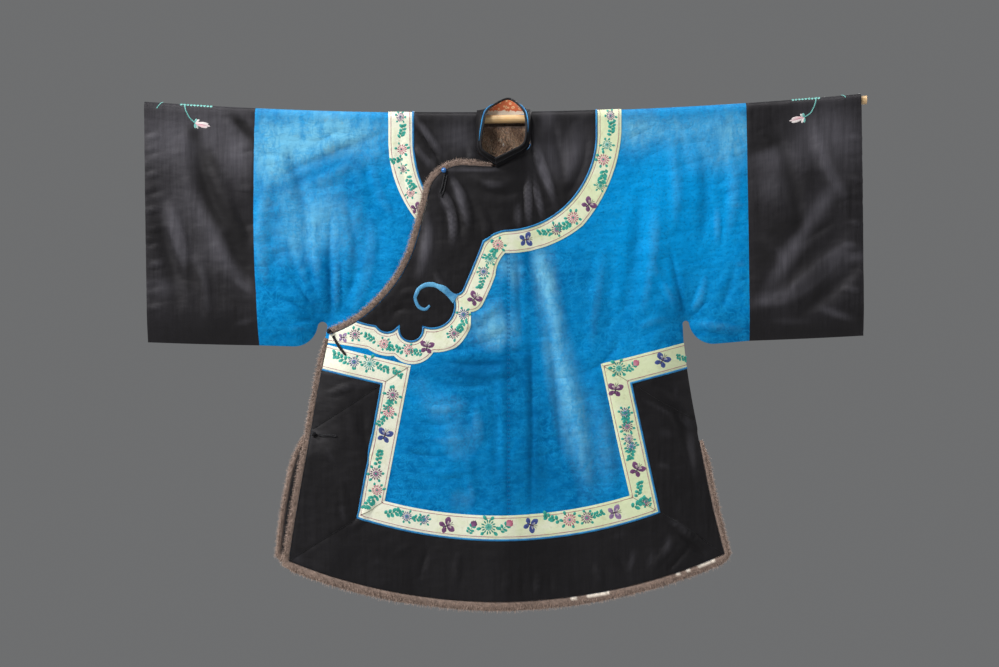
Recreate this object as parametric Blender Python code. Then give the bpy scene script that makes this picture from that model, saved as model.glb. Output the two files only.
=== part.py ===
"""A fur-lined silk robe with wide sleeves and a side fastening, hung flat on a bamboo rod.

The origin is the middle of the rod. X runs along the sleeves to the wearer's left, the front faces -Y and
Z is up. Every cloth piece is a wall on one of three hanging sheets: the outer front, the front under it
and the back. A sheet is crossed by one set of lines, and all pieces on it take their points from those
lines, so that pieces laid on each other stay parallel. Pieces are first drawn flat, as cut: across (x) and
down the cloth from the fold over the rod (drop).
"""

import math
from collections import namedtuple

import bmesh
import bpy
import numpy as np
from mathutils import Vector
from mathutils.geometry import delaunay_2d_cdt

MM = 0.001

# Cloth thicknesses and clearances
WALL = 0.004
OVERLAY = 0.001
PIPING_RISE = 0.002
PIPING_WIDTH = 0.004
SCROLL_RISE = 0.0015
SEAM = 0.0003

# The rod, which is bowed so that its middle is the lowest, and tilted a little
ROD_RADIUS = 0.0085
ROD_ENDS = (-0.700, 0.706)
ROD_HALF = 0.700
ROD_END_RISE = 0.029
ROD_TILT = 0.0114

# The hollow between front and back, and how the walls close towards a sewn edge
HOLLOW_DEPTH = 0.0165
HOLLOW_DROP = 0.200
BELLY_DEPTH = 0.006
BELLY_CENTRE = (0.000, 0.500)
BELLY_REACH = (0.300, 0.330)
CLOSING = 0.045
CLOSING_LINES = (0.0, 0.014, 0.045)
LAP = 0.0105
LAP_FULL_X = -0.010
LAP_NONE_X = 0.095
LAP_DROP = 0.070

# Lines across each sheet
LINES_X = (-0.765, 0.765, 23)
LINES_DROP = (0.074, 1.050, 12)

# Fur that stands past the edges
RIM_HALF = 0.0042
RIM_CLEAR = 0.0009
RIM_STEP = 0.030
RIM_END_REACH = 0.050
RIM_LEVEL_GAIN = 2.0
RIM_LEVEL_FROM = 0.6
RIM_NECK_CLEAR = 0.010
RIM_KNOT_CLEAR = 0.008
RIM_OVERLAP_WIDTH = 0.010
RIM_SIDE_WIDTH = 0.011
RIM_HEM_WIDTH = 0.018
RIM_UNDER_WIDTH = 0.010
SLIT_CLEAR = 0.022

# Fastenings
CORD_RADIUS = 0.0016
BUTTON_RADIUS = 0.0050
KNOT_RADIUS = 0.0058
STICK_RADIUS = 0.0024

CURVE_STEP = 0.045
NORMAL_STEP = 0.0005
FOLD_RADIUS = (ROD_RADIUS + SEAM) / math.cos(math.pi / 8)
FOLD_LENGTH = FOLD_RADIUS * math.pi / 2
CREST = 100.0

# A stretch of an outline, in millimetres: the point that it reaches and, if it is an arc, a point on it
Stretch = namedtuple("Stretch", "to_x to_z via_x via_z", defaults=(None, None))
# A fold of the cloth, in millimetres: its two ends, its half width and how far it stands out
Fold = namedtuple("Fold", "x0 z0 x1 z1 width height runs_out")
# A station of the collar, in millimetres: where it is sewn, on which sheet, and its top edge
Station = namedtuple("Station", "base_x base_z sheet top_x top_y top_z")
# A station of the hook scroll, in millimetres
Hook = namedtuple("Hook", "x z width")
# A corner of the fur's section: share of its width, and share of its half thickness
Tuft = namedtuple("Tuft", "reach rise")
Finish = namedtuple("Finish", "colour roughness metallic")

FINISHES = {
    "azure_silk": Finish((0.003, 0.235, 0.560), 0.45, 0.0),
    "black_satin": Finish((0.012, 0.011, 0.013), 0.38, 0.0),
    "pale_satin": Finish((0.720, 0.680, 0.480), 0.45, 0.0),
    "blue_piping": Finish((0.020, 0.210, 0.430), 0.50, 0.0),
    "patterned_silk": Finish((0.560, 0.160, 0.070), 0.55, 0.0),
    "brown_fur": Finish((0.190, 0.130, 0.105), 0.95, 0.0),
    "bamboo": Finish((0.560, 0.330, 0.160), 0.50, 0.0),
    "black_cord": Finish((0.015, 0.014, 0.016), 0.60, 0.0),
    "blue_glass": Finish((0.010, 0.210, 0.520), 0.15, 0.0),
}

# Sleeves, from the wearer's right (-X) and left (+X)
SLEEVE_END = {
    "right": [(-703, CREST), Stretch(-695, -434)],
    "left": [(694, CREST), Stretch(699, -421)],
}
CUFF_SEAM = {
    "right": [(-482, CREST), Stretch(-478, -440, -488, -190)],
    "left": [(469, CREST), Stretch(477, -431, 474, -200)],
}
CUFF_BOTTOM = {
    "right": [(-695, -434), Stretch(-478, -440)],
    "left": [(699, -421), Stretch(477, -431)],
}
SIDE_SEAM = {
    "right": [
        (-478, -440),
        Stretch(-412, -442),
        Stretch(-366, -404, -382, -432),
        Stretch(-344, -403, -355, -394),
        Stretch(-361, -475, -351, -440),
        Stretch(-377, -600, -370, -540),
    ],
    "left": [
        (477, -431),
        Stretch(408, -437),
        Stretch(361, -400, 377, -426),
        Stretch(346, -403, 352, -392),
        Stretch(353, -482, 348, -440),
        Stretch(375, -607, 363, -545),
    ],
}
SLIT_EDGE = {
    "right": [(-377, -600), Stretch(-409, -682, -395, -642), Stretch(-434, -845, -425, -765)],
    "left": [(375, -607), Stretch(427, -846, 398, -730)],
}
FREE_EDGE = [(-339, -421), Stretch(-382, -648, -361, -530), Stretch(-418, -859, -401, -754)]
HEM = {
    "front": [(-418, -859), Stretch(427, -846, 5, -938)],
    "under": [(-434, -845), Stretch(-62, -922, -250, -899)],
    "back": [(-434, -845), Stretch(427, -846, 0, -930)],
}
UNDER_EDGE = [(-16, -96), Stretch(-62, -922)]
CENTRE_FRONT = 5
CENTRE_BACK = 0

# The neck, and the diagonal edge of the overlap
NECK_LEFT = [(52, CREST), Stretch(50, -40), Stretch(42, -62, 48, -53), Stretch(-16, -96)]
NECK_RIGHT = [(-54, CREST), Stretch(-55, -54), Stretch(-40, -78, -50, -69), Stretch(-16, -96)]
NECK_BACK_DROP = 9
NECK_BACK_HALF = 53
OVERLAP_EDGE = [
    (-16, -96),
    Stretch(-80, -93),
    Stretch(-143, -133, -121, -106),
    Stretch(-175, -253, -157, -190),
    Stretch(-244, -360, -204, -312),
    Stretch(-339, -421, -287, -396),
]

# The band round the yoke and along the overlap: its silk side and its black side
BAND_OUTER = [
    (228, CREST),
    Stretch(227, -29),
    Stretch(152, -208, 209, -111),
    Stretch(0, -262, 85, -247),
    Stretch(-18, -305, -10, -276),
    Stretch(-42, -360, -30, -335),
    Stretch(-66, -376, -52, -372),
    Stretch(-138, -454, -83, -434),
    Stretch(-215, -461, -174, -477),
    Stretch(-265, -448, -238, -460),
    Stretch(-346, -436, -300, -442),
]
BAND_INNER = [
    (181, CREST),
    Stretch(181, -29),
    Stretch(129, -163, 164, -110),
    Stretch(0, -221, 73, -204),
    Stretch(-39, -241, -24, -230),
    Stretch(-76, -331, -57, -286),
    Stretch(-98, -345, -85, -343),
    Stretch(-156, -408, -112, -401),
    Stretch(-207, -409, -181, -436),
    Stretch(-251, -406, -227, -419),
    Stretch(-294, -394, -272, -402),
]
BAND_UNDER_OUTER = [(-227, CREST), Stretch(-226, -52), Stretch(-158, -214, -205, -142)]
BAND_UNDER_INNER = [(-181, CREST), Stretch(-180, -47), Stretch(-140, -172, -168, -116)]
BAND_BACK_OUTER = [(-228, CREST), Stretch(-227, -29), Stretch(0, -262, -152, -208), Stretch(227, -29, 152, -208),
                   Stretch(228, CREST)]
BAND_BACK_INNER = [(-181, CREST), Stretch(-181, -29), Stretch(0, -221, -119, -173), Stretch(181, -29, 119, -173),
                   Stretch(181, CREST)]

# The band at the sides and the hem, stretch by stretch from the wearer's right: silk side and black side
HEM_BAND_SILK = {
    "right_top": [(-378, -431), Stretch(-182, -480)],
    "right_side": [(-182, -480), Stretch(-233, -743)],
    "bottom": [(-233, -743), Stretch(243, -733, 8, -771)],
    "left_side": [(243, -733), Stretch(187, -478)],
    "left_top": [(187, -478), Stretch(378, -428)],
}
HEM_BAND_BLACK = {
    "right_top": [(-386, -478), Stretch(-236, -514)],
    "right_side": [(-236, -514), Stretch(-283, -774)],
    "bottom": [(-283, -774), Stretch(298, -764, 8, -817)],
    "left_side": [(298, -764), Stretch(243, -513)],
    "left_top": [(243, -513), Stretch(380, -476)],
}
# The border's upper seams run from the band's corners towards these points, past the side edges
BORDER_SEAM = {"right": (-420, -637), "left": (420, -617)}
# The under front's band and border reach this far in from its edge
UNDER_TRIM_X = -215

SHOULDER_FOLDS = [
    Fold(-330, -60, -300, -390, 34, 3.5, 0),
    Fold(-420, -40, -370, -400, 30, -2.5, 0),
    Fold(-560, -60, -520, -400, 40, 3.0, 0),
    Fold(-640, -80, -660, -420, 32, -2.5, 0),
    Fold(330, -50, 270, -400, 34, 3.5, 0),
    Fold(430, -60, 360, -400, 30, -2.5, 0),
    Fold(560, -60, 530, -390, 40, 3.0, 0),
    Fold(650, -70, 630, -400, 32, -2.5, 0),
]
FRONT_FOLDS = SHOULDER_FOLDS + [
    Fold(90, -240, 135, -600, 30, 4.0, 0),
    Fold(30, -260, 40, -640, 28, -2.0, 0),
    Fold(210, -220, 200, -520, 34, -2.5, 0),
    Fold(-90, -420, -110, -760, 36, 3.0, 0),
    Fold(-200, -520, -235, -800, 34, -2.5, 0),
    Fold(-300, -560, -345, -890, 38, 4.0, 1),
    Fold(-150, -640, -165, -930, 38, -3.0, 1),
    Fold(-10, -640, -15, -940, 40, 3.5, 1),
    Fold(130, -640, 150, -930, 38, -3.0, 1),
    Fold(270, -560, 305, -900, 38, 3.5, 1),
    Fold(372, -600, 402, -870, 30, -2.5, 1),
]
BACK_FOLDS = SHOULDER_FOLDS + [
    Fold(-110, -180, -130, -620, 34, 3.5, 0),
    Fold(120, -200, 100, -640, 34, -2.5, 0),
    Fold(-250, -500, -290, -890, 40, 3.5, 1),
    Fold(-70, -620, -80, -930, 40, -3.0, 1),
    Fold(90, -620, 105, -930, 40, 3.5, 1),
    Fold(250, -540, 290, -900, 40, -2.5, 1),
]

COLLAR_STATIONS = [
    Station(-15, -92, "under", -14, -26, -80),
    Station(-38, -77, "under", -31, -34, -70),
    Station(-53, -56, "under", -46, -37, -57),
    Station(-53, -26, "under", -48, -38, -32),
    Station(-52, -3, "under", -45, -35, -12),
    Station(-51, 7, "under", -42, -28, 2),
    Station(-50, CREST, "under", -39, -18, 12),
    Station(-34, CREST, "back", -24, -3, 27),
    Station(0, CREST, "back", 6, 6, 39),
    Station(34, CREST, "back", 27, -3, 29),
    Station(49, CREST, "front", 40, -19, 12),
    Station(49, 7, "front", 42, -29, 3),
    Station(49, -3, "front", 43, -35, -10),
    Station(49, -30, "front", 43, -40, -24),
    Station(41, -60, "front", 36, -45, -50),
    Station(12, -79, "front", 11, -46, -65),
    Station(-17, -95, "front", -19, -46, -80),
]
COLLAR_WALL = 0.0026
COLLAR_CLEAR = 0.0010
COLLAR_BULGE = 0.0015
COLLAR_PIPING_RADIUS = 0.0020
COLLAR_STEPS = 1
COLLAR_BACK = (7, 9)
LINING_WALL = 0.0012
# The lining's lower edge as a share of the collar's lower half, and its upper edge of the upper half
LINING_EDGES = (0.15, 0.90)

SCROLL_HOOKS = [
    Hook(-145, -364, 4.5),
    Hook(-153, -371, 6.0),
    Hook(-163, -369, 6.5),
    Hook(-170, -361, 6.5),
    Hook(-173, -348, 7.0),
    Hook(-168, -334, 7.5),
    Hook(-158, -326, 8.5),
    Hook(-146, -323, 9.5),
    Hook(-132, -325, 10.0),
    Hook(-119, -332, 11.0),
    Hook(-109, -341, 11.5),
]

FUR_LINING_PATCH = [(-58, -14), Stretch(58, -14), Stretch(58, -115), Stretch(-58, -115)]
FUR_LINING_WALL = 0.0035
RIM_SECTION = [
    Tuft(0.0, 0.75),
    Tuft(0.6, 1.0),
    Tuft(1.0, 0.0),
    Tuft(0.6, -1.0),
    Tuft(0.0, -0.75),
]

CHEST_BUTTON = (-118, -102)
CHEST_LOOP = [
    (-116, -109),
    (-120, -128),
    (-124.5, -147),
    (-123.5, -151),
    (-120.5, -152),
    (-119, -148.5),
    (-115.5, -129),
    (-111.5, -111),
]
SIDE_KNOT = (-370, -616)
SIDE_STICK_RAISED = 0.0006
SIDE_STICK = [(-360, -616), (-350, -617), (-338, -616), (-327, -617)]
UNDERARM_KNOT = (-337, -414)
UNDERARM_STICK = [(-331, -423), (-326, -433), (-318, -446), (-309, -458)]


def clear_scene():
    for thing in list(bpy.data.objects):
        bpy.data.objects.remove(thing, do_unlink=True)


def material(name):
    """The material of a finish, made when it is first asked for."""
    made = bpy.data.materials.get(name)
    if made is None:
        finish = FINISHES[name]
        made = bpy.data.materials.new(name)
        made.use_nodes = True
        shader = made.node_tree.nodes["Principled BSDF"]
        shader.inputs["Base Color"].default_value = (*finish.colour, 1.0)
        shader.inputs["Roughness"].default_value = finish.roughness
        shader.inputs["Metallic"].default_value = finish.metallic
    return made


def add_object(name, mesh, finish, smooth=False):
    """An object of this mesh in the scene, with its finish."""
    mesh.materials.append(material(finish))
    if smooth:
        mesh.shade_smooth()
        mesh.set_sharp_from_angle(angle=math.radians(50))
    made = bpy.data.objects.new(name, mesh)
    bpy.context.scene.collection.objects.link(made)
    return made


def add_from_bmesh(name, shape, finish, smooth=False):
    bmesh.ops.recalc_face_normals(shape, faces=shape.faces)
    mesh = bpy.data.meshes.new(name)
    shape.to_mesh(mesh)
    shape.free()
    return add_object(name, mesh, finish, smooth)


def rod_height(x):
    return ROD_END_RISE * (x / ROD_HALF) ** 2 + ROD_TILT * x


def ease(t):
    """0 to 1 with a level start and end."""
    t = np.clip(t, 0.0, 1.0)
    return t * t * (3 - 2 * t)


def arc(start, via, end):
    """Points after start along the circle through three points, about a curve step apart."""
    (ax, ay), (bx, by), (cx, cy) = start, via, end
    turn = 2 * (ax * (by - cy) + bx * (cy - ay) + cx * (ay - by))
    a2, b2, c2 = ax * ax + ay * ay, bx * bx + by * by, cx * cx + cy * cy
    ox = (a2 * (by - cy) + b2 * (cy - ay) + c2 * (ay - by)) / turn
    oy = (a2 * (cx - bx) + b2 * (ax - cx) + c2 * (bx - ax)) / turn
    radius = math.hypot(ax - ox, ay - oy)
    first, middle, last = (math.atan2(y - oy, x - ox) for x, y in (start, via, end))
    sweep = (last - first) % (2 * math.pi)
    if (middle - first) % (2 * math.pi) > sweep:
        sweep -= 2 * math.pi
    count = max(2, math.ceil(abs(sweep) * max(radius * MM / CURVE_STEP, 2.2)))
    angles = [first + sweep * i / count for i in range(1, count + 1)]
    return [(ox + radius * math.cos(a), oy + radius * math.sin(a)) for a in angles]


def trace(outline):
    """The flat points, in metres, of an outline that is a start and its stretches, cut off at the fold."""
    points = [outline[0]]
    for stretch in outline[1:]:
        end = (stretch.to_x, stretch.to_z)
        points += [end] if stretch.via_x is None else arc(points[-1], (stretch.via_x, stretch.via_z), end)
    flat = lay(points)
    kept = []
    for a, b in zip(flat, flat[1:]):
        if a[1] >= 0:
            kept.append(a)
        if (a[1] < 0) != (b[1] < 0):
            kept.append(a + (b - a) * a[1] / (a[1] - b[1]))
    return np.array(kept + [flat[-1]] if flat[-1][1] >= 0 else kept)


def lay(points):
    """Points across and up, in millimetres, as flat points across and down the cloth, in metres."""
    x, z = np.array(points, float).T * MM
    return np.stack([x, rod_height(x) - z + FOLD_LENGTH], axis=1)


def join(*paths):
    """Paths one after another, without the points that they share."""
    points = [paths[0][0]]
    for path in paths:
        points += [p for p in path if np.hypot(*(p - points[-1])) > 1e-5]
    if np.hypot(*(points[0] - points[-1])) < 1e-5:
        points.pop()
    return np.array(points)


def shifted(path, distance, closed=False):
    """The path moved sideways, to the left of its run in x and drop, with mitred corners."""
    run = np.roll(path, -1, axis=0) - path
    run /= np.maximum(np.linalg.norm(run, axis=1), 1e-9)[:, None]
    before = np.roll(run, 1, axis=0)
    if not closed:
        run[-1], before[0] = run[-2], run[0]
    side = np.stack([-run[:, 1], run[:, 0]], axis=1)
    side_before = np.stack([-before[:, 1], before[:, 0]], axis=1)
    mitre = side + side_before
    mitre /= np.maximum((mitre * side).sum(axis=1), 0.25)[:, None]
    return path + mitre * distance


def area(ring):
    x, y = ring.T
    return float((x * np.roll(y, -1) - np.roll(x, -1) * y).sum() / 2)


def inset(ring, distance=SEAM / 2):
    """A closed outline drawn in by a distance."""
    return shifted(ring, distance if area(ring) > 0 else -distance, closed=True)


def clipped(ring, x, side):
    """The part of a closed outline on one side of an upright line, side -1 or +1."""
    kept = []
    for a, b in zip(ring, np.roll(ring, -1, axis=0)):
        if (a[0] - x) * side >= 0:
            kept.append(a)
        if (a[0] - x) * (b[0] - x) < 0:
            kept.append(a + (b - a) * (x - a[0]) / (b[0] - a[0]))
    return np.array(kept)


def inside(ring, points):
    """Which points lie inside a closed outline."""
    x, y = points.T
    found = np.zeros(len(points), bool)
    for (ax, ay), (bx, by) in zip(ring, np.roll(ring, -1, axis=0)):
        if ay != by:
            crosses = (ay > y) != (by > y)
            found ^= crosses & (x < ax + (y - ay) * (bx - ax) / (by - ay))
    return found


def reach_from(path, points, inner_side):
    """How far points lie inside a sewn edge; far from it, or past its end, it is the plain distance."""
    best = np.full(len(points), np.inf)
    signed = np.zeros(len(points))
    for i, (a, b) in enumerate(zip(path[:-1], path[1:])):
        run = b - a
        share = (points - a) @ run / (run @ run)
        held = np.clip(share, 0.0, 1.0)
        off = points - a - held[:, None] * run
        distance = np.linalg.norm(off, axis=1)
        side = np.sign(run[0] * off[:, 1] - run[1] * off[:, 0]) * inner_side
        far = distance > 1.2 * CLOSING
        side = np.where(far | (share > 1) if i == len(path) - 2 else far, 1.0, side)
        nearer = distance < best
        best = np.where(nearer, distance, best)
        signed = np.where(nearer, distance * side, signed)
    return signed


def fold_depth(folds, x, drop):
    """How far a sheet's folds move it out from the rod."""
    z = rod_height(x) - drop
    total = np.zeros(len(x))
    for fold in folds:
        start = np.array([fold.x0, fold.z0]) * MM
        run = np.array([fold.x1, fold.z1]) * MM - start
        length = np.linalg.norm(run)
        run /= length
        along = ((x - start[0]) * run[0] + (z - start[1]) * run[1]) / length
        aside = (x - start[0]) * run[1] - (z - start[1]) * run[0]
        held = np.clip(along, 0.0, 1.0)
        tapered = np.where(fold.runs_out, ease(held), np.sin(math.pi * held))
        total += fold.height * MM * tapered * np.exp(-((aside / (fold.width * MM)) ** 2))
    return total


SEWN = {
    "right": (join(trace(CUFF_BOTTOM["right"]), trace(SIDE_SEAM["right"])), -1),
    "left": (join(trace(CUFF_BOTTOM["left"]), trace(SIDE_SEAM["left"])), 1),
}


def hollow_depth(folds, least_reach, flat):
    """Depth of a sheet's inner face from the rod's mid plane, where it hangs below the rod."""
    x, drop = flat[:, 0], np.maximum(flat[:, 1] - FOLD_LENGTH, 0.0)
    turn = np.clip(flat[:, 1] / FOLD_RADIUS, -math.pi / 2, math.pi / 2)
    depth = FOLD_RADIUS * np.sin(turn) + (HOLLOW_DEPTH - FOLD_RADIUS) * ease(drop / HOLLOW_DROP)
    far_x, far_drop = (x - BELLY_CENTRE[0]) / BELLY_REACH[0], (drop - BELLY_CENTRE[1]) / BELLY_REACH[1]
    depth += BELLY_DEPTH * np.exp(-(far_x**2) - far_drop**2) * ease(drop / LAP_DROP)
    depth += fold_depth(folds, x, drop) * ease(drop / LAP_DROP)
    for side, (path, inner_side) in SEWN.items():
        reach = np.maximum(reach_from(path, flat, inner_side), least_reach[side])
        closed = np.sin(math.pi / 2 * np.clip(reach / CLOSING, -1.0, 1.0))
        depth = SEAM / 2 + (depth - SEAM / 2) * closed
    return depth


def under_depth(flat):
    return hollow_depth(FRONT_FOLDS, {"right": -1.0, "left": -1.0}, flat)


def back_depth(flat):
    return hollow_depth(BACK_FOLDS, {"right": -1.0, "left": -1.0}, flat)


def front_depth(flat):
    """The outer front: the under front's depth, with room for that front and its fur where they overlap."""
    drop = flat[:, 1] - FOLD_LENGTH
    lapped = ease((LAP_NONE_X - flat[:, 0]) / (LAP_NONE_X - LAP_FULL_X)) * ease(drop / LAP_DROP)
    return hollow_depth(FRONT_FOLDS, {"right": 0.004, "left": -1.0}, flat) + LAP * lapped


class Sheet:
    """A hanging layer: the lines that cross it, and where their crossings hang."""

    def __init__(self, side, depth):
        self.side = side
        self.depth = depth
        self.flat, self.faces = self.crossings()
        self.inner = self.hung(self.flat)
        across, down = (self.hung(self.flat + s) - self.hung(self.flat - s) for s in np.eye(2) * NORMAL_STEP)
        normal = np.cross(across, down) * side
        self.normal = normal / np.linalg.norm(normal, axis=1)[:, None]
        pairs = np.sort(np.concatenate([self.faces[:, [0, 1]], self.faces[:, [1, 2]], self.faces[:, [2, 0]]]))
        self.lines = np.unique(pairs, axis=0)

    def crossings(self):
        """The flat triangles between lines across, lines down and lines along the sewn edges."""
        low_x, high_x, count_x = LINES_X
        low_drop, high_drop, count_drop = LINES_DROP
        drops = [0.0, FOLD_LENGTH / 2, FOLD_LENGTH, *np.linspace(low_drop, high_drop, count_drop)]
        paths = [[(x, 0.0), (x, high_drop)] for x in np.linspace(low_x, high_x, count_x)]
        paths += [[(low_x, drop), (high_x, drop)] for drop in drops]
        for path, inner_side in SEWN.values():
            paths += [shifted(path, inner_side * line) for line in CLOSING_LINES]
        points, edges = [], []
        for path in paths:
            edges += [(len(points) + i, len(points) + i + 1) for i in range(len(path) - 1)]
            points += [Vector(p) for p in path]
        flat, _, faces, *_ = delaunay_2d_cdt(points, edges, [], 0, 1e-5)
        return np.array([tuple(p) for p in flat]), np.array(faces)

    def hung(self, flat):
        """Where flat points hang, on the inner face."""
        turn = np.minimum(flat[:, 1] / FOLD_RADIUS, math.pi / 2)
        z = rod_height(flat[:, 0]) + FOLD_RADIUS * np.cos(turn) - np.maximum(flat[:, 1] - FOLD_LENGTH, 0.0)
        return np.stack([flat[:, 0], self.side * self.depth(flat), z], axis=1)

    def shares(self, flat):
        """For each flat point the triangle that holds it, and its shares of that triangle's corners."""
        a, b, c = (self.flat[self.faces[:, i]] for i in range(3))
        u, v, w = (flat[:, None] - a)[..., None], (b - a), (c - a)
        turn = v[:, 0] * w[:, 1] - v[:, 1] * w[:, 0]
        second = (u[..., 0, 0] * w[:, 1] - u[..., 1, 0] * w[:, 0]) / turn
        third = (v[:, 0] * u[..., 1, 0] - v[:, 1] * u[..., 0, 0]) / turn
        all_three = np.stack([1 - second - third, second, third], axis=2)
        best = all_three.min(axis=2).argmax(axis=1)
        return best, all_three[np.arange(len(flat)), best]

    def place(self, flat, offset):
        """Where flat points are on this sheet, moved out from its inner face."""
        flat = np.atleast_2d(flat)
        holder, share = self.shares(flat)
        corners = self.faces[holder]
        at = self.inner[corners] + self.normal[corners] * np.broadcast_to(offset, len(flat))[:, None, None]
        return (at * share[:, :, None]).sum(axis=1)

    def cut(self, ring):
        """The triangles of a closed outline, divided along this sheet's lines."""
        low, high = ring.min(axis=0), ring.max(axis=0)
        ends = self.flat[self.lines]
        near = ((ends.max(axis=1) >= low) & (ends.min(axis=1) <= high)).all(axis=1)
        points = [Vector(p) for p in ring]
        edges = [(i, (i + 1) % len(ring)) for i in range(len(ring))]
        used, index = np.unique(self.lines[near], return_inverse=True)
        edges += [(len(ring) + int(a), len(ring) + int(b)) for a, b in index.reshape(-1, 2)]
        points += [Vector(self.flat[i]) for i in used]
        flat, _, faces, *_ = delaunay_2d_cdt(points, edges, [], 0, 1e-5)
        flat, faces = np.array([tuple(p) for p in flat]), np.array(faces)
        return flat, faces[inside(ring, flat[faces].mean(axis=1))]


def add_wall(name, sheet, ring, low, high, finish):
    """A wall on a sheet inside a closed outline, between two distances from the sheet's inner face."""
    flat, faces = sheet.cut(inset(ring))
    used, faces = np.unique(faces, return_inverse=True)
    inner, outer = (sheet.place(flat[used], offset) for offset in (low, high))
    shape = bmesh.new()
    order = shape.verts.layers.int.new("order")
    for i, place in enumerate(inner):
        shape.verts.new(place)[order] = i
    shape.verts.ensure_lookup_table()
    lower = [shape.faces.new([shape.verts[i] for i in face]) for face in faces.reshape(-1, 3)]
    raised = bmesh.ops.extrude_face_region(shape, geom=lower, use_keep_orig=True)["geom"]
    for vertex in raised:
        if isinstance(vertex, bmesh.types.BMVert):
            vertex.co = outer[vertex[order]]
    return add_from_bmesh(name, shape, finish)


def add_skin(name, rings, finish, smooth=True):
    """A solid through a row of closed rings, with flat ends."""
    shape = bmesh.new()
    rows = [[shape.verts.new(place) for place in ring] for ring in rings]
    for near, far in zip(rows, rows[1:]):
        for i in range(len(near)):
            j = (i + 1) % len(near)
            shape.faces.new([near[i], near[j], far[j]])
            shape.faces.new([near[i], far[j], far[i]])
    shape.faces.new(rows[0])
    shape.faces.new(rows[-1][::-1])
    return add_from_bmesh(name, shape, finish, smooth)


def along(path, step):
    """The path's points, with more between those that are far apart."""
    points = [path[0]]
    for a, b in zip(path, path[1:]):
        count = max(1, round(np.hypot(*(b - a)) / step))
        points += [a + (b - a) * i / count for i in range(1, count + 1)]
    return np.array(points)


def add_rim(name, sheet, path, side_width, hem_width, start, end):
    """Fur past a sheet's edge: a rounded strip to the left of a path, wider on its level stretch.

    It narrows to a share of its width, start and end, at its two ends.
    """
    path = along(path, RIM_STEP)
    heading = np.gradient(path, axis=0)
    level = ease(RIM_LEVEL_GAIN * np.abs(heading[:, 0]) / np.linalg.norm(heading, axis=1) - RIM_LEVEL_FROM)
    run = run_along(path)
    width = side_width + (hem_width - side_width) * level
    width = width * (start + (1 - start) * ease(run / RIM_END_REACH))
    width = width * (end + (1 - end) * ease((run[-1] - run) / RIM_END_REACH))
    sideways = shifted(path, 1.0) - path
    rings = []
    for tuft in RIM_SECTION:
        away = RIM_CLEAR + tuft.reach * width
        rings.append(sheet.place(path + sideways * away[:, None], WALL / 2 + tuft.rise * RIM_HALF))
    return add_skin(name, np.stack(rings, axis=1), "brown_fur")


def add_cord(name, places, radius, finish, sides=2):
    """A round cord through these places."""
    curve = bpy.data.curves.new(name, "CURVE")
    curve.dimensions = "3D"
    curve.bevel_depth = radius
    curve.bevel_resolution = sides
    curve.use_fill_caps = True
    spline = curve.splines.new("POLY")
    spline.points.add(len(places) - 1)
    for point, place in zip(spline.points, places):
        point.co = (*place, 1.0)
    curve.materials.append(material(finish))
    made = bpy.data.objects.new(name, curve)
    bpy.context.scene.collection.objects.link(made)
    return made


def add_ball(name, place, radius, finish):
    shape = bmesh.new()
    bmesh.ops.create_uvsphere(shape, u_segments=10, v_segments=6, radius=radius)
    made = add_from_bmesh(name, shape, finish, smooth=True)
    made.location = place
    return made


def spline(points, steps):
    """Points on a smooth curve through the given ones, with steps between each two."""
    points = np.array(points, float)
    padded = np.concatenate([[2 * points[0] - points[1]], points, [2 * points[-1] - points[-2]]])
    out = []
    for a, b, c, d in zip(padded, padded[1:], padded[2:], padded[3:]):
        for t in np.arange(steps) / steps:
            bend = 2 * b + (c - a) * t + (2 * a - 5 * b + 4 * c - d) * t * t + (3 * b - a - 3 * c + d) * t**3
            out.append(bend / 2)
    return np.array(out + [points[-1]])


def add_rod():
    x = np.linspace(*ROD_ENDS, 17)
    places = np.stack([x, np.zeros_like(x), rod_height(x)], axis=1)
    add_cord("rod", places, ROD_RADIUS, "bamboo", sides=3)


def neck_back_drop(x):
    """How far down the back the neck is cut."""
    return NECK_BACK_DROP * MM * np.sqrt(1 - (x / (NECK_BACK_HALF * MM)) ** 2)


def neck_back():
    x = np.linspace(-NECK_BACK_HALF, NECK_BACK_HALF, 7) * MM
    return np.stack([x, neck_back_drop(x)], axis=1)


def front_ring():
    """The outer front as cut, from the neck round by the sleeve, the side, the hem and the overlap."""
    seam, side, slit = (trace(rows["left"]) for rows in (CUFF_SEAM, SIDE_SEAM, SLIT_EDGE))
    hem, free = trace(HEM["front"]), trace(FREE_EDGE)
    overlap, neck = trace(OVERLAP_EDGE), trace(NECK_LEFT)
    return join(neck[:1], seam, side, slit, hem[::-1], free[::-1], overlap[::-1], neck[::-1])


def under_ring():
    seam, side, slit = (trace(rows["right"]) for rows in (CUFF_SEAM, SIDE_SEAM, SLIT_EDGE))
    neck, edge, hem = trace(NECK_RIGHT), trace(UNDER_EDGE), trace(HEM["under"])
    return join(neck, edge, hem[::-1], slit[::-1], side[::-1], seam[::-1])


def back_ring():
    left = [trace(rows["left"]) for rows in (CUFF_SEAM, SIDE_SEAM, SLIT_EDGE)]
    right = [trace(rows["right"])[::-1] for rows in (SLIT_EDGE, SIDE_SEAM, CUFF_SEAM)]
    return join(neck_back(), *left, trace(HEM["back"])[::-1], *right)


def cuff_ring(side):
    return join(trace(CUFF_SEAM[side]), trace(CUFF_BOTTOM[side])[::-1], trace(SLEEVE_END[side])[::-1])


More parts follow.
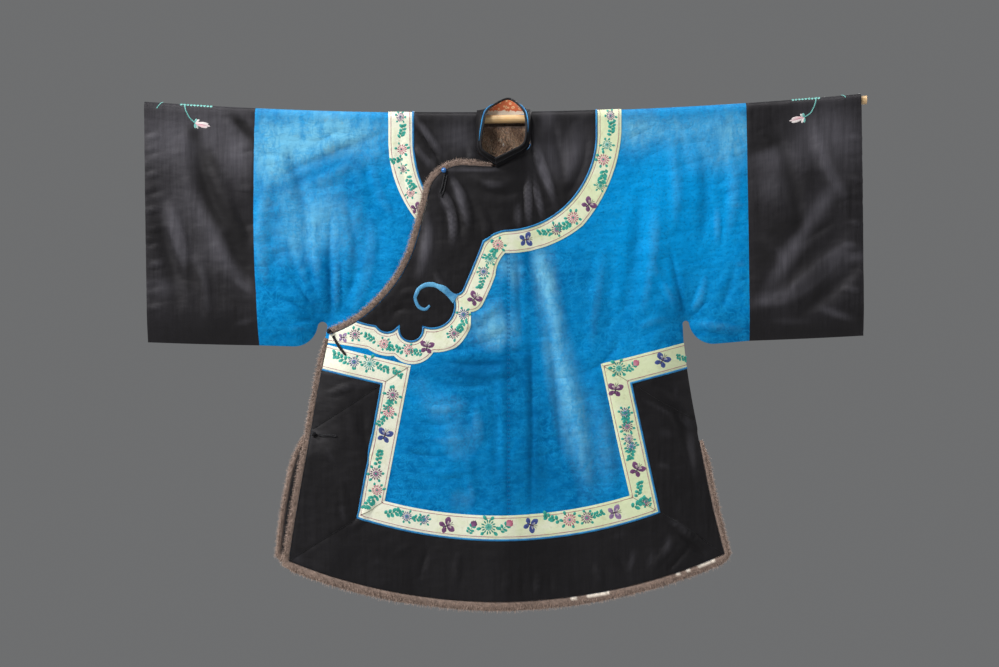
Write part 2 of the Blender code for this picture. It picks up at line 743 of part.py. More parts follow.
def add_panels(sheets):
    """The silk walls and the black cuffs."""
    walls = {
        "front_left": ("front", clipped(front_ring(), CENTRE_FRONT * MM, 1), "azure_silk"),
        "front_overlap": ("front", clipped(front_ring(), CENTRE_FRONT * MM, -1), "azure_silk"),
        "front_under": ("under", under_ring(), "azure_silk"),
        "back_left": ("back", clipped(back_ring(), CENTRE_BACK * MM, 1), "azure_silk"),
        "back_right": ("back", clipped(back_ring(), CENTRE_BACK * MM, -1), "azure_silk"),
        "cuff_left_front": ("front", cuff_ring("left"), "black_satin"),
        "cuff_left_back": ("back", cuff_ring("left"), "black_satin"),
        "cuff_right_front": ("under", cuff_ring("right"), "black_satin"),
        "cuff_right_back": ("back", cuff_ring("right"), "black_satin"),
    }
    for name, (sheet, ring, finish) in walls.items():
        add_wall(name, sheets[sheet], ring, 0.0, WALL, finish)


def add_overlay(name, sheet, ring, finish, rise=OVERLAY):
    add_wall(name, sheet, ring, WALL + SEAM, WALL + SEAM + rise, finish)


def crossing(path, other):
    """The index of the first stretch of a path that crosses another path, and the place."""
    for i, (a, b) in enumerate(zip(path, path[1:])):
        for c, d in zip(other, other[1:]):
            run, over, apart = b - a, d - c, c - a
            turn = run[0] * over[1] - run[1] * over[0]
            if abs(turn) > 1e-12:
                share = (apart[0] * over[1] - apart[1] * over[0]) / turn
                other_share = (apart[0] * run[1] - apart[1] * run[0]) / turn
                if 0 <= share <= 1 and 0 <= other_share <= 1:
                    return i, a + share * run
    raise ValueError("the paths don't cross")


def until(path, other):
    """The path up to where it crosses another."""
    i, place = crossing(path, other)
    return join(path[: i + 1], place[None])


def since(path, other):
    """The path from where it crosses another."""
    return until(path[::-1], other)[::-1]


def between(path, first, last):
    """The part of a path from its crossing with one path to its crossing with another."""
    return since(until(path, last), first)


def add_yokes(sheets):
    """Black satin round the neck, the band that borders it and the piping between them."""
    front, under, back = (sheets[name] for name in ("front", "under", "back"))
    edge = join(trace(OVERLAP_EDGE), trace(FREE_EDGE))
    outer, inner = trace(BAND_OUTER), trace(BAND_INNER)
    piped = shifted(inner, PIPING_WIDTH)
    band = join(until(inner, edge), between(edge, inner, outer), until(outer, edge)[::-1])
    black = join(until(piped, edge), until(edge, piped)[::-1], trace(NECK_LEFT)[::-1])
    add_overlay("band_yoke_front", front, band, "pale_satin")
    add_overlay("piping_yoke_front", front, join(until(inner, edge), until(piped, edge)[::-1]), "blue_piping",
                PIPING_RISE)
    add_overlay("yoke_front", front, black, "black_satin")

    outer, inner = trace(BAND_UNDER_OUTER), trace(BAND_UNDER_INNER)
    piped = shifted(inner, -PIPING_WIDTH)
    add_overlay("band_yoke_under", under, join(outer, inner[::-1]), "pale_satin")
    add_overlay("piping_yoke_under", under, join(inner, piped[::-1]), "blue_piping", PIPING_RISE)
    add_overlay("yoke_under", under, join(piped, trace(NECK_RIGHT)[::-1]), "black_satin")

    outer, inner = trace(BAND_BACK_OUTER), trace(BAND_BACK_INNER)
    piped = shifted(inner, -PIPING_WIDTH)
    add_overlay("band_yoke_back", back, join(outer, inner[::-1]), "pale_satin")
    add_overlay("piping_yoke_back", back, join(inner, piped[::-1]), "blue_piping", PIPING_RISE)
    add_overlay("yoke_back", back, join(piped, neck_back()[::-1]), "black_satin")


def point_at(path, place):
    """The index of the path's point that is nearest to a place."""
    return int(np.linalg.norm(path - place, axis=1).argmin())


def add_hem(sheet, where, right_edge, left_edge, hem):
    """The mitred band, its piping and the mitred black border at the sides and hem of one sheet."""
    silk = {name: trace(rows) for name, rows in HEM_BAND_SILK.items()}
    black = {name: trace(rows) for name, rows in HEM_BAND_BLACK.items()}
    whole = join(*black.values())
    piped = shifted(whole, PIPING_WIDTH)
    corners = [point_at(whole, black[name][-1]) for name in list(black)[:-1]]
    first, second, third, fourth = (piped[i] for i in corners)
    right_seam = np.stack([first, lay([BORDER_SEAM["right"]])[0]])
    left_seam = np.stack([fourth, lay([BORDER_SEAM["left"]])[0]])

    silk_top, black_top = since(silk["right_top"], right_edge), since(black["right_top"], right_edge)
    right_end = between(right_edge, silk["right_top"], black["right_top"])
    bands = {"right_top": join(silk_top, black_top[::-1], right_end[::-1])}
    for name in ("right_side", "bottom", "left_side"):
        bands[name] = join(silk[name], black[name][::-1])
    silk_top, black_top = until(silk["left_top"], left_edge), until(black["left_top"], left_edge)
    left_end = between(left_edge, silk["left_top"], black["left_top"])
    bands["left_top"] = join(silk_top, left_end, black_top[::-1])
    for name, ring in bands.items():
        add_overlay(f"band_{where}_{name}", sheet, ring, "pale_satin")

    cord = [until(since(path, right_edge), left_edge) for path in (whole, piped)]
    add_overlay(f"piping_hem_{where}", sheet, join(cord[0], cord[1][::-1]), "blue_piping", PIPING_RISE)

    right_top, left_top = piped[: corners[0] + 1], piped[corners[3] :]
    borders = {
        "right_top": join(
            since(right_top, right_edge),
            until(right_seam, right_edge),
            between(right_edge, right_top, right_seam)[::-1],
        ),
        "right_side": join(
            piped[corners[0] : corners[1] + 1],
            hem[:1],
            since(right_edge, right_seam)[::-1],
            until(right_seam, right_edge)[::-1],
        ),
        "bottom": join(piped[corners[1] : corners[2] + 1], hem[::-1]),
        "left_side": join(
            piped[corners[2] : corners[3] + 1],
            until(left_seam, left_edge),
            since(left_edge, left_seam),
        ),
        "left_top": join(
            until(left_top, left_edge),
            between(left_edge, left_top, left_seam),
            until(left_seam, left_edge)[::-1],
        ),
    }
    for name, ring in borders.items():
        add_overlay(f"border_{where}_{name}", sheet, ring, "black_satin")


def add_under_hem(sheet):
    """The ends of the band and border that show on the under front, past the overlap's free edge."""
    edge = join(trace(SIDE_SEAM["right"]), trace(SLIT_EDGE["right"]))
    hem = trace(HEM["under"])
    inner_end = lay([(UNDER_TRIM_X, -400), (UNDER_TRIM_X, -1000)])
    silk, black = (trace(rows["right_top"]) for rows in (HEM_BAND_SILK, HEM_BAND_BLACK))
    piped = shifted(black, PIPING_WIDTH)
    band = join(since(silk, edge), since(black, edge)[::-1], between(edge, silk, black)[::-1])
    border = join(since(piped, edge), until(hem, inner_end)[::-1], since(edge, piped)[::-1])
    add_overlay("band_under", sheet, clipped(band, UNDER_TRIM_X * MM, -1), "pale_satin")
    add_overlay("border_under", sheet, border, "black_satin")


def run_along(path):
    """How far along a path each of its points is."""
    return np.concatenate([[0.0], np.cumsum(np.linalg.norm(np.diff(path, axis=0), axis=1))])


def past(path, length):
    """The path without its first stretch of that length."""
    run = run_along(path)
    i = int(np.searchsorted(run, length))
    share = (length - run[i - 1]) / (run[i] - run[i - 1])
    return np.concatenate([(path[i - 1] + (path[i] - path[i - 1]) * share)[None], path[i:]])


def add_fur(sheets):
    """The fur that stands past the overlap, the free edge, the slits and the hems, and the lining at the neck."""
    slits = {side: past(trace(rows), SLIT_CLEAR) for side, rows in SLIT_EDGE.items()}
    hems = {name: trace(rows) for name, rows in HEM.items()}
    overlap = past(trace(OVERLAP_EDGE), RIM_NECK_CLEAR)
    front = join(past(trace(FREE_EDGE), RIM_KNOT_CLEAR), hems["front"], slits["left"][::-1])
    back = join(slits["right"], hems["back"], slits["left"][::-1])
    under = join(slits["right"], hems["under"])
    add_rim("fur_overlap", sheets["front"], overlap, RIM_OVERLAP_WIDTH, RIM_OVERLAP_WIDTH, 0.5, 1.0)
    add_rim("fur_front", sheets["front"], front, RIM_SIDE_WIDTH, RIM_HEM_WIDTH, 0.6, 0.5)
    add_rim("fur_back", sheets["back"], back, RIM_SIDE_WIDTH, RIM_HEM_WIDTH, 0.6, 0.5)
    add_rim("fur_under", sheets["under"], under, RIM_UNDER_WIDTH, RIM_HEM_WIDTH, 0.5, 1.0)
    patch = trace(FUR_LINING_PATCH)
    add_wall("fur_lining_neck", sheets["back"], patch, -SEAM - FUR_LINING_WALL, -SEAM, "brown_fur")


def add_scroll(sheet):
    """The hook scroll laid on the black yoke, from its ball end to the band's cusp."""
    hooks = spline([(hook.x, hook.z, hook.width) for hook in SCROLL_HOOKS], 2)
    middle = lay(hooks[:, :2])
    half = hooks[:, 2:] / 2 * MM
    left, right = (middle + (shifted(middle, side) - middle) * half for side in (1.0, -1.0))
    low = WALL + SEAM + OVERLAY + SEAM
    add_wall("scroll_overlap", sheet, join(left, right[::-1]), low, low + SCROLL_RISE, "blue_piping")


def add_collar(sheets):
    """The standing collar, open at the front, with its piping and the lining that shows at the back."""
    bases, tops = [], []
    for station in COLLAR_STATIONS:
        flat = lay([(station.base_x, station.base_z)])[0]
        if station.base_z == CREST:
            flat[1] = neck_back_drop(flat[0]) - COLLAR_CLEAR if station.sheet == "back" else 0.0
        bases.append(sheets[station.sheet].place(flat, WALL + OVERLAY + 4 * SEAM)[0])
        tops.append(np.array([station.top_x, station.top_y, station.top_z]) * MM)
    base, top = spline(bases, COLLAR_STEPS), spline(tops, COLLAR_STEPS)
    up = (top - base) / np.linalg.norm(top - base, axis=1)[:, None]
    run = np.gradient((base + top) / 2, axis=0)
    out = np.cross(up, run)
    out /= np.linalg.norm(out, axis=1)[:, None]
    middle = (base + top) / 2 + out * COLLAR_BULGE
    rings = [base, middle, top, top + out * COLLAR_WALL, middle + out * COLLAR_WALL, base + out * COLLAR_WALL]
    add_skin("collar", np.stack(rings, axis=1), "black_satin")
    edge = top + out * COLLAR_WALL / 2 + up * (COLLAR_PIPING_RADIUS + 4 * SEAM)
    add_cord("collar_piping", edge, COLLAR_PIPING_RADIUS, "blue_piping", sides=1)
    shown = slice(COLLAR_BACK[0] * COLLAR_STEPS, COLLAR_BACK[1] * COLLAR_STEPS + 1)
    low, high = LINING_EDGES
    shown_rows = [base + (middle - base) * low, middle, middle + (top - middle) * high]
    far = [place - out * (2 * SEAM + LINING_WALL) for place in shown_rows]
    near = [place - out * 2 * SEAM for place in shown_rows]
    ring = np.stack([*near, *far[::-1]], axis=1)[shown]
    add_skin("collar_lining", ring, "patterned_silk")


def add_fastenings(sheet):
    """The ball button and loop on the chest, and the knots and sticks of the underarm and the side."""
    on_top = WALL + OVERLAY + 2 * SEAM
    on_rim = WALL / 2 + RIM_HALF + SEAM
    add_cord("frog_chest", sheet.place(lay(CHEST_LOOP), on_top + CORD_RADIUS), CORD_RADIUS, "black_cord")
    button = sheet.place(lay([CHEST_BUTTON]), on_rim + BUTTON_RADIUS)[0]
    add_ball("button_chest", button, BUTTON_RADIUS, "blue_glass")
    for name, knot, stick, raised in (
        ("underarm", UNDERARM_KNOT, UNDERARM_STICK, 0.0),
        ("side", SIDE_KNOT, SIDE_STICK, SIDE_STICK_RAISED),
    ):
        add_ball(f"knot_{name}", sheet.place(lay([knot]), on_rim + KNOT_RADIUS)[0], KNOT_RADIUS, "black_cord")
        middle = sheet.place(lay(stick), on_top + raised + STICK_RADIUS)
        add_cord(f"frog_{name}", middle, STICK_RADIUS, "black_cord")


def main():
    clear_scene()
    sheets = {
        "front": Sheet(-1, front_depth),
        "under": Sheet(-1, under_depth),
        "back": Sheet(1, back_depth),
    }
    left_edge = join(trace(SIDE_SEAM["left"]), trace(SLIT_EDGE["left"]))
    right_edge = join(trace(SIDE_SEAM["right"]), trace(SLIT_EDGE["right"]))
    add_rod()
    add_panels(sheets)
    add_yokes(sheets)
    add_hem(sheets["front"], "front", trace(FREE_EDGE), left_edge, trace(HEM["front"]))
    add_hem(sheets["back"], "back", right_edge, left_edge, trace(HEM["back"]))
    add_under_hem(sheets["under"])
    add_scroll(sheets["front"])
    add_fur(sheets)
    add_collar(sheets)
    add_fastenings(sheets["front"])


main()
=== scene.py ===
"""A fur-lined silk robe hung flat on a bamboo rod, dressed for its picture.

The origin is the middle of the rod, X runs along the sleeves to the wearer's left, the front faces -Y and Z is
up. All lengths are in metres, and the tables of outlines, creases and motifs are in millimetres. The cloth is
drawn flat, as cut: across (x) and down from the fold over the rod (drop), and then hung on three sheets.
"""

import logging
import math
from contextlib import contextmanager
from dataclasses import dataclass, field
from enum import Enum
from functools import partial, reduce
from typing import Callable, ClassVar, Iterator, Sequence

import bpy
import numpy as np
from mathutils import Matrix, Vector
from mathutils.geometry import delaunay_2d_cdt
from mathutils.kdtree import KDTree


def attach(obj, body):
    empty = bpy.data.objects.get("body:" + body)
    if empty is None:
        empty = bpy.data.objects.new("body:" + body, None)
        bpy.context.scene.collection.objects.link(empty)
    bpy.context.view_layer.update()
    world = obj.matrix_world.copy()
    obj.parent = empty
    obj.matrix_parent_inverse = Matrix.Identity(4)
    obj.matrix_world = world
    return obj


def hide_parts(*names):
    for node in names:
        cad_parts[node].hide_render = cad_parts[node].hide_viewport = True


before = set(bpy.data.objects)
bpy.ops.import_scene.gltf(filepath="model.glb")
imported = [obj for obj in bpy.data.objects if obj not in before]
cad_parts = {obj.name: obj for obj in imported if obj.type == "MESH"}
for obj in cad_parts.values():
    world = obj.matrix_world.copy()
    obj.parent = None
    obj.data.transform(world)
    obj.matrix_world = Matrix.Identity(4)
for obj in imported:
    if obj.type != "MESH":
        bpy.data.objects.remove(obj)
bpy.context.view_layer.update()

LOG = logging.getLogger("robe")

# Cloth walls, seams and steps of the meshes
MM = 0.001
WALL = 0.004
OVERLAY = 0.001
SEAM = 0.0003
PIPING_WIDTH = 0.004
EDGE_STEP = 0.006
GRID = 0.0058
FIELD_STEP = 0.003
ROD_RADIUS = 0.0085
ROD_ENDS = (-0.700, 0.706)
# Its middle line rises by this much at this distance to each side, and climbs by the tilt to the left
ROD_RISE = 0.029
ROD_REACH = 0.700
ROD_TILT = 0.0114
FOLD_RADIUS = (ROD_RADIUS + SEAM) / math.cos(math.pi / 8)
FOLD_LENGTH = FOLD_RADIUS * math.pi / 2
CREST = 100.0
RIM_HALF = 0.0042
ROD_JOINTS = (-0.655, -0.41, -0.17, 0.075, 0.31, 0.55)
# The outer face of what is laid on the silk, how far its edges roll, and how deep ridges are let in
ON_BAND = WALL + SEAM + OVERLAY
EDGE_ROLL = 0.0006
TUCK = 0.0002

Outline = tuple[tuple[float, ...], ...]
Colour = tuple[float, float, float]
Crease = tuple[float, ...]
Mesh = tuple[np.ndarray, np.ndarray]


class Side(Enum):
    """The wearer's two sides, and the sign of x on each."""

    RIGHT = -1
    LEFT = 1


class Layer(Enum):
    """The three hanging sheets."""

    FRONT = "front"
    UNDER = "under"
    BACK = "back"


class Kind(Enum):
    """What an embroidered motif is."""

    FLOWER = 1
    SPRAY = 2
    BUTTERFLY = 3
    BUD = 4


class Thread(Enum):
    """The embroidery threads: the dark and the light shade of each."""

    TEAL = ((0.010, 0.245, 0.185), (0.060, 0.520, 0.420))
    AQUA = ((0.050, 0.380, 0.350), (0.300, 0.660, 0.600))
    ROSE = ((0.520, 0.070, 0.190), (0.850, 0.430, 0.480))
    PLUM = ((0.085, 0.025, 0.100), (0.400, 0.160, 0.340))
    LILAC = ((0.200, 0.110, 0.280), (0.560, 0.400, 0.580))
    INDIGO = ((0.020, 0.035, 0.200), (0.150, 0.220, 0.560))
    CREAM = ((0.700, 0.560, 0.420), (0.900, 0.840, 0.720))
    DARK = ((0.030, 0.020, 0.040), (0.120, 0.070, 0.120))


RIGHT, LEFT = Side
FRONT, UNDER, BACK = Layer
FLOWER, SPRAY, BUTTERFLY, BUD = Kind
TEAL, AQUA, ROSE, PLUM, LILAC, INDIGO, CREAM, DARK = Thread


# ---------------------------------------------------------------------------------------- flat geometry


def rod_height(x: np.ndarray) -> np.ndarray:
    """Height of the rod's middle line, which is bowed and tilted a little, at x."""
    return ROD_RISE * (x / ROD_REACH) ** 2 + ROD_TILT * x


def ease(t: np.ndarray) -> np.ndarray:
    """0 to 1 with a level start and end."""
    t = np.clip(t, 0.0, 1.0)
    return t * t * (3 - 2 * t)


def lay(points: Sequence[Sequence[float]]) -> np.ndarray:
    """Turn rows of x and z, in millimetres, into rows of x and drop, in metres."""
    x, z = np.array(points, float).T * MM
    return np.stack([x, rod_height(x) - z + FOLD_LENGTH], axis=1)


def arc(start: Sequence[float], via: Sequence[float], end: Sequence[float], step: float) -> list[tuple[float, float]]:
    """Follow the circle through three points.

    Args:
        start: The point that it leaves, which isn't returned.
        via: A point on the way.
        end: The last point.
        step: Distance between points, in metres.

    Returns:
        The points after the start, in millimetres.
    """
    (ax, ay), (bx, by), (cx, cy) = start, via, end
    turn = 2 * (ax * (by - cy) + bx * (cy - ay) + cx * (ay - by))
    a2, b2, c2 = ax * ax + ay * ay, bx * bx + by * by, cx * cx + cy * cy
    ox = (a2 * (by - cy) + b2 * (cy - ay) + c2 * (ay - by)) / turn
    oy = (a2 * (cx - bx) + b2 * (ax - cx) + c2 * (bx - ax)) / turn
    radius = math.hypot(ax - ox, ay - oy)
    first, middle, last = (math.atan2(y - oy, x - ox) for x, y in (start, via, end))
    sweep = (last - first) % (2 * math.pi)
    if (middle - first) % (2 * math.pi) > sweep:
        sweep -= 2 * math.pi
    count = max(2, math.ceil(abs(sweep) * max(radius * MM / step, 2.2)))
    angles = [first + sweep * i / count for i in range(1, count + 1)]
    return [(ox + radius * math.cos(a), oy + radius * math.sin(a)) for a in angles]


def trace(outline: Outline, step: float = EDGE_STEP) -> np.ndarray:
    """Lay out an outline flat, cut off at the fold over the rod.

    Args:
        outline: A start and its stretches, each a point, or a point and a point on its arc.
        step: Distance between points on the arcs, in metres.

    Returns:
        Flat points in metres.
    """
    points = [outline[0][:2]]
    for row in outline[1:]:
        points += [row[:2]] if len(row) == 2 else arc(points[-1], row[2:], row[:2], step)
    flat = lay(points)
    kept = []
    for a, b in zip(flat, flat[1:]):
        if a[1] >= 0:
            kept.append(a)
        if (a[1] < 0) != (b[1] < 0):
            kept.append(a + (b - a) * a[1] / (a[1] - b[1]))
    return np.array(kept + [flat[-1]] if flat[-1][1] >= 0 else kept)


def join(*paths: np.ndarray) -> np.ndarray:
    """Paths one after another, without the points that they share.

    Args:
        paths: Each one's points.

    Returns:
        The one path.
    """
    points = [paths[0][0]]
    for path in paths:
        points += [p for p in path if np.hypot(*(p - points[-1])) > 1e-5]
    if np.hypot(*(points[0] - points[-1])) < 1e-5:
        points.pop()
    return np.array(points)


def shifted(path: np.ndarray, distance: float, closed: bool = False) -> np.ndarray:
    """Move a path sideways with mitred corners.

    Args:
        path: Flat points.
        distance: How far, to the left of its run in x and drop.
        closed: Whether its end meets its start.

    Returns:
        The moved points.
    """
    run = np.roll(path, -1, axis=0) - path
    run /= np.maximum(np.linalg.norm(run, axis=1), 1e-9)[:, None]
    before = np.roll(run, 1, axis=0)
    if not closed:
        run[-1], before[0] = run[-2], run[0]
    side = np.stack([-run[:, 1], run[:, 0]], axis=1)
    side_before = np.stack([-before[:, 1], before[:, 0]], axis=1)
    mitre = side + side_before
    mitre /= np.maximum((mitre * side).sum(axis=1), 0.25)[:, None]
    return path + mitre * distance


def clipped(ring: np.ndarray, x: float, side: int) -> np.ndarray:
    """The part of a closed outline on one side of an upright line.

    Args:
        ring: The outline.
        x: Where the line is.
        side: -1 to keep what is left of it, 1 for the right.

    Returns:
        The outline of that part.
    """
    kept = []
    for a, b in zip(ring, np.roll(ring, -1, axis=0)):
        if (a[0] - x) * side >= 0:
            kept.append(a)
        if (a[0] - x) * (b[0] - x) < 0:
            kept.append(a + (b - a) * (x - a[0]) / (b[0] - a[0]))
    return np.array(kept)


def inside(ring: np.ndarray, points: np.ndarray) -> np.ndarray:
    """Which points lie inside a closed outline.

    Args:
        ring: The outline.
        points: What is looked at.

    Returns:
        True for each point inside.
    """
    near = ((points > ring.min(axis=0)) & (points < ring.max(axis=0))).all(axis=1)
    x, y = points[near].T
    found = np.zeros(len(x), bool)
    for (ax, ay), (bx, by) in zip(ring, np.roll(ring, -1, axis=0)):
        if ay != by:
            found ^= ((ay > y) != (by > y)) & (x < ax + (y - ay) * (bx - ax) / (by - ay))
    whole = np.zeros(len(points), bool)
    whole[near] = found
    return whole


def along(path: np.ndarray, step: float, closed: bool = False) -> np.ndarray:
    """The path's points, with more between those that are further apart than a step.

    Args:
        path: Its points.
        step: The longest distance to leave.
        closed: Whether it ends where it starts.

    Returns:
        The points.
    """
    points = [path[0]]
    for a, b in zip(path, np.roll(path, -1, axis=0) if closed else path[1:]):
        count = max(1, round(float(np.linalg.norm(b - a)) / step))
        points += [a + (b - a) * i / count for i in range(1, count + 1)]
    return np.array(points[:-1] if closed else points)


def run_along(path: np.ndarray) -> np.ndarray:
    """How far along a path each of its points is."""
    return np.concatenate([[0.0], np.cumsum(np.linalg.norm(np.diff(path, axis=0), axis=1))])


def evenly(path: np.ndarray, step: float) -> np.ndarray:
    """Points at even distances, near a step, along a path.

    Args:
        path: Its points.
        step: The distance aimed at.

    Returns:
        The points.
    """
    run = run_along(path)
    places = np.linspace(0.0, run[-1], max(2, round(run[-1] / step) + 1))
    return np.stack([np.interp(places, run, path[:, i]) for i in range(path.shape[1])], axis=1)


def past(path: np.ndarray, length: float) -> np.ndarray:
    """The path without its first stretch of that length.

    Args:
        path: Its points.
        length: How much is left out.

    Returns:
        The rest.
    """
    run = run_along(path)
    i = int(np.searchsorted(run, length))
    share = (length - run[i - 1]) / (run[i] - run[i - 1])
    return np.concatenate([(path[i - 1] + (path[i] - path[i - 1]) * share)[None], path[i:]])


def crossing(path: np.ndarray, other: np.ndarray) -> tuple[int, np.ndarray]:
    """Find where a path first crosses another.

    Args:
        path: Flat points.
        other: Flat points of the other path.

    Returns:
        The index of the stretch that crosses, and the place.
    """
    run, over = np.diff(path, axis=0)[:, None], np.diff(other, axis=0)[None]
    apart = other[None, :-1] - path[:-1, None]
    turn = run[..., 0] * over[..., 1] - run[..., 1] * over[..., 0]
    turn = np.where(np.abs(turn) < 1e-14, np.nan, turn)
    share = (apart[..., 0] * over[..., 1] - apart[..., 1] * over[..., 0]) / turn
    other_share = (apart[..., 0] * run[..., 1] - apart[..., 1] * run[..., 0]) / turn
    met = (share >= 0) & (share <= 1) & (other_share >= 0) & (other_share <= 1)
    i, j = np.argwhere(met)[0]
    return int(i), path[i] + share[i, j] * run[i, 0]


def until(path: np.ndarray, other: np.ndarray) -> np.ndarray:
    """The path up to where it crosses another."""
    i, place = crossing(path, other)
    return join(path[: i + 1], place[None])


def since(path: np.ndarray, other: np.ndarray) -> np.ndarray:
    """The path from where it crosses another."""
    return until(path[::-1], other)[::-1]


def between(path: np.ndarray, first: np.ndarray, last: np.ndarray) -> np.ndarray:
    """The part of a path from its crossing with one path to its crossing with another."""
    return since(until(path, last), first)


def spline(points: Sequence[Sequence[float]], steps: int) -> np.ndarray:
    """Points on a smooth curve through the given ones, with steps between each two.

    Args:
        points: Those that it goes through.
        steps: Points from each one to the next.

    Returns:
        The curve.
    """
    rows = np.array(points, float)
    rows = np.concatenate([[2 * rows[0] - rows[1]], rows, [2 * rows[-1] - rows[-2]]])
    out = []
    for a, b, c, d in zip(rows, rows[1:], rows[2:], rows[3:]):
        for t in np.arange(steps) / steps:
            bend = 2 * b + (c - a) * t + (2 * a - 5 * b + 4 * c - d) * t * t + (3 * b - a - 3 * c + d) * t**3
            out.append(bend / 2)
    return np.array(out + [rows[-2]])


# ------------------------------------------------------------------------------------- mesh and pieces


def build(
    name: str,
    points: np.ndarray,
    faces: np.ndarray,
    finishes: Sequence[bpy.types.Material],
    cut: np.ndarray | None = None,
    tint: np.ndarray | None = None,
    which: np.ndarray | None = None,
    sharp: float = 50.0,
) -> bpy.types.Object:
    """Make a piece of triangles that rides on the robe's one body.

    Args:
        name: The piece's name.
        points: Places in metres.
        faces: Rows of three indices.
        finishes: Its materials.
        cut: Flat place of each point, kept as the UV map "cut".
        tint: Colour and share of each point, kept as the colour attribute "tint".
        which: Which finish each face takes.
        sharp: Angle in degrees past which an edge stays sharp.

    Returns:
        The object.
    """
    mesh = bpy.data.meshes.new(name)
    mesh.vertices.add(len(points))
    mesh.vertices.foreach_set("co", np.ascontiguousarray(points, np.float32).ravel())
    mesh.loops.add(faces.size)
    mesh.loops.foreach_set("vertex_index", np.ascontiguousarray(faces, np.int32).ravel())
    mesh.polygons.add(len(faces))
    mesh.polygons.foreach_set("loop_start", np.arange(0, faces.size, 3, dtype=np.int32))
    for finish in finishes:
        mesh.materials.append(finish)
    if which is not None:
        mesh.polygons.foreach_set("material_index", which.astype(np.int32))
    if cut is not None:
        layer = mesh.uv_layers.new(name="cut")
        flat = np.stack([cut[:, 0], -cut[:, 1]], axis=1)[faces.ravel()]
        layer.data.foreach_set("uv", np.ascontiguousarray(flat, np.float32).ravel())
    if tint is not None:
        paint = mesh.color_attributes.new(name="tint", type="FLOAT_COLOR", domain="POINT")
        rows = np.ones((len(points), 4), np.float32)
        rows[:, : tint.shape[1]] = tint
        paint.data.foreach_set("color", rows.ravel())
    mesh.update(calc_edges=True)
    mesh.validate()
    mesh.shade_smooth()
    mesh.set_sharp_from_angle(angle=math.radians(sharp))
    made = bpy.data.objects.new(name, mesh)
    bpy.context.scene.collection.objects.link(made)
    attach(made, "root")
    return made


def outward(mesh: Mesh) -> Mesh:
    """A closed mesh with its faces turned outwards.

    Args:
        mesh: Its points and faces.

    Returns:
        The mesh.
    """
    points, faces = mesh
    a, b, c = (points[faces[:, k]] for k in range(3))
    return points, faces[:, ::-1] if float((a * np.cross(b, c)).sum()) < 0 else faces


@contextmanager
def editing() -> Iterator[None]:
    """Edit mode for what stands inside.

    Yields:
        Nothing.
    """
    bpy.ops.object.mode_set(mode="EDIT")
    yield
    bpy.ops.object.mode_set(mode="OBJECT")


def choose(mesh: bpy.types.Mesh, kind: str, wanted: Callable[[object], bool]) -> None:
    """Select only the wanted ones of a mesh's vertices or polygons.

    Args:
        mesh: The mesh.
        kind: Its vertices or its polygons.
        wanted: Tells which ones.
    """
    for items in (mesh.vertices, mesh.edges, mesh.polygons):
        items.foreach_set("select", np.zeros(len(items), bool))
    for item in getattr(mesh, kind):
        item.select = bool(wanted(item))


def merged(parts: Sequence[Mesh]) -> Mesh:
    """Several meshes as one."""
    starts = np.cumsum([0] + [len(points) for points, _ in parts[:-1]])
    return np.concatenate([p for p, _ in parts]), np.concatenate([f + s for (_, f), s in zip(parts, starts)])


def skin(rings: np.ndarray, flip: bool = False) -> Mesh:
    """Close a row of rings into a body with capped ends.

    Args:
        rings: Places, as stations by corners by three.
        flip: Whether the corners turn the other way.

    Returns:
        Its points and triangles.
    """
    count, corners = rings.shape[:2]
    i, j = np.meshgrid(np.arange(count - 1), np.arange(corners), indexing="ij")
    a, b = i * corners + j, i * corners + (j + 1) % corners
    c, d = a + corners, b + corners
    sides = np.concatenate([np.stack([a, b, d], -1).reshape(-1, 3), np.stack([a, d, c], -1).reshape(-1, 3)])
    middle = count * corners
    ring = np.arange(corners)
    near = np.stack([np.full(corners, middle), np.roll(ring, -1), ring], axis=1)
    last = ring + (count - 1) * corners
    far = np.stack([np.full(corners, middle + 1), last, np.roll(last, -1)], axis=1)
    faces = np.concatenate([sides, near, far])
    ends = np.stack([rings[0].mean(axis=0), rings[-1].mean(axis=0)])
    return np.concatenate([rings.reshape(-1, 3), ends]), faces[:, ::-1] if flip else faces


def tube(path: np.ndarray, radius: float | np.ndarray, sides: int = 8) -> Mesh:
    """A round cord along a path.

    Args:
        path: Places.
        radius: Its radius, the same all along or one for each place.
        sides: Corners of its section.

    Returns:
        Its points and triangles.
    """
    run = np.gradient(path, axis=0)
    run /= np.maximum(np.linalg.norm(run, axis=1), 1e-12)[:, None]
    across = np.cross(run[0], [0.31, 0.87, 0.38])
    frames = []
    for heading in run:
        across = across - heading * (across @ heading)
        across = across / max(float(np.linalg.norm(across)), 1e-9)
        frames.append((across, np.cross(heading, across)))
    turn = np.arange(sides) * 2 * math.pi / sides
    u, v = (np.array([pair[k] for pair in frames]) for k in (0, 1))
    wide = np.broadcast_to(radius, len(path))[:, None, None]
    ring = u[:, None] * np.cos(turn)[None, :, None] + v[:, None] * np.sin(turn)[None, :, None]
    return skin(path[:, None] + ring * wide)


# ------------------------------------------------------------------------------------ outlines, as cut


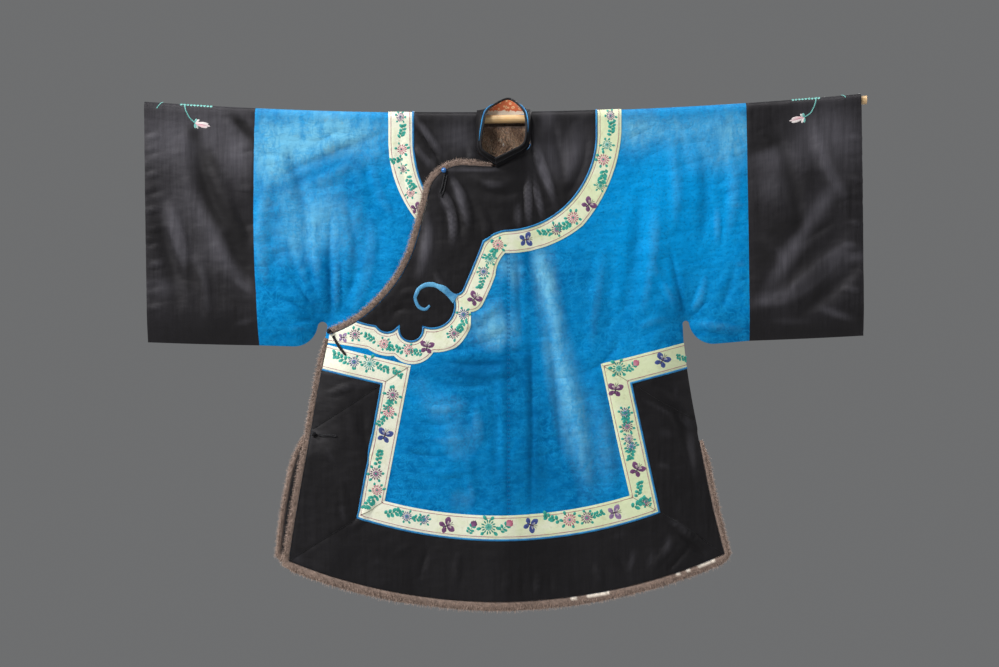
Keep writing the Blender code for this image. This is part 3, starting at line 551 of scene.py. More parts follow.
@dataclass(frozen=True)
class Pattern:
    """The outlines of the cloth, in millimetres, and the rings that they make."""

    cuff_seam: ClassVar[dict[Side, Outline]] = {
        RIGHT: ((-482, CREST), (-478, -440, -488, -190)),
        LEFT: ((469, CREST), (477, -431, 474, -200)),
    }
    sleeve_end: ClassVar[dict[Side, Outline]] = {
        RIGHT: ((-703, CREST), (-695, -434)),
        LEFT: ((694, CREST), (699, -421)),
    }
    side_seam: ClassVar[dict[Side, Outline]] = {
        RIGHT: (
            (-478, -440), (-412, -442), (-366, -404, -382, -432), (-344, -403, -355, -394),
            (-361, -475, -351, -440), (-377, -600, -370, -540),
        ),
        LEFT: (
            (477, -431), (408, -437), (361, -400, 377, -426), (346, -403, 352, -392),
            (353, -482, 348, -440), (375, -607, 363, -545),
        ),
    }
    slit_edge: ClassVar[dict[Side, Outline]] = {
        RIGHT: ((-377, -600), (-409, -682, -395, -642), (-434, -845, -425, -765)),
        LEFT: ((375, -607), (427, -846, 398, -730)),
    }
    free_edge: Outline = ((-339, -421), (-382, -648, -361, -530), (-418, -859, -401, -754))
    hem: ClassVar[dict[Layer, Outline]] = {
        FRONT: ((-418, -859), (427, -846, 5, -938)),
        UNDER: ((-434, -845), (-62, -922, -250, -899)),
        BACK: ((-434, -845), (427, -846, 0, -930)),
    }
    under_edge: Outline = ((-16, -96), (-62, -922))
    neck_left: Outline = ((52, CREST), (50, -40), (42, -62, 48, -53), (-16, -96))
    neck_right: Outline = ((-54, CREST), (-55, -54), (-40, -78, -50, -69), (-16, -96))
    overlap_edge: Outline = (
        (-16, -96), (-80, -93), (-143, -133, -121, -106), (-175, -253, -157, -190), (-244, -360, -204, -312),
        (-339, -421, -287, -396),
    )
    band_outer: Outline = (
        (228, CREST), (227, -29), (152, -208, 209, -111), (0, -262, 85, -247), (-18, -305, -10, -276),
        (-42, -360, -30, -335), (-66, -376, -52, -372), (-138, -454, -83, -434), (-215, -461, -174, -477),
        (-265, -448, -238, -460), (-346, -436, -300, -442),
    )
    band_inner: Outline = (
        (181, CREST), (181, -29), (129, -163, 164, -110), (0, -221, 73, -204), (-39, -241, -24, -230),
        (-76, -331, -57, -286), (-98, -345, -85, -343), (-156, -408, -112, -401), (-207, -409, -181, -436),
        (-251, -406, -227, -419), (-294, -394, -272, -402),
    )
    under_outer: Outline = ((-227, CREST), (-226, -52), (-158, -214, -205, -142))
    under_inner: Outline = ((-181, CREST), (-180, -47), (-140, -172, -168, -116))
    back_outer: Outline = (
        (-228, CREST), (-227, -29), (0, -262, -152, -208), (227, -29, 152, -208), (228, CREST),
    )
    back_inner: Outline = (
        (-181, CREST), (-181, -29), (0, -221, -119, -173), (181, -29, 119, -173), (181, CREST),
    )
    hem_silk: Outline = ((-378, -431), (-182, -480), (-233, -743), (243, -733, 8, -771), (187, -478), (378, -428))
    hem_black: Outline = ((-386, -478), (-236, -514), (-283, -774), (298, -764, 8, -817), (243, -513), (380, -476))
    border_seam: ClassVar[dict[Side, tuple[float, float]]] = {RIGHT: (-420, -637), LEFT: (420, -617)}
    cuff_bottom: ClassVar[dict[Side, Outline]] = {
        RIGHT: ((-695, -434), (-478, -440)), LEFT: ((699, -421), (477, -431)),
    }
    centre_front: float = 0.005
    under_trim: float = -0.215

    def side(self, side: Side) -> np.ndarray:
        """The side seam and the slit below it."""
        return join(trace(self.side_seam[side]), trace(self.slit_edge[side]))

    def neck_back(self) -> np.ndarray:
        """The neck as cut in the back."""
        x = np.linspace(-0.053, 0.053, 25)
        return np.stack([x, 0.009 * np.sqrt(1 - (x / 0.053) ** 2)], axis=1)

    def base(self, layer: Layer) -> np.ndarray:
        """Outline of all the cloth on a sheet, cuffs too.

        Args:
            layer: The sheet.

        Returns:
            Its points.
        """
        left, right = (
            join(trace(self.sleeve_end[side]), trace(self.cuff_bottom[side]), self.side(side))
            for side in (LEFT, RIGHT)
        )
        hem = trace(self.hem[layer])
        if layer is FRONT:
            neck = trace(self.neck_left)
            return join(neck[:1], left, hem[::-1], trace(self.free_edge)[::-1], self.overlap()[::-1], neck[::-1])
        if layer is UNDER:
            return join(trace(self.neck_right), trace(self.under_edge), hem[::-1], right[::-1])
        return join(self.neck_back(), left, hem[::-1], right[::-1])

    def overlap(self) -> np.ndarray:
        """The fur-trimmed diagonal edge of the overlap, from the neck to the underarm."""
        return trace(self.overlap_edge)

    def cuff(self, side: Side) -> np.ndarray:
        """Outline of a cuff."""
        bottom, end = trace(self.cuff_bottom[side]), trace(self.sleeve_end[side])
        return join(trace(self.cuff_seam[side]), bottom[::-1], end[::-1])

    def panels(self, layer: Layer) -> dict[str, np.ndarray]:
        """The silk panels of a sheet, by name.

        Args:
            layer: The sheet.

        Returns:
            An outline for each name.
        """
        left = (trace(self.cuff_seam[LEFT]), self.side(LEFT))
        right = (self.side(RIGHT)[::-1], trace(self.cuff_seam[RIGHT])[::-1])
        hem = trace(self.hem[layer])[::-1]
        if layer is UNDER:
            return {"front_under": join(trace(self.neck_right), trace(self.under_edge), hem, *right)}
        if layer is FRONT:
            neck = trace(self.neck_left)
            ring = join(neck[:1], *left, hem, trace(self.free_edge)[::-1], self.overlap()[::-1], neck[::-1])
            return {
                "front_left": clipped(ring, self.centre_front, 1),
                "front_overlap": clipped(ring, self.centre_front, -1),
            }
        ring = join(self.neck_back(), *left, hem, *right)
        return {"back_left": clipped(ring, 0.0, 1), "back_right": clipped(ring, 0.0, -1)}

    def yoke(self, layer: Layer) -> dict[str, np.ndarray]:
        """The black yoke of a sheet, its band, and the line of the piping between them.

        Args:
            layer: The sheet.

        Returns:
            An outline or a line for each name.
        """
        if layer is FRONT:
            edge = join(self.overlap(), trace(self.free_edge))
            outer, inner = trace(self.band_outer), trace(self.band_inner)
            piped = shifted(inner, PIPING_WIDTH)
            neck = trace(self.neck_left)
            return {
                "band": join(until(inner, edge), between(edge, inner, outer), until(outer, edge)[::-1]),
                "black": join(until(piped, edge), until(edge, piped)[::-1], neck[::-1]),
                "line": until(shifted(inner, PIPING_WIDTH / 2), edge),
                "strip": join(until(inner, edge), until(piped, edge)[::-1]),
                "outer": until(outer, edge),
                "inner": until(inner, edge),
            }
        if layer is UNDER:
            outer, inner, neck = trace(self.under_outer), trace(self.under_inner), trace(self.neck_right)
        else:
            outer, inner, neck = trace(self.back_outer), trace(self.back_inner), self.neck_back()
        piped = shifted(inner, -PIPING_WIDTH)
        return {
            "band": join(outer, inner[::-1]),
            "black": join(piped, neck[::-1]),
            "line": shifted(inner, -PIPING_WIDTH / 2),
            "strip": join(inner, piped[::-1]),
            "outer": outer,
            "inner": inner,
        }

    def trim(self, layer: Layer) -> dict[str, np.ndarray]:
        """The mitred bands and borders at the sides and hem of a sheet, and the line of the piping.

        Args:
            layer: The sheet.

        Returns:
            An outline or a line for each name.
        """
        names = ("right_top", "right_side", "bottom", "left_side", "left_top")
        silk, black = (
            {name: trace((rows[i][:2], rows[i + 1])) for i, name in enumerate(names)}
            for rows in (self.hem_silk, self.hem_black)
        )
        if layer is UNDER:
            return self.under_hem(silk["right_top"], black["right_top"])
        right = trace(self.free_edge) if layer is FRONT else self.side(RIGHT)
        left, hem = self.side(LEFT), trace(self.hem[layer])
        whole = join(*black.values())
        piped = shifted(whole, PIPING_WIDTH)
        corners = [int(np.linalg.norm(whole - black[name][-1], axis=1).argmin()) for name in names[:-1]]
        seam_right = np.stack([piped[corners[0]], lay([self.border_seam[RIGHT]])[0]])
        seam_left = np.stack([piped[corners[3]], lay([self.border_seam[LEFT]])[0]])
        top, low = since(silk["right_top"], right), since(black["right_top"], right)
        end = between(right, silk["right_top"], black["right_top"])
        rings = {"band_right_top": join(top, low[::-1], end[::-1])}
        for name in names[1:4]:
            rings["band_" + name] = join(silk[name], black[name][::-1])
        top, low = until(silk["left_top"], left), until(black["left_top"], left)
        rings["band_left_top"] = join(top, between(left, silk["left_top"], black["left_top"]), low[::-1])
        a, b, c, d = corners
        right_top, left_top = piped[: a + 1], piped[d:]
        rings["border_right_top"] = join(
            since(right_top, right), until(seam_right, right), between(right, right_top, seam_right)[::-1]
        )
        rings["border_right_side"] = join(
            piped[a : b + 1], hem[:1], since(right, seam_right)[::-1], until(seam_right, right)[::-1]
        )
        rings["border_bottom"] = join(piped[b : c + 1], hem[::-1])
        rings["border_left_side"] = join(piped[c : d + 1], until(seam_left, left), since(left, seam_left))
        rings["border_left_top"] = join(
            until(left_top, left), between(left, left_top, seam_left), until(seam_left, left)[::-1]
        )
        rings["line"] = until(since(shifted(whole, PIPING_WIDTH / 2), right), left)
        strip = [until(since(path, right), left) for path in (whole, piped)]
        rings["strip"] = join(strip[0], strip[1][::-1])
        rings["outer"] = until(since(join(*silk.values()), right), left)
        rings["inner"] = strip[0]
        for name in names[:-1]:
            rings["mitre_band_" + name] = np.stack([silk[name][-1], black[name][-1]])
        seams = (until(seam_right, right), piped[b], piped[c], until(seam_left, left))
        rings["mitre_border_right"], rings["mitre_border_left"] = seams[0], seams[3]
        rings["mitre_border_low_right"] = np.stack([seams[1], hem[0]])
        rings["mitre_border_low_left"] = np.stack([seams[2], hem[-1]])
        return rings

    def under_hem(self, silk: np.ndarray, black: np.ndarray) -> dict[str, np.ndarray]:
        """The ends of the band and border on the under front.

        Args:
            silk: The band's edge on the silk side.
            black: Its edge on the black side.

        Returns:
            The rings and lines, by name.
        """
        edge, hem = self.side(RIGHT), trace(self.hem[UNDER])
        end = lay([(self.under_trim / MM, -400), (self.under_trim / MM, -1000)])
        piped = shifted(black, PIPING_WIDTH)
        band = join(since(silk, edge), since(black, edge)[::-1], between(edge, silk, black)[::-1])
        return {
            "band": clipped(band, self.under_trim, -1),
            "border": join(since(piped, edge), until(hem, end)[::-1], since(edge, piped)[::-1]),
            "outer": since(silk, edge),
            "inner": since(black, edge),
            "line": since(shifted(black, PIPING_WIDTH / 2), edge),
        }


# --------------------------------------------------------------------------------------- how it hangs


@dataclass(frozen=True)
class Drape:
    """How far each sheet stands from the rod's mid plane: the hollow, the broad folds and the creases."""

    hollow: float = 0.0165
    hollow_drop: float = 0.200
    belly: float = 0.006
    closing: float = 0.068
    crease_gain: float = 2.3
    lap: float = 0.0105
    shoulder: tuple[Crease, ...] = (
        (-330, -60, -300, -390, 34, 3.5, 0), (-420, -40, -370, -400, 30, -2.5, 0), (-560, -60, -520, -400, 40, 3.0, 0),
        (-640, -80, -660, -420, 32, -2.5, 0), (330, -50, 270, -400, 34, 3.5, 0), (430, -60, 360, -400, 30, -2.5, 0),
        (560, -60, 530, -390, 40, 3.0, 0), (650, -70, 630, -400, 32, -2.5, 0),
    )
    front: tuple[Crease, ...] = (
        (90, -240, 135, -600, 30, 4.0, 0), (30, -260, 40, -640, 28, -2.0, 0), (210, -220, 200, -520, 34, -2.5, 0),
        (-90, -420, -110, -760, 36, 3.0, 0), (-200, -520, -235, -800, 34, -2.5, 0),
        (-300, -560, -345, -890, 38, 4.0, 1), (-150, -640, -165, -930, 38, -3.0, 1), (-10, -640, -15, -940, 40, 3.5, 1),
        (130, -640, 150, -930, 38, -3.0, 1), (270, -560, 305, -900, 38, 3.5, 1), (372, -600, 402, -870, 30, -2.5, 1),
    )
    back: tuple[Crease, ...] = (
        (-110, -180, -130, -620, 34, 3.5, 0), (120, -200, 100, -640, 34, -2.5, 0), (-250, -500, -290, -890, 40, 3.5, 1),
        (-70, -620, -80, -930, 40, -3.0, 1), (90, -620, 105, -930, 40, 3.5, 1), (250, -540, 290, -900, 40, -2.5, 1),
    )
    # Start, middle, end, half width and height: troughs are negative
    creases_under: tuple[Crease, ...] = (
        (-605, -23, -578, -125, -543, -218, 18, -2.6), (-543, -218, -520, -267, -496, -333, 16, -2),
        (-549, 21, -516, -6, -485, -37, 9, -1.4), (-672, -101, -586, -105, -492, -98, 3, 0.25),
        (-662, -279, -574, -273, -488, -281, 3, 0.25), (-529, -308, -506, -328, -483, -343, 5, 1),
        (-652, -158, -637, -226, -613, -314, 14, 1.8), (-584, -60, -555, -138, -504, -236, 12, 1.6),
        (-676, -207, -648, -279, -633, -392, 14, -1.4), (-604, -265, -584, -324, -570, -411, 11, 1.2),
        (-526, -158, -510, -207, -488, -246, 7, -0.9), (-697, -41, -683, -35, -666, -33, 4.5, 0.9),
        (-695, -74, -682, -66, -660, -64, 4.5, -0.8), (-697, -115, -685, -109, -670, -109, 4.5, 0.9),
        (-695, -152, -680, -144, -656, -142, 5, -0.8), (-697, -185, -683, -177, -664, -176, 4.5, 0.9),
        (-695, -220, -678, -213, -652, -209, 5, 0.8), (-697, -250, -685, -244, -672, -242, 4.5, -0.9),
        (-695, -291, -678, -283, -654, -281, 5, 0.9), (-695, -333, -683, -328, -666, -326, 4.5, -0.7),
        (-693, -372, -678, -367, -658, -367, 4.5, 0.8), (-481, -60, -496, -62, -514, -68, 4.5, -0.7),
        (-481, -135, -500, -136, -520, -135, 4.5, 0.7), (-479, -201, -494, -205, -510, -203, 4.5, -0.7),
        (-227, -25, -327, -64, -424, -105, 9, -1.4), (-219, -53, -301, -92, -399, -138, 10, 1.2),
        (-338, -396, -340, -279, -340, -176, 6, -1.6), (-325, -388, -327, -326, -327, -279, 5, 1.8),
        (-315, -365, -290, -271, -309, -170, 7, -1.5), (-301, -388, -266, -294, -258, -187, 9, 1.5),
        (-350, -388, -364, -294, -375, -168, 9, 1.4), (-366, -390, -407, -361, -455, -343, 5.5, -1.2),
        (-362, -382, -391, -341, -424, -302, 5.5, -1.2), (-358, -376, -389, -310, -414, -220, 7, 1.2),
        (-407, -394, -387, -390, -366, -394, 4.5, -0.9), (-432, -411, -399, -406, -368, -408, 4.5, 0.9),
        (-457, -109, -473, -220, -461, -345, 13, 1.6), (-428, -51, -399, -138, -387, -236, 12, -1.3),
        (-473, -80, -457, -82, -440, -80, 4.5, 0.8), (-473, -168, -457, -172, -446, -170, 4.5, -0.8),
        (-471, -250, -453, -254, -434, -250, 4.5, 0.8), (-469, -324, -455, -328, -438, -326, 4.5, -0.8),
        (-258, -60, -247, -138, -215, -187, 9, 1.2), (-204, -21, -200, -90, -184, -158, 8, -1),
        (-297, -60, -282, -138, -297, -228, 11, 1.1), (-177, 8, -150, -30, -123, -75, 5, 1.5),
        (-174, -52, -156, -79, -138, -100, 4.5, 1.2), (-147, -60, -138, -84, -133, -100, 4, 0.9),
        (-165, -20, -146, -52, -128, -85, 5, -1.1), (-66, -58, -63, -70, -60, -82, 4, 0.9),
        (-78, -55, -76, -68, -74, -82, 4, -0.7), (-303, -544, -297, -595, -286, -649, 7, 1.2),
        (-342, -782, -332, -704, -323, -626, 6, 1),
    )
    creases_front: tuple[Crease, ...] = (
        (-122, -140, -103, -184, -102, -250, 5, 1.9), (-102, -118, -78, -166, -66, -240, 6.5, 2.0),
        (-149, -181, -151, -246, -167, -314, 8, 1.5), (-112, -140, -91, -186, -85, -245, 6, -1.3),
        (-54, -168, -36, -205, -40, -248, 6, 1.2), (-67, -109, -19, -129, 34, -115, 7, 1.2),
        (-56, -133, -9, -150, 38, -138, 7, -1), (57, -45, 74, -100, 102, -165, 6.5, 1.8),
        (89, 6, 102, -60, 122, -130, 9, -1.0), (136, 2, 132, -80, 118, -140, 12, 0.9),
        (44, -20, 52, -60, 60, -110, 5, -1.1), (161, -31, 147, -99, 116, -158, 8, -1),
        (28, -160, 23, -190, 28, -212, 4, 0.9), (36, -120, 36, -160, 38, -205, 5, -1.0),
        (50, -115, 45, -150, 47, -205, 4.5, 1.5), (57, -118, 65, -156, 76, -198, 4.5, 1.3),
        (-208, -353, -180, -337, -157, -357, 6, 1), (-223, -388, -200, -370, -176, -376, 5, -0.9),
        (-134, -294, -124, -322, -106, -337, 5, 1), (-137, -464, -58, -478, 32, -470, 5.5, -1.1),
        (-130, -486, -48, -497, 28, -489, 5.5, 1.1), (-145, -511, -71, -519, -3, -511, 5.5, -0.9),
        (-63, -394, -48, -402, -28, -406, 5, -1), (-9, -353, -48, -388, -102, -411, 8, 1.2),
        (1, -411, -52, -441, -126, -450, 8, -1.2), (-171, -548, -126, -566, -67, -552, 5.5, 1),
        (-184, -577, -134, -595, -83, -581, 5.5, -0.9), (-165, -610, -114, -626, -56, -612, 5.5, 0.9),
        (-196, -640, -141, -655, -71, -640, 5.5, -0.9), (-180, -677, -126, -690, -67, -677, 5.5, 0.8),
        (-204, -708, -157, -722, -106, -710, 5.5, -0.8), (-52, -548, -52, -591, -48, -640, 11, 1.6),
        (-75, -655, -67, -704, -59, -753, 9, 1.2), (-24, -509, -19, -606, -20, -723, 9, -1.1),
        (61, -248, 93, -349, 108, -454, 13, 2.2), (108, -454, 139, -567, 167, -747, 14, 2.4),
        (50, -431, 52, -606, 48, -786, 5, -1.4), (85, -411, 100, -548, 112, -704, 8, -1.3),
        (20, -255, 28, -353, 32, -441, 6, -1), (186, -470, 210, -606, 229, -753, 10, -1.2),
        (198, -236, 178, -353, 167, -470, 13, 1.2), (264, -138, 249, -275, 229, -411, 13, -1.2),
        (293, -158, 288, -275, 264, -392, 12, 1.3), (225, -431, 190, -474, 147, -493, 6, -0.8),
        (256, -411, 284, -396, 327, -384, 6, 0.9), (350, -388, 336, -324, 319, -248, 6, -1.6),
        (340, -388, 315, -333, 280, -279, 7, 1.3), (358, -390, 375, -372, 395, -355, 5, -1.1),
        (362, -384, 381, -345, 393, -291, 6, 1.2), (366, -398, 416, -402, 471, -411, 5.5, 1.3),
        (371, -411, 412, -417, 455, -423, 4.5, -0.9), (412, -168, 414, -209, 412, -254, 4.5, 1.2),
        (381, -60, 389, -158, 377, -255, 12, -1.2), (436, -41, 446, -138, 432, -236, 11, 1.2),
        (449, -275, 436, -330, 416, -376, 8, -1.1), (319, -21, 334, -119, 327, -216, 11, 1.1),
        (471, -60, 455, -64, 440, -62, 4.5, 0.8), (471, -111, 457, -115, 442, -117, 4.5, -0.8),
        (473, -164, 455, -168, 436, -166, 4.5, 0.8), (473, -218, 457, -224, 440, -222, 4.5, -0.8),
        (473, -279, 455, -283, 434, -281, 4.5, 0.8), (475, -335, 461, -339, 446, -337, 4.5, -0.7),
        (487, -96, 576, -99, 674, -94, 3, 0.25), (527, -367, 600, -304, 687, -232, 17, 2.4),
        (557, -396, 631, -337, 697, -279, 14, -1.8), (518, -2, 557, -119, 576, -248, 15, -1.7),
        (605, 2, 627, -90, 674, -168, 13, 1.6), (492, -232, 529, -255, 557, -298, 10, 1.2),
        (576, -248, 607, -220, 646, -201, 9, -1.2), (490, -353, 518, -361, 549, -353, 5, 0.9),
        (697, -43, 682, -37, 664, -37, 4.5, 0.9), (697, -80, 680, -74, 658, -74, 4.5, -0.8),
        (697, -123, 683, -117, 668, -117, 4.5, 0.8), (697, -164, 680, -158, 656, -156, 5, -0.9),
        (695, -209, 682, -203, 664, -201, 4.5, 0.9), (695, -254, 678, -248, 654, -246, 5, 0.8),
        (695, -294, 682, -289, 666, -289, 4.5, -0.8), (693, -337, 676, -332, 654, -330, 5, 0.9),
        (693, -378, 680, -374, 664, -374, 4.5, -0.7), (-305, -544, -295, -597, -286, -649, 8, 0.8),
        (-274, -558, -270, -626, -260, -684, 7, -1.2), (-321, -684, -309, -743, -297, -798, 7, 0.5),
        (-340, -538, -313, -525, -278, -513, 5, 1), (-253, -727, -270, -766, -297, -801, 6, 1.1),
        (-219, -852, -196, -837, -169, -825, 6, 0.5), (-165, -899, -157, -860, -145, -831, 6, -1),
        (-97, -918, -93, -879, -87, -844, 6, 1), (1, -930, 3, -903, 7, -879, 5, 1.1),
        (32, -932, 32, -905, 32, -878, 5, -1), (61, -930, 63, -903, 65, -878, 5, 1.2),
        (91, -926, 89, -903, 87, -879, 5, -0.9), (186, -915, 182, -883, 175, -860, 6, 1),
        (237, -899, 229, -872, 219, -848, 6, -1), (284, -883, 311, -844, 346, -801, 5.5, 0.9),
        (311, -887, 334, -860, 362, -829, 5.5, -1.2), (297, -768, 350, -800, 409, -848, 4, 1.4),
        (325, -800, 362, -829, 395, -856, 7, -1.8), (264, -517, 319, -544, 366, -571, 6, 0.5),
        (276, -540, 327, -577, 370, -626, 7, -1.1), (284, -606, 311, -684, 362, -782, 9, 0.4),
        (327, -528, 342, -606, 373, -704, 8, -1.2),
    )
    creases_back: tuple[Crease, ...] = (
        (-60, -60, -66, -120, -78, -190, 8, 1.4), (-20, -30, -24, -100, -30, -180, 7, -1.2),
        (28, -40, 34, -110, 30, -200, 8, 1.3), (80, -50, 92, -110, 104, -170, 7, -1.1),
        (120, -60, 128, -100, 130, -150, 6, 1.0), (-130, -50, -128, -90, -120, -140, 7, -1.0),
        (-110, -270, -128, -420, -150, -620, 14, 2.2), (60, -280, 78, -430, 96, -640, 13, 2.0),
        (8, -300, 10, -420, 8, -560, 6, -1.2), (-190, -300, -170, -420, -176, -560, 12, -1.4),
        (170, -320, 150, -450, 158, -600, 12, 1.5), (-60, -480, -20, -488, 30, -482, 5.5, 1.0),
        (-90, -520, -40, -530, 20, -521, 5.5, -0.9), (110, -500, 140, -512, 172, -506, 5.5, 0.9),
        (-60, -600, -10, -612, 46, -603, 5.5, 0.9), (-170, -640, -130, -650, -86, -641, 5.5, -0.8),
        (90, -660, 130, -668, 168, -660, 5.5, 0.8), (-300, -820, -294, -850, -290, -884, 6, 1.1),
        (-180, -850, -182, -880, -186, -912, 6, -1.0), (-60, -850, -58, -884, -60, -918, 6, 1.1),
        (60, -848, 62, -880, 60, -916, 6, -1.0), (160, -840, 170, -868, 176, -900, 6, 1.2),
        (280, -800, 292, -830, 306, -866, 6, -1.1), (320, -520, 338, -600, 352, -700, 8, 1.5),
        (-320, -520, -340, -590, -358, -690, 8, 1.4), (-350, -610, -330, -650, -318, -700, 6, -1.1),
        (350, -640, 336, -690, 330, -740, 6, 1.1),
    )

    def mirrored(self) -> tuple[Crease, ...]:
        """The sleeves' creases for the back: those of the front and under sheets, turned over and moved a little.

        Returns:
            The creases.
        """
        rows = []
        for i, row in enumerate((*self.creases_under, *self.creases_front)):
            x = [-row[k] + 9 * math.sin(i * 2.4 + k) for k in (0, 2, 4)]
            z = [row[k] - 8 + 9 * math.cos(i * 1.7 + k) for k in (1, 3, 5)]
            if min(abs(value) for value in x) > 190 and max(z) < 12 and min(z) > -400 and i % 5:
                rows.append((x[0], z[0], x[1], z[1], x[2], z[2], row[6], row[7] * 0.9))
        return tuple(rows)

    @staticmethod
    def fold_depth(folds: Sequence[Crease], x: np.ndarray, drop: np.ndarray) -> np.ndarray:
        """How far the broad folds move a sheet out.

        Args:
            folds: Rows of two ends, half width, height and whether it runs out at the hem.
            x: Across.
            drop: Down from the rod.

        Returns:
            Depths in metres.
        """
        z = rod_height(x) - drop
        total = np.zeros(len(x))
        for x0, z0, x1, z1, width, height, runs_out in folds:
            start = np.array([x0, z0]) * MM
            run = np.array([x1, z1]) * MM - start
            length = float(np.linalg.norm(run))
            run /= length
            share = np.clip(((x - start[0]) * run[0] + (z - start[1]) * run[1]) / length, 0.0, 1.0)
            aside = (x - start[0]) * run[1] - (z - start[1]) * run[0]
            tapered = ease(share) if runs_out else np.sin(math.pi * share)
            total += height * MM * tapered * np.exp(-((aside / (width * MM)) ** 2))
        return total

    @staticmethod
    def crease_depth(creases: Sequence[Crease], x: np.ndarray, drop: np.ndarray) -> np.ndarray:
        """How far the creases move a sheet out.

        Args:
            creases: Rows of start, middle, end, half width and height, in millimetres.
            x: Across.
            drop: Down from the rod.

        Returns:
            Depths in metres.
        """
        z = rod_height(x) - drop
        total = np.zeros(len(x))
        for x0, z0, x1, z1, x2, z2, width, height in creases:
            t = np.linspace(0.0, 1.0, 15)[:, None]
            ends = [np.array(p) * MM for p in ((x0, z0), (x1, z1), (x2, z2))]
            middle = 2 * ends[1] - (ends[0] + ends[2]) / 2
            path = (1 - t) ** 2 * ends[0] + 2 * t * (1 - t) * middle + t**2 * ends[2]
            reach = 3.0 * width * MM
            low, high = path.min(axis=0) - reach, path.max(axis=0) + reach
            near = np.flatnonzero((x > low[0]) & (x < high[0]) & (z > low[1]) & (z < high[1]))
            at = np.stack([x[near], z[near]], axis=1)
            best, share = np.full(len(near), np.inf), np.zeros(len(near))
            for i, (a, b) in enumerate(zip(path, path[1:])):
                run = b - a
                held = np.clip((at - a) @ run / (run @ run), 0.0, 1.0)
                away = np.linalg.norm(at - a - held[:, None] * run, axis=1)
                nearer = away < best
                best = np.where(nearer, away, best)
                share = np.where(nearer, (i + held) / (len(path) - 1), share)
            grown = np.sin(math.pi * np.clip(share, 0.0, 1.0)) ** 0.8
            thin = width * MM * (0.6 + 0.4 * grown)
            profile = np.exp(-((best / thin) ** 2)) - 0.22 * np.exp(-(((best - 1.9 * thin) / thin) ** 2))
            total[near] += height * MM * grown * profile
        return total

    def sewn_reach(self, side: Side, flat: np.ndarray, pattern: Pattern) -> np.ndarray:
        """How far flat points lie inside the sewn edge under a sleeve and down a side.

        Args:
            side: Which side.
            flat: Flat points.
            pattern: The outlines.

        Returns:
            Distances, negative outside.
        """
        path = join(trace(pattern.cuff_bottom[side], 0.02), trace(pattern.side_seam[side], 0.02))
        best, signed = np.full(len(flat), np.inf), np.zeros(len(flat))
        for i, (a, b) in enumerate(zip(path[:-1], path[1:])):
            run = b - a
            share = (flat - a) @ run / (run @ run)
            held = np.clip(share, 0.0, 1.0)
            off = flat - a - held[:, None] * run
            distance = np.linalg.norm(off, axis=1)
            facing = np.sign(run[0] * off[:, 1] - run[1] * off[:, 0]) * side.value
            far = distance > 1.2 * self.closing
            facing = np.where(far | (share > 1) if i == len(path) - 2 else far, 1.0, facing)
            nearer = distance < best
            best = np.where(nearer, distance, best)
            signed = np.where(nearer, distance * facing, signed)
        return signed

    def depth(self, layer: Layer, flat: np.ndarray, pattern: Pattern) -> tuple[np.ndarray, np.ndarray]:
        """Depth of a sheet's inner face from the rod's mid plane, and how much of it the creases make.

        Args:
            layer: Which sheet.
            flat: Flat points.
            pattern: The outlines.

        Returns:
            Both in metres.
        """
        x, drop = flat[:, 0], np.maximum(flat[:, 1] - FOLD_LENGTH, 0.0)
        back = layer is BACK
        turn = np.clip(flat[:, 1] / FOLD_RADIUS, -math.pi / 2, math.pi / 2)
        depth = FOLD_RADIUS * np.sin(turn) + (self.hollow - FOLD_RADIUS) * ease(drop / self.hollow_drop)
        hung = ease(drop / 0.070)
        depth += self.belly * np.exp(-((x / 0.300) ** 2) - ((drop - 0.500) / 0.330) ** 2) * hung
        depth += self.fold_depth(self.shoulder + (self.back if back else self.front), x, drop) * hung
        creases = {
            FRONT: self.creases_front,
            UNDER: self.creases_under,
            BACK: self.creases_back + self.mirrored(),
        }[layer]
        fine = self.crease_gain * self.crease_depth(creases, x, drop) * ease(drop / 0.025)
        for side in Side:
            reach = self.sewn_reach(side, flat, pattern)
            if layer is FRONT and side is RIGHT:
                reach = np.maximum(reach, 0.004)
            closed = np.sin(math.pi / 2 * np.clip(reach / self.closing, -1.0, 1.0))
            depth = SEAM / 2 + (depth - SEAM / 2) * closed
            fine *= np.clip(reach / 0.012, 0.25, 1.0)
        if layer is FRONT:
            lapped = ease((0.095 - x) / 0.105) * ease(drop / 0.070)
            depth += self.lap * lapped
            fine = np.where(lapped > 0.3, np.maximum(fine, -0.0022), fine)
        if layer is UNDER:
            fine = np.where(x > -0.30, np.clip(fine, -0.0022, 0.0015), fine)
        return depth + fine, fine


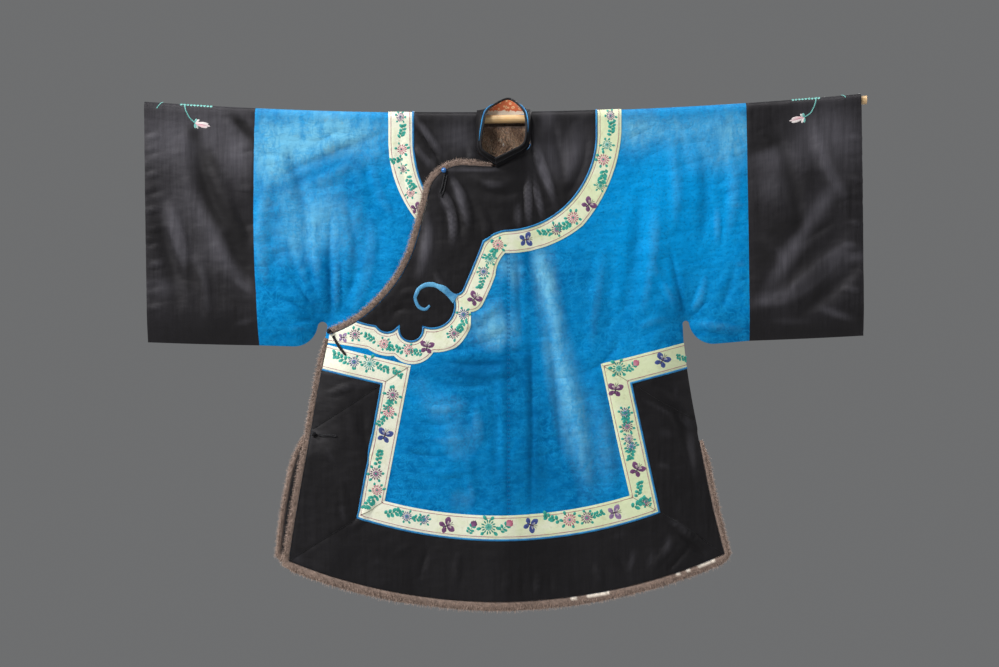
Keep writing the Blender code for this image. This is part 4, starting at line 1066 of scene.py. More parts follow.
class Sheet:
    """One hanging sheet: its triangles, which all pieces on it share, and where they hang."""

    def __init__(self, layer: Layer, pattern: Pattern, drape: Drape, rings: dict[str, np.ndarray]) -> None:
        """Work out the sheet's field of depths and its triangles.

        Args:
            layer: Which sheet.
            pattern: The outlines.
            drape: How it hangs.
            rings: The closed outline of each piece on it, by name.
        """
        self.layer = layer
        self.sign = 1 if layer is BACK else -1
        self.rings = rings
        self.low = np.array([-0.76, -0.012])
        count = np.array([round(1.52 / FIELD_STEP) + 1, round(1.08 / FIELD_STEP) + 1])
        self.count = count
        grid = np.stack(np.meshgrid(*(np.arange(n) for n in count), indexing="ij"), axis=-1) * FIELD_STEP + self.low
        self.depths, self.rises = (f.reshape(count) for f in drape.depth(layer, grid.reshape(-1, 2), pattern))
        self.flat, self.faces = self.divide(pattern.base(layer))
        self.centres = self.flat[self.faces].mean(axis=1)

    def depth_at(self, flat: np.ndarray, d: np.ndarray | None = None) -> np.ndarray:
        """Depths at flat points, or values of another field of the sheet, read between the field's own.

        Args:
            flat: The points.
            d: The other field's values.

        Returns:
            One value for each point.
        """
        at = np.clip((flat - self.low) / FIELD_STEP, 0, self.count - 1.001)
        i, j = np.floor(at).astype(int).T
        u, v = (at - np.floor(at)).T
        d = self.depths if d is None else d
        near = d[i, j] * (1 - v) + d[i, j + 1] * v
        return near * (1 - u) + (d[i + 1, j] * (1 - v) + d[i + 1, j + 1] * v) * u

    def hung(self, flat: np.ndarray) -> np.ndarray:
        """Where flat points hang, on the sheet's inner face.

        Args:
            flat: The points.

        Returns:
            Their places.
        """
        turn = np.minimum(flat[:, 1] / FOLD_RADIUS, math.pi / 2)
        z = rod_height(flat[:, 0]) + FOLD_RADIUS * np.cos(turn) - np.maximum(flat[:, 1] - FOLD_LENGTH, 0.0)
        return np.stack([flat[:, 0], self.sign * self.depth_at(flat), z], axis=1)

    def normals(self, flat: np.ndarray) -> np.ndarray:
        """Which way the sheet faces at flat points.

        Args:
            flat: The points.

        Returns:
            A unit way for each.
        """
        across, down = (self.hung(flat + s) - self.hung(flat - s) for s in np.eye(2) * 0.0016)
        normal = np.cross(across, down) * self.sign
        return normal / np.linalg.norm(normal, axis=1)[:, None]

    def place(self, flat: np.ndarray, offset: float | np.ndarray) -> np.ndarray:
        """Where flat points are on the sheet, moved out from its inner face."""
        flat = np.atleast_2d(flat)
        return self.hung(flat) + self.normals(flat) * np.broadcast_to(offset, len(flat))[:, None]

    def divide(self, base: np.ndarray) -> Mesh:
        """Triangles inside the sheet's outline, with every piece's outline among their edges.

        Args:
            base: The sheet's outline.

        Returns:
            Flat points and triangles.
        """
        loops = [along(ring, EDGE_STEP, closed=True) for ring in (base, *self.rings.values())]
        points = [tuple(p) for loop in loops for p in loop]
        edges, start = [], 0
        for loop in loops:
            n = len(loop)
            edges += [(start + i, start + (i + 1) % n) for i in range(n)]
            start += n
        taken = KDTree(sum(len(loop) * 2 for loop in loops))
        halfway = [(loop + np.roll(loop, -1, axis=0)) / 2 for loop in loops]
        for i, p in enumerate(q for pair in zip(loops, halfway) for path in pair for q in path):
            taken.insert((*p, 0.0), i)
        taken.balance()
        low, high = base.min(axis=0), base.max(axis=0)
        rows = np.arange(low[1], high[1], GRID * 0.866)
        free = []
        for k, drop in enumerate(rows):
            x = np.arange(low[0] + (k % 2) * GRID / 2, high[0], GRID)
            free.append(np.stack([x, np.full_like(x, drop)], axis=1))
        spots = np.concatenate(free)
        spots = spots[inside(base, spots)]
        points += [tuple(p) for p in spots if taken.find((*p, 0.0))[2] > GRID * 0.52]
        flat, _, faces, *_ = delaunay_2d_cdt([Vector(p) for p in points], edges, [], 0, 1e-5)
        flat_all, face_all = np.array([tuple(p) for p in flat]), np.array([f for f in faces if len(f) == 3])
        return flat_all, face_all[inside(base, flat_all[face_all].mean(axis=1))]

    def shell(
        self,
        name: str,
        low: float,
        high: float,
        finishes: Sequence[bpy.types.Material],
        tint: Callable[[np.ndarray], np.ndarray] | None = None,
    ) -> bpy.types.Object:
        """A piece of cloth inside its ring, closed, with its edges rolled under a little.

        Args:
            name: Its ring, and the piece's name.
            low: Its inner face's distance from the sheet's.
            high: Its outer face's.
            finishes: The outer finish, then the inner one if it has its own.
            tint: Colours of flat points, if it has its own.

        Returns:
            The piece.
        """
        faces = self.faces[inside(self.rings[name], self.centres)]
        used, faces = np.unique(faces, return_inverse=True)
        faces = faces.reshape(-1, 3)
        flat = self.flat[used]
        n = len(used)
        halves = np.concatenate([faces[:, [0, 1]], faces[:, [1, 2]], faces[:, [2, 0]]])
        code, back = halves[:, 0] * n + halves[:, 1], halves[:, 1] * n + halves[:, 0]
        rim = halves[~np.isin(code, back)]
        raised = np.full(n, high)
        raised[np.unique(rim)] -= min(EDGE_ROLL, (high - low) * 0.6)
        inner, normals = self.hung(flat), self.normals(flat)
        points = np.concatenate([inner + normals * raised[:, None], inner + normals * low])
        outward = faces[:, ::-1] if self.sign < 0 else faces
        a, b = (rim[:, ::-1] if self.sign < 0 else rim).T
        sides = np.concatenate([np.stack([b, a, a + n], axis=1), np.stack([b, a + n, b + n], axis=1)])
        whole = np.concatenate([outward, outward[:, ::-1] + n, sides])
        which = np.zeros(len(whole), int)
        if len(finishes) > 1:
            which[len(outward) : 2 * len(outward)] = 1
        cut = np.concatenate([flat, flat])
        colours = None if tint is None else np.concatenate([tint(flat)] * 2)
        return build(name, points, whole, finishes, cut, colours, which)

    def strip(self, path: np.ndarray, section: Sequence[tuple[float, float]]) -> Mesh:
        """A ribbon or piping laid along a path.

        Args:
            path: Flat points.
            section: Its corners: distance to the left of the path, and from the sheet's inner face.

        Returns:
            Its points and triangles.
        """
        path = evenly(path, EDGE_STEP * 0.8)
        sideways = shifted(path, 1.0) - path
        rings = np.stack([self.place(path + sideways * aside, away) for aside, away in section], axis=1)
        return skin(rings, self.sign > 0)


# -------------------------------------------------------------------------------------------- finishes


Socket = bpy.types.NodeSocket
Scale = float | tuple[float, ...]


class Graph:
    """The nodes of one finish."""

    def __init__(self, name: str) -> None:
        """Start a material of this name.

        Args:
            name: The material's name.
        """
        self.material = bpy.data.materials.new(name)
        self.material.use_nodes = True
        self.tree = self.material.node_tree
        self.shader = self.tree.nodes["Principled BSDF"]

    def feed(self, socket: Socket, value: object) -> None:
        """Link or set a socket.

        Args:
            socket: What is fed.
            value: A socket to link, or a value to set.
        """
        if isinstance(value, Socket):
            self.tree.links.new(value, socket)
        elif isinstance(value, tuple) and socket.type == "RGBA":
            socket.default_value = (*value[:3], 1.0)
        else:
            socket.default_value = value

    def add(self, kind: str, settings: dict[str, object] | None = None, **inputs: object) -> bpy.types.Node:
        """Add a node.

        Args:
            kind: Its type, without the words that all types start with.
            settings: Its own options.
            inputs: Values or sockets, with _ for a blank in a name.

        Returns:
            The node.
        """
        node = self.tree.nodes.new("ShaderNode" + kind)
        for name, value in (settings or {}).items():
            setattr(node, name, value)
        for name, value in inputs.items():
            self.feed(node.inputs[name.replace("_", " ")], value)
        return node

    def maths(self, operation: str, *values: object) -> Socket:
        """A Math node's result.

        Args:
            operation: What it does.
            values: Numbers or sockets.

        Returns:
            Its socket.
        """
        node = self.add("Math", {"operation": operation})
        for socket, value in zip(node.inputs, values):
            self.feed(socket, value)
        return node.outputs[0]

    def times(self, a: object, b: object) -> Socket:
        """Two values multiplied."""
        return self.maths("MULTIPLY", a, b)

    def times_add(self, a: object, b: object, c: object) -> Socket:
        """Two values multiplied, and a third added."""
        return self.maths("MULTIPLY_ADD", a, b, c)

    def parts(self, vector: Socket) -> tuple[Socket, ...]:
        """The x, y and z of a vector."""
        return tuple(self.add("SeparateXYZ", Vector=vector).outputs)

    def mix(self, share: object, a: object, b: object) -> Socket:
        """Two colours mixed by a share.

        Args:
            share: How much of the second.
            a: The first.
            b: The second.

        Returns:
            The mixed colour.
        """
        node = self.add("Mix", {"data_type": "RGBA"})
        for index, value in ((0, share), (6, a), (7, b)):
            self.feed(node.inputs[index], value)
        return node.outputs[2]

    def over(self, base: object, share: object, strength: object, colour: Colour) -> Socket:
        """A colour laid over another, as much as a share times a strength."""
        return self.mix(self.times(share, strength), base, colour)

    def ramp(self, value: object, low: float, high: float) -> Socket:
        """0 to 1 with soft ends as a value goes from low to high."""
        node = self.add("MapRange", {"interpolation_type": "SMOOTHSTEP"}, Value=value, From_Min=low, From_Max=high)
        return node.outputs["Result"]

    def cut(self) -> Socket:
        """Places on the flat cloth, in metres."""
        return self.add("UVMap", {"uv_map": "cut"}).outputs[0]

    def place(self) -> Socket:
        """Places on the object, in metres."""
        return self.add("TexCoord").outputs["Object"]

    def colour(self) -> Socket:
        """The colour attribute that the mesh carries."""
        return self.add("Attribute", {"attribute_name": "tint"}).outputs["Color"]

    def tint(self) -> tuple[Socket, ...]:
        """The three shares in that attribute."""
        return tuple(self.add("SeparateColor", Color=self.colour()).outputs)

    def scaled(self, vector: object, scale: Scale, turn: float = 0.0) -> Socket:
        """Places times a scale, turned about Z; Z keeps its size if its scale is left out.

        Args:
            vector: The places.
            scale: One number, or one for each axis.
            turn: The turn, in radians.

        Returns:
            The new places.
        """
        node = self.add("Mapping", Vector=vector)
        sizes = scale if isinstance(scale, tuple) else (scale,) * 3
        node.inputs["Scale"].default_value = (*sizes, 1.0)[:3]
        node.inputs["Rotation"].default_value = (0.0, 0.0, turn)
        return node.outputs[0]

    def noise(self, vector: object, scale: float, detail: float, rough: float = 0.5) -> Socket:
        """Soft random grey, about 0.3 to 0.7."""
        return self.add("TexNoise", Vector=vector, Scale=scale, Detail=detail, Roughness=rough).outputs["Fac"]

    def grain(self, vector: object, scale: Scale, detail: float = 1.0, rough: float = 0.5, turn: float = 0.0) -> Socket:
        """Such a grey with its grains scaled, so many to a metre."""
        return self.noise(self.scaled(vector, scale, turn), 1.0, detail, rough)

    def patches(self, vector: object, scale: Scale, detail: float, rough: float, low: float, high: float) -> Socket:
        """0 to 1 as such a grain goes from low to high."""
        return self.ramp(self.grain(vector, scale, detail, rough), low, high)

    def bumps(self, *rows: tuple[Socket, float, float]) -> Socket:
        """A normal bent by heights, one over the other.

        Args:
            rows: Height, strength, and full height in metres.

        Returns:
            The normal.
        """
        normal = None
        for height, strength, distance in rows:
            node = self.add("Bump", Height=height, Strength=strength, Distance=distance)
            if normal is not None:
                self.feed(node.inputs["Normal"], normal)
            normal = node.outputs[0]
        return normal

    def finish(self, base: object, rough: object, normal: Socket | None = None, **inputs: object) -> bpy.types.Material:
        """Feed the shader and hand over the material.

        Args:
            base: Its colour.
            rough: Its roughness.
            normal: Its bent normal.
            inputs: The shader's other inputs, with _ for a blank in a name.

        Returns:
            The material.
        """
        for name, value in {"Base_Color": base, "Roughness": rough, "Normal": normal, **inputs}.items():
            if value is not None:
                self.feed(self.shader.inputs[name.replace("_", " ")], value)
        return self.material


@dataclass(frozen=True)
class AzureSilk:
    """Azure damask: tone on tone florets and scrolls, faded pale with wear, with painted highlights on crease rises and
    painted shade where the mesh's tint says.
    """

    ground: Colour = (0.001, 0.210, 0.530)
    deep: Colour = (0.000, 0.125, 0.350)
    figure: Colour = (0.008, 0.290, 0.640)
    rich: Colour = (0.000, 0.350, 0.830)
    # The faded blue of wear, which the painted highlights on crease rises also take
    wear_and_painted_light: Colour = (0.165, 0.480, 0.680)
    stain: Colour = (0.190, 0.280, 0.300)
    specks: Colour = (0.000, 0.090, 0.270)
    shade: Colour = (0.000, 0.060, 0.190)
    repeat: float = 0.030

    def damask(self, g: Graph, cut: Socket) -> Socket:
        """The woven figure, 0 or 1: a floret with curled petals in each cell, and cloud scrolls between.

        Args:
            g: The finish's nodes.
            cut: Places on the flat cloth.

        Returns:
            The figure's socket.
        """
        spots = g.scaled(cut, (1 / self.repeat, 1 / self.repeat))
        cell = g.add("TexVoronoi", {"feature": "F1"}, Vector=spots, Scale=1.0, Randomness=0.55)
        off, reach = (
            g.add("VectorMath", {"operation": "SUBTRACT"}), g.add("VectorMath", {"operation": "LENGTH"})
        )
        g.feed(off.inputs[0], spots)
        g.feed(off.inputs[1], cell.outputs["Position"])
        g.feed(reach.inputs[0], off.outputs["Vector"])
        across, up, _ = g.parts(off.outputs["Vector"])
        angle, reach = g.maths("ARCTAN2", up, across), reach.outputs["Value"]
        edge = g.times_add(g.maths("COSINE", g.times(angle, 6.0)), 0.045, 0.27)
        curl = g.times_add(reach, 9.0, g.times(angle, 0.15915 * 2))
        floret = g.ramp(g.maths("SUBTRACT", edge, reach), -0.015, 0.015)
        petals = g.times(floret, g.ramp(g.maths("PINGPONG", curl, 0.5), 0.12, 0.22))
        lines = g.maths("PINGPONG", g.times(g.noise(spots, 1.15, 1.0, 0.4), 7.0), 0.5)
        scroll = g.maths("SUBTRACT", 1.0, g.ramp(lines, 0.40, 0.30))
        scroll = g.times(scroll, g.ramp(g.maths("SUBTRACT", reach, edge), 0.03, 0.07))
        return g.maths("MAXIMUM", petals, g.times(scroll, g.ramp(g.noise(spots, 0.55, 0.0), 0.42, 0.56)))

    def paint(self) -> bpy.types.Material:
        """Build the material.

        Returns:
            The material.
        """
        g = Graph("azure_damask")
        cut, (wear_and_painted_light, shade, rich) = g.cut(), g.tint()
        figure = self.damask(g, cut)
        base = g.mix(g.patches(cut, (9, 5), 3, 0.6, 0.34, 0.66), self.deep, self.ground)
        base = g.over(base, g.patches(cut, (60, 60), 4, 0.7, 0.36, 0.64), 0.55, self.figure)
        base = g.over(base, rich, 0.55, self.rich)
        base = g.over(base, figure, 0.50, self.figure)
        base = g.over(base, g.patches(cut, (170, 170), 3, 0.7, 0.50, 0.66), 0.40, self.specks)
        # The tint's first share is wear with painted highlights on the creases' rises; it pulls the colour to the faded
        # blue
        wear_and_highlight = g.times(wear_and_painted_light, g.times_add(g.patches(cut, (55, 22), 5, 0.72, 0.30, 0.66), 0.8, 0.35))
        wear_and_highlight = g.times(wear_and_highlight, g.times_add(figure, -0.30, 1.0))
        base = g.mix(g.maths("MINIMUM", wear_and_highlight, 0.92), base, self.wear_and_painted_light)
        base = g.over(base, g.patches(cut, (34, 34), 4, 0.65, 0.60, 0.74), g.times(wear_and_painted_light, 0.55), self.stain)
        # Painted shade: the tint's second share darkens the silk in hollows and shaded patches
        base = g.over(base, shade, 0.65, self.shade)
        weave = g.maths("ADD", g.grain(cut, (260, 2600)), g.grain(cut, (2600, 260)))
        heights = [(weave, 0.28, 0.0006), (g.grain(cut, (45, 95), 3, 0.6, 0.25), 0.45, 0.0040)]
        for scale, turn, high in (((9, 19), 0.25, 0.014), ((16, 13), -0.5, 0.009)):
            swell = g.maths("SUBTRACT", g.grain(cut, scale, 1.5, 0.5, turn), 0.5)
            heights.append((g.maths("ABSOLUTE", swell), 0.55, high))
        return g.finish(
            base, g.times_add(figure, -0.10, 0.54), g.bumps(*heights, (figure, 0.16, 0.0005)), Sheen_Weight=0.03,
            Sheen_Roughness=0.4, Sheen_Tint=(0.25, 0.65, 1.0), Specular_IOR_Level=0.55, Specular_Tint=(0.03, 0.50, 1.0),
        )


@dataclass(frozen=True)
class BlackSatin:
    """Black satin with fine upright ribs and short puckers; the mesh's tint says where a painted grey sheen lies on it
    and where painted shade darkens it.
    """

    name: str = "black_satin_cloth"
    dark: Colour = (0.0030, 0.0027, 0.0030)
    bloom: Colour = (0.0085, 0.0080, 0.0092)
    # Colour of the painted sheen
    painted_sheen: Colour = (0.100, 0.096, 0.112)
    ribs: float = 1.0
    gloss: float = 0.24

    def paint(self) -> bpy.types.Material:
        """Build the material.

        Returns:
            The material.
        """
        g = Graph(self.name)
        cut, (painted_sheen, painted_shade, _) = g.cut(), g.tint()
        threads, bands = g.grain(cut, (900, 26), 2, 0.6), g.grain(cut, (150, 7), 3, 0.6)
        light = g.maths("ADD", g.times(threads, 0.5), g.times(bands, 0.5))
        light = g.maths("ADD", light, g.times(g.grain(cut, (9, 6), 3, 0.6), 0.6))
        base = g.mix(g.ramp(light, 0.55, 1.05), self.dark, self.bloom)
        # Painted sheen: the tint's first share lifts the colour towards a grey highlight
        base = g.over(base, painted_sheen, g.times_add(bands, 1.0, g.times_add(threads, 0.8, 0.1)), self.painted_sheen)
        # Painted shade: the tint's second share darkens the colour almost to black
        base = g.over(base, painted_shade, 0.9, (0.0012, 0.0010, 0.0012))
        normal = g.bumps(
            (threads, 0.22 * self.ribs, 0.0005), (g.grain(cut, (30, 75), 2, turn=0.12), 0.12 * self.ribs, 0.0040),
            (g.grain(cut, (14, 20), 2, turn=0.5), 0.35, 0.0120),
        )
        return g.finish(
            base, g.times_add(bands, 0.16, g.times_add(painted_shade, 0.22, 0.42)), normal, Sheen_Weight=0.03,
            Sheen_Roughness=0.35, Sheen_Tint=(0.72, 0.70, 0.85), Specular_IOR_Level=self.gloss,
            Specular_Tint=(1.0, 0.96, 1.0),
        )


@dataclass(frozen=True)
class PaleSatin:
    """The embroidered bands' satin: cream on the wearer's right, pale green on the left and at the hem."""

    cream: Colour = (0.790, 0.800, 0.650)
    green: Colour = (0.640, 0.720, 0.430)

    def paint(self) -> bpy.types.Material:
        """Build the material.

        Returns:
            The material.
        """
        g = Graph("pale_satin_band")
        cut = g.cut()
        where = g.times_add(g.parts(cut)[0], 1.5, g.times_add(g.grain(cut, (22, 22), 3, 0.6), 1.9, -0.5))
        base = g.mix(g.ramp(where, 0.05, 0.85), self.cream, self.green)
        twill = g.grain(cut, (350, 1900), turn=0.6)
        base = g.over(base, twill, 0.30, (0.86, 0.84, 0.66))
        base = g.over(base, g.patches(cut, (75, 75), 4, 0.7, 0.52, 0.72), 0.35, (0.47, 0.40, 0.24))
        normal = g.bumps((twill, 0.30, 0.0005), (g.grain(cut, (110, 110), 2), 0.30, 0.0020))
        return g.finish(base, 0.50, normal, Specular_IOR_Level=0.35, Sheen_Weight=0.15)


@dataclass(frozen=True)
class Piping:
    """Blue silk piping with a fine slanting rib."""

    name: str
    colour: Colour
    shade: Colour

    def paint(self) -> bpy.types.Material:
        """Build the material.

        Returns:
            The material.
        """
        g = Graph(self.name)
        place = g.place()
        base = g.mix(g.patches(place, 60, 3, 0.6, 0.35, 0.65), self.shade, self.colour)
        ribs = g.bumps((g.grain(place, 900), 0.5, 0.0006))
        return g.finish(base, 0.5, ribs, Sheen_Weight=0.2, Specular_IOR_Level=0.3)


@dataclass(frozen=True)
class Stitched:
    """Embroidery silk in the colours that the mesh carries, with the stitches' fine grain."""

    def paint(self) -> bpy.types.Material:
        """Build the material.

        Returns:
            The material.
        """
        g = Graph("embroidery_silk")
        grain = g.grain(g.place(), (2600, 2600, 900))
        base = g.over(g.colour(), grain, 0.30, (0.0, 0.0, 0.0))
        return g.finish(base, 0.45, g.bumps((grain, 0.5, 0.0004)), Sheen_Weight=0.08, Specular_IOR_Level=0.3)


@dataclass(frozen=True)
class Fur:
    """Brown fur in the colours that the strands carry, from dark roots to pale tips."""

    def paint(self) -> bpy.types.Material:
        """Build the material.

        Returns:
            The material.
        """
        g = Graph("brown_fur_hair")
        place = g.place()
        base = g.over(g.colour(), g.patches(place, 160, 3, 0.6, 0.36, 0.64), 0.22, (0.060, 0.042, 0.034))
        normal = g.bumps((g.grain(place, (1500, 1500, 300), 2), 0.6, 0.0010))
        return g.finish(
            base, 0.72, normal, Sheen_Weight=0.35, Sheen_Roughness=0.5, Sheen_Tint=(0.9, 0.8, 0.7),
            Specular_IOR_Level=0.25,
        )


@dataclass(frozen=True)
class FurLining:
    """The fur inside the cloth, seen from the hem and the sleeve ends: short dark strokes down the skin."""

    skins: tuple[float, float] = (0.14, 0.20)

    def paint(self) -> bpy.types.Material:
        """Build the material.

        Returns:
            The material.
        """
        g = Graph("fur_lining_inside")
        cut = g.cut()
        strokes, clump = g.grain(cut, (1100, 160), 3, 0.65), g.grain(cut, (60, 30), 3, 0.6)
        base = g.mix(g.ramp(strokes, 0.35, 0.68), (0.045, 0.030, 0.024), (0.250, 0.180, 0.140))
        base = g.mix(g.ramp(clump, 0.45, 0.70), base, (0.100, 0.068, 0.052))
        wide, long = self.skins
        joints = [g.maths("PINGPONG", part, 0.5) for part in g.parts(g.scaled(cut, (1 / wide, 1 / long)))[:2]]
        base = g.over(base, g.ramp(g.maths("MINIMUM", *joints), 0.020, 0.004), 0.7, (0.03, 0.02, 0.016))
        normal = g.bumps((strokes, 0.9, 0.0030), (clump, 0.6, 0.0100))
        return g.finish(base, 0.85, normal, Sheen_Weight=0.4, Specular_IOR_Level=0.2)


@dataclass(frozen=True)
class PatternedSilk:
    """The collar's lining: pale at its foot, then orange-red with a small woven pattern."""

    def paint(self) -> bpy.types.Material:
        """Build the material.

        Returns:
            The material.
        """
        g = Graph("patterned_lining_silk")
        place = g.place()
        cell = g.add("TexVoronoi", {"feature": "F1"}, Vector=g.scaled(place, 150), Scale=1.0).outputs["Distance"]
        base = g.mix(g.ramp(cell, 0.45, 0.30), (0.560, 0.130, 0.045), (0.800, 0.480, 0.250))
        base = g.mix(g.ramp(cell, 0.18, 0.10), base, (0.340, 0.040, 0.030))
        level = g.times_add(g.grain(place, 260, 3), 0.010, g.parts(place)[2])
        base = g.mix(g.ramp(level, 0.0225, 0.0205), base, (0.760, 0.680, 0.560))
        return g.finish(base, 0.55, g.bumps((g.grain(place, 2200), 0.4, 0.0005)), Sheen_Weight=0.2)


@dataclass(frozen=True)
class Bamboo:
    """Pale bamboo, streaked along its length, darker at the joints."""

    def paint(self) -> bpy.types.Material:
        """Build the material.

        Returns:
            The material.
        """
        g = Graph("bamboo_pole")
        place = g.place()
        streak = g.grain(place, (7, 420, 420), 3, 0.6)
        base = g.mix(g.ramp(streak, 0.32, 0.70), (0.640, 0.400, 0.180), (0.880, 0.620, 0.330))
        base = g.mix(g.patches(place, (18, 30, 30), 3, 0.6, 0.50, 0.72), base, (0.700, 0.420, 0.180))
        x = g.parts(place)[0]
        away = [g.maths("ABSOLUTE", g.maths("SUBTRACT", x, joint)) for joint in ROD_JOINTS]
        near = g.ramp(reduce(partial(g.maths, "MINIMUM"), away), 0.0050, 0.0005)
        base = g.mix(near, base, (0.190, 0.095, 0.045))
        return g.finish(base, 0.42, g.bumps((streak, 0.25, 0.0008)), Specular_IOR_Level=0.45, Coat_Weight=0.15)


@dataclass(frozen=True)
class Cord:
    """Black braided silk cord."""

    def paint(self) -> bpy.types.Material:
        """Build the material.

        Returns:
            The material.
        """
        g = Graph("black_braid")
        braid = g.grain(g.place(), 1500)
        base = g.mix(g.ramp(braid, 0.35, 0.65), (0.003, 0.003, 0.004), (0.013, 0.012, 0.015))
        return g.finish(base, 0.55, g.bumps((braid, 0.8, 0.0008)), Sheen_Weight=0.05, Specular_IOR_Level=0.25)


@dataclass(frozen=True)
class BlueGlass:
    """The ball button: deep blue, glossy, paler towards its rim."""

    def paint(self) -> bpy.types.Material:
        """Build the material.

        Returns:
            The material.
        """
        g = Graph("blue_ball_glass")
        rim = g.add("LayerWeight", Blend=0.45).outputs["Facing"]
        base = g.mix(g.grain(g.place(), 500, 2), (0.010, 0.080, 0.300), (0.030, 0.200, 0.520))
        return g.finish(base, g.times_add(rim, 0.15, 0.06), Coat_Weight=0.6, Specular_IOR_Level=0.6)


class Finishes:
    """Every finish of the robe, painted once."""

    def __init__(self) -> None:
        """Paint them."""
        self.azure = AzureSilk().paint()
        self.satin = BlackSatin().paint()
        self.cuff = BlackSatin(
            "black_satin_cuff", (0.0040, 0.0036, 0.0042), (0.0140, 0.0130, 0.0155), ribs=1.2, gloss=0.30
        ).paint()
        self.pale = PaleSatin().paint()
        self.piping = Piping("blue_silk_piping", (0.012, 0.220, 0.480), (0.006, 0.130, 0.330)).paint()
        self.scroll = Piping("pale_blue_piping", (0.110, 0.370, 0.600), (0.040, 0.210, 0.410)).paint()
        self.stitched = Stitched().paint()
        self.fur = Fur().paint()
        self.inside = FurLining().paint()
        self.patterned = PatternedSilk().paint()
        self.bamboo = Bamboo().paint()
        self.cord = Cord().paint()
        self.glass = BlueGlass().paint()


# ---------------------------------------------------------------------------------------- the robe's parts


def replaced(piece: bpy.types.Object, node: str, slot: str) -> bpy.types.Object:
    """Let a piece stand for the solid of that name, which is hidden.

    Args:
        piece: The piece.
        node: The solid's name.
        slot: The record's material slot; not used.

    Returns:
        The piece, renamed after the solid.
    """
    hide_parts(node)
    piece.name = node + "_cloth"
    return piece


@dataclass
class WearAndPaintedLight:
    """Where cloth is pale (wear on the silk, painted sheen on the satin), darkened by painted shade, or rich in colour:
    x, z, two radii, turn in degrees and strength.
    """

    pale: tuple[Crease, ...] = (
        (-400, -41, 95, 60, 10, 0.8), (-300, -36, 70, 40, 0, 0.85), (-435, -128, 50, 70, 0, 0.34),
        (-338, -190, 55, 70, 20, 0.5), (-400, -230, 50, 50, 0, 0.4), (-455, -60, 30, 60, 0, 0.5),
        (333, -20, 120, 28, 0, 0.52), (400, -70, 60, 30, 0, 0.3), (254, -26, 30, 34, 0, 0.5),
        (448, -30, 34, 50, 0, 0.55), (77, -306, 20, 60, 8, 0.85), (10, -290, 20, 34, 14, 0.7),
        (-14, -414, 34, 34, -30, 0.85), (98, -450, 24, 80, 4, 0.6), (147, -650, 30, 110, 4, 0.34),
        (121, -561, 22, 90, 4, 0.32), (-82, -632, 46, 50, 0, 0.32), (-82, -738, 30, 30, 0, 0.34),
        (200, -650, 26, 80, 0, 0.28), (-161, -508, 36, 30, 0, 0.25), (-120, -560, 60, 24, 10, 0.25),
        (-30, -395, 50, 40, 30, 0.2), (-74, -490, 60, 20, 4, 0.36),
    )
    # Painted shade: darker patches where the silk lies in shade
    shade: tuple[Crease, ...] = (
        (-345, -95, 110, 16, 24, 0.5), (-290, -150, 40, 60, 0, 0.25), (-74, -488, 92, 26, 4, 1.0),
        (-40, -560, 60, 90, 0, 0.3), (60, -600, 24, 150, 2, 0.45), (4, -560, 6, 300, 0, 0.6),
        (46, -500, 8, 240, 1, 0.5), (-170, -600, 40, 80, 10, 0.25), (150, -350, 60, 90, 0, 0.18),
        (310, -300, 60, 60, 0, 0.2), (-380, -340, 60, 60, 0, 0.25), (30, -700, 120, 50, 0, 0.3),
        (-345, -340, 14, 90, 4, 0.35), (345, -330, 12, 90, -6, 0.35), (0, -710, 240, 80, 0, 0.28),
    )
    rich: tuple[Crease, ...] = (
        (400, -165, 90, 120, 0, 1.0), (300, -150, 90, 90, 0, 0.9), (320, -260, 60, 70, 0, 0.8),
        (240, -260, 70, 120, 0, 0.8), (-270, -230, 50, 70, 0, 0.45), (120, -400, 60, 60, 0, 0.2),
    )

    def tint(self, flat: np.ndarray, back: bool = False) -> np.ndarray:
        """Pale, painted shade and rich shares for flat points: the pale share is wear on the silk and painted sheen on
        the satin.

        Args:
            flat: Flat points.
            back: Whether they are on the back, which has less wear, painted shade and rich colour, and is mirrored.

        Returns:
            Rows of three shares.
        """
        x = (-flat[:, 0] if back else flat[:, 0]) / MM
        z = (rod_height(flat[:, 0]) - flat[:, 1] + FOLD_LENGTH) / MM
        shares = []
        for table in (self.pale, self.shade, self.rich):
            total = np.zeros(len(x))
            for x0, z0, wide, tall, turn, strength in table:
                c, s = math.cos(math.radians(turn)), math.sin(math.radians(turn))
                u, v = (x - x0) * c + (z - z0) * s, (z - z0) * c - (x - x0) * s
                total = np.maximum(total, 0) + strength * np.exp(-((u / wide) ** 2) - (v / tall) ** 2)
            shares.append(np.clip(total * (0.7 if back else 1.0), 0.0, 1.0))
        return np.stack(shares, axis=1)

    def lit(self, sheet: Sheet, up: float, down: float, flat: np.ndarray) -> np.ndarray:
        """The shares with painted highlights on its creases' rises and painted shade in their hollows.

        Args:
            sheet: The sheet.
            up: How much painted highlight a rise adds.
            down: How much painted shade a hollow adds.
            flat: Flat points on it.

        Returns:
            Rows of three shares.
        """
        shares = self.tint(flat, sheet.layer is BACK)
        rise = sheet.depth_at(flat, sheet.rises) / 0.0030
        # Painted highlight on the creases' rises, and painted shade in their hollows
        shares[:, 0] += up * np.clip(rise, 0.0, 1.0) ** 1.6 - 0.6 * shares[:, 1]
        shares[:, 1] += down * np.clip(-rise, 0.0, 1.0)
        return np.clip(shares, 0.0, 1.0)
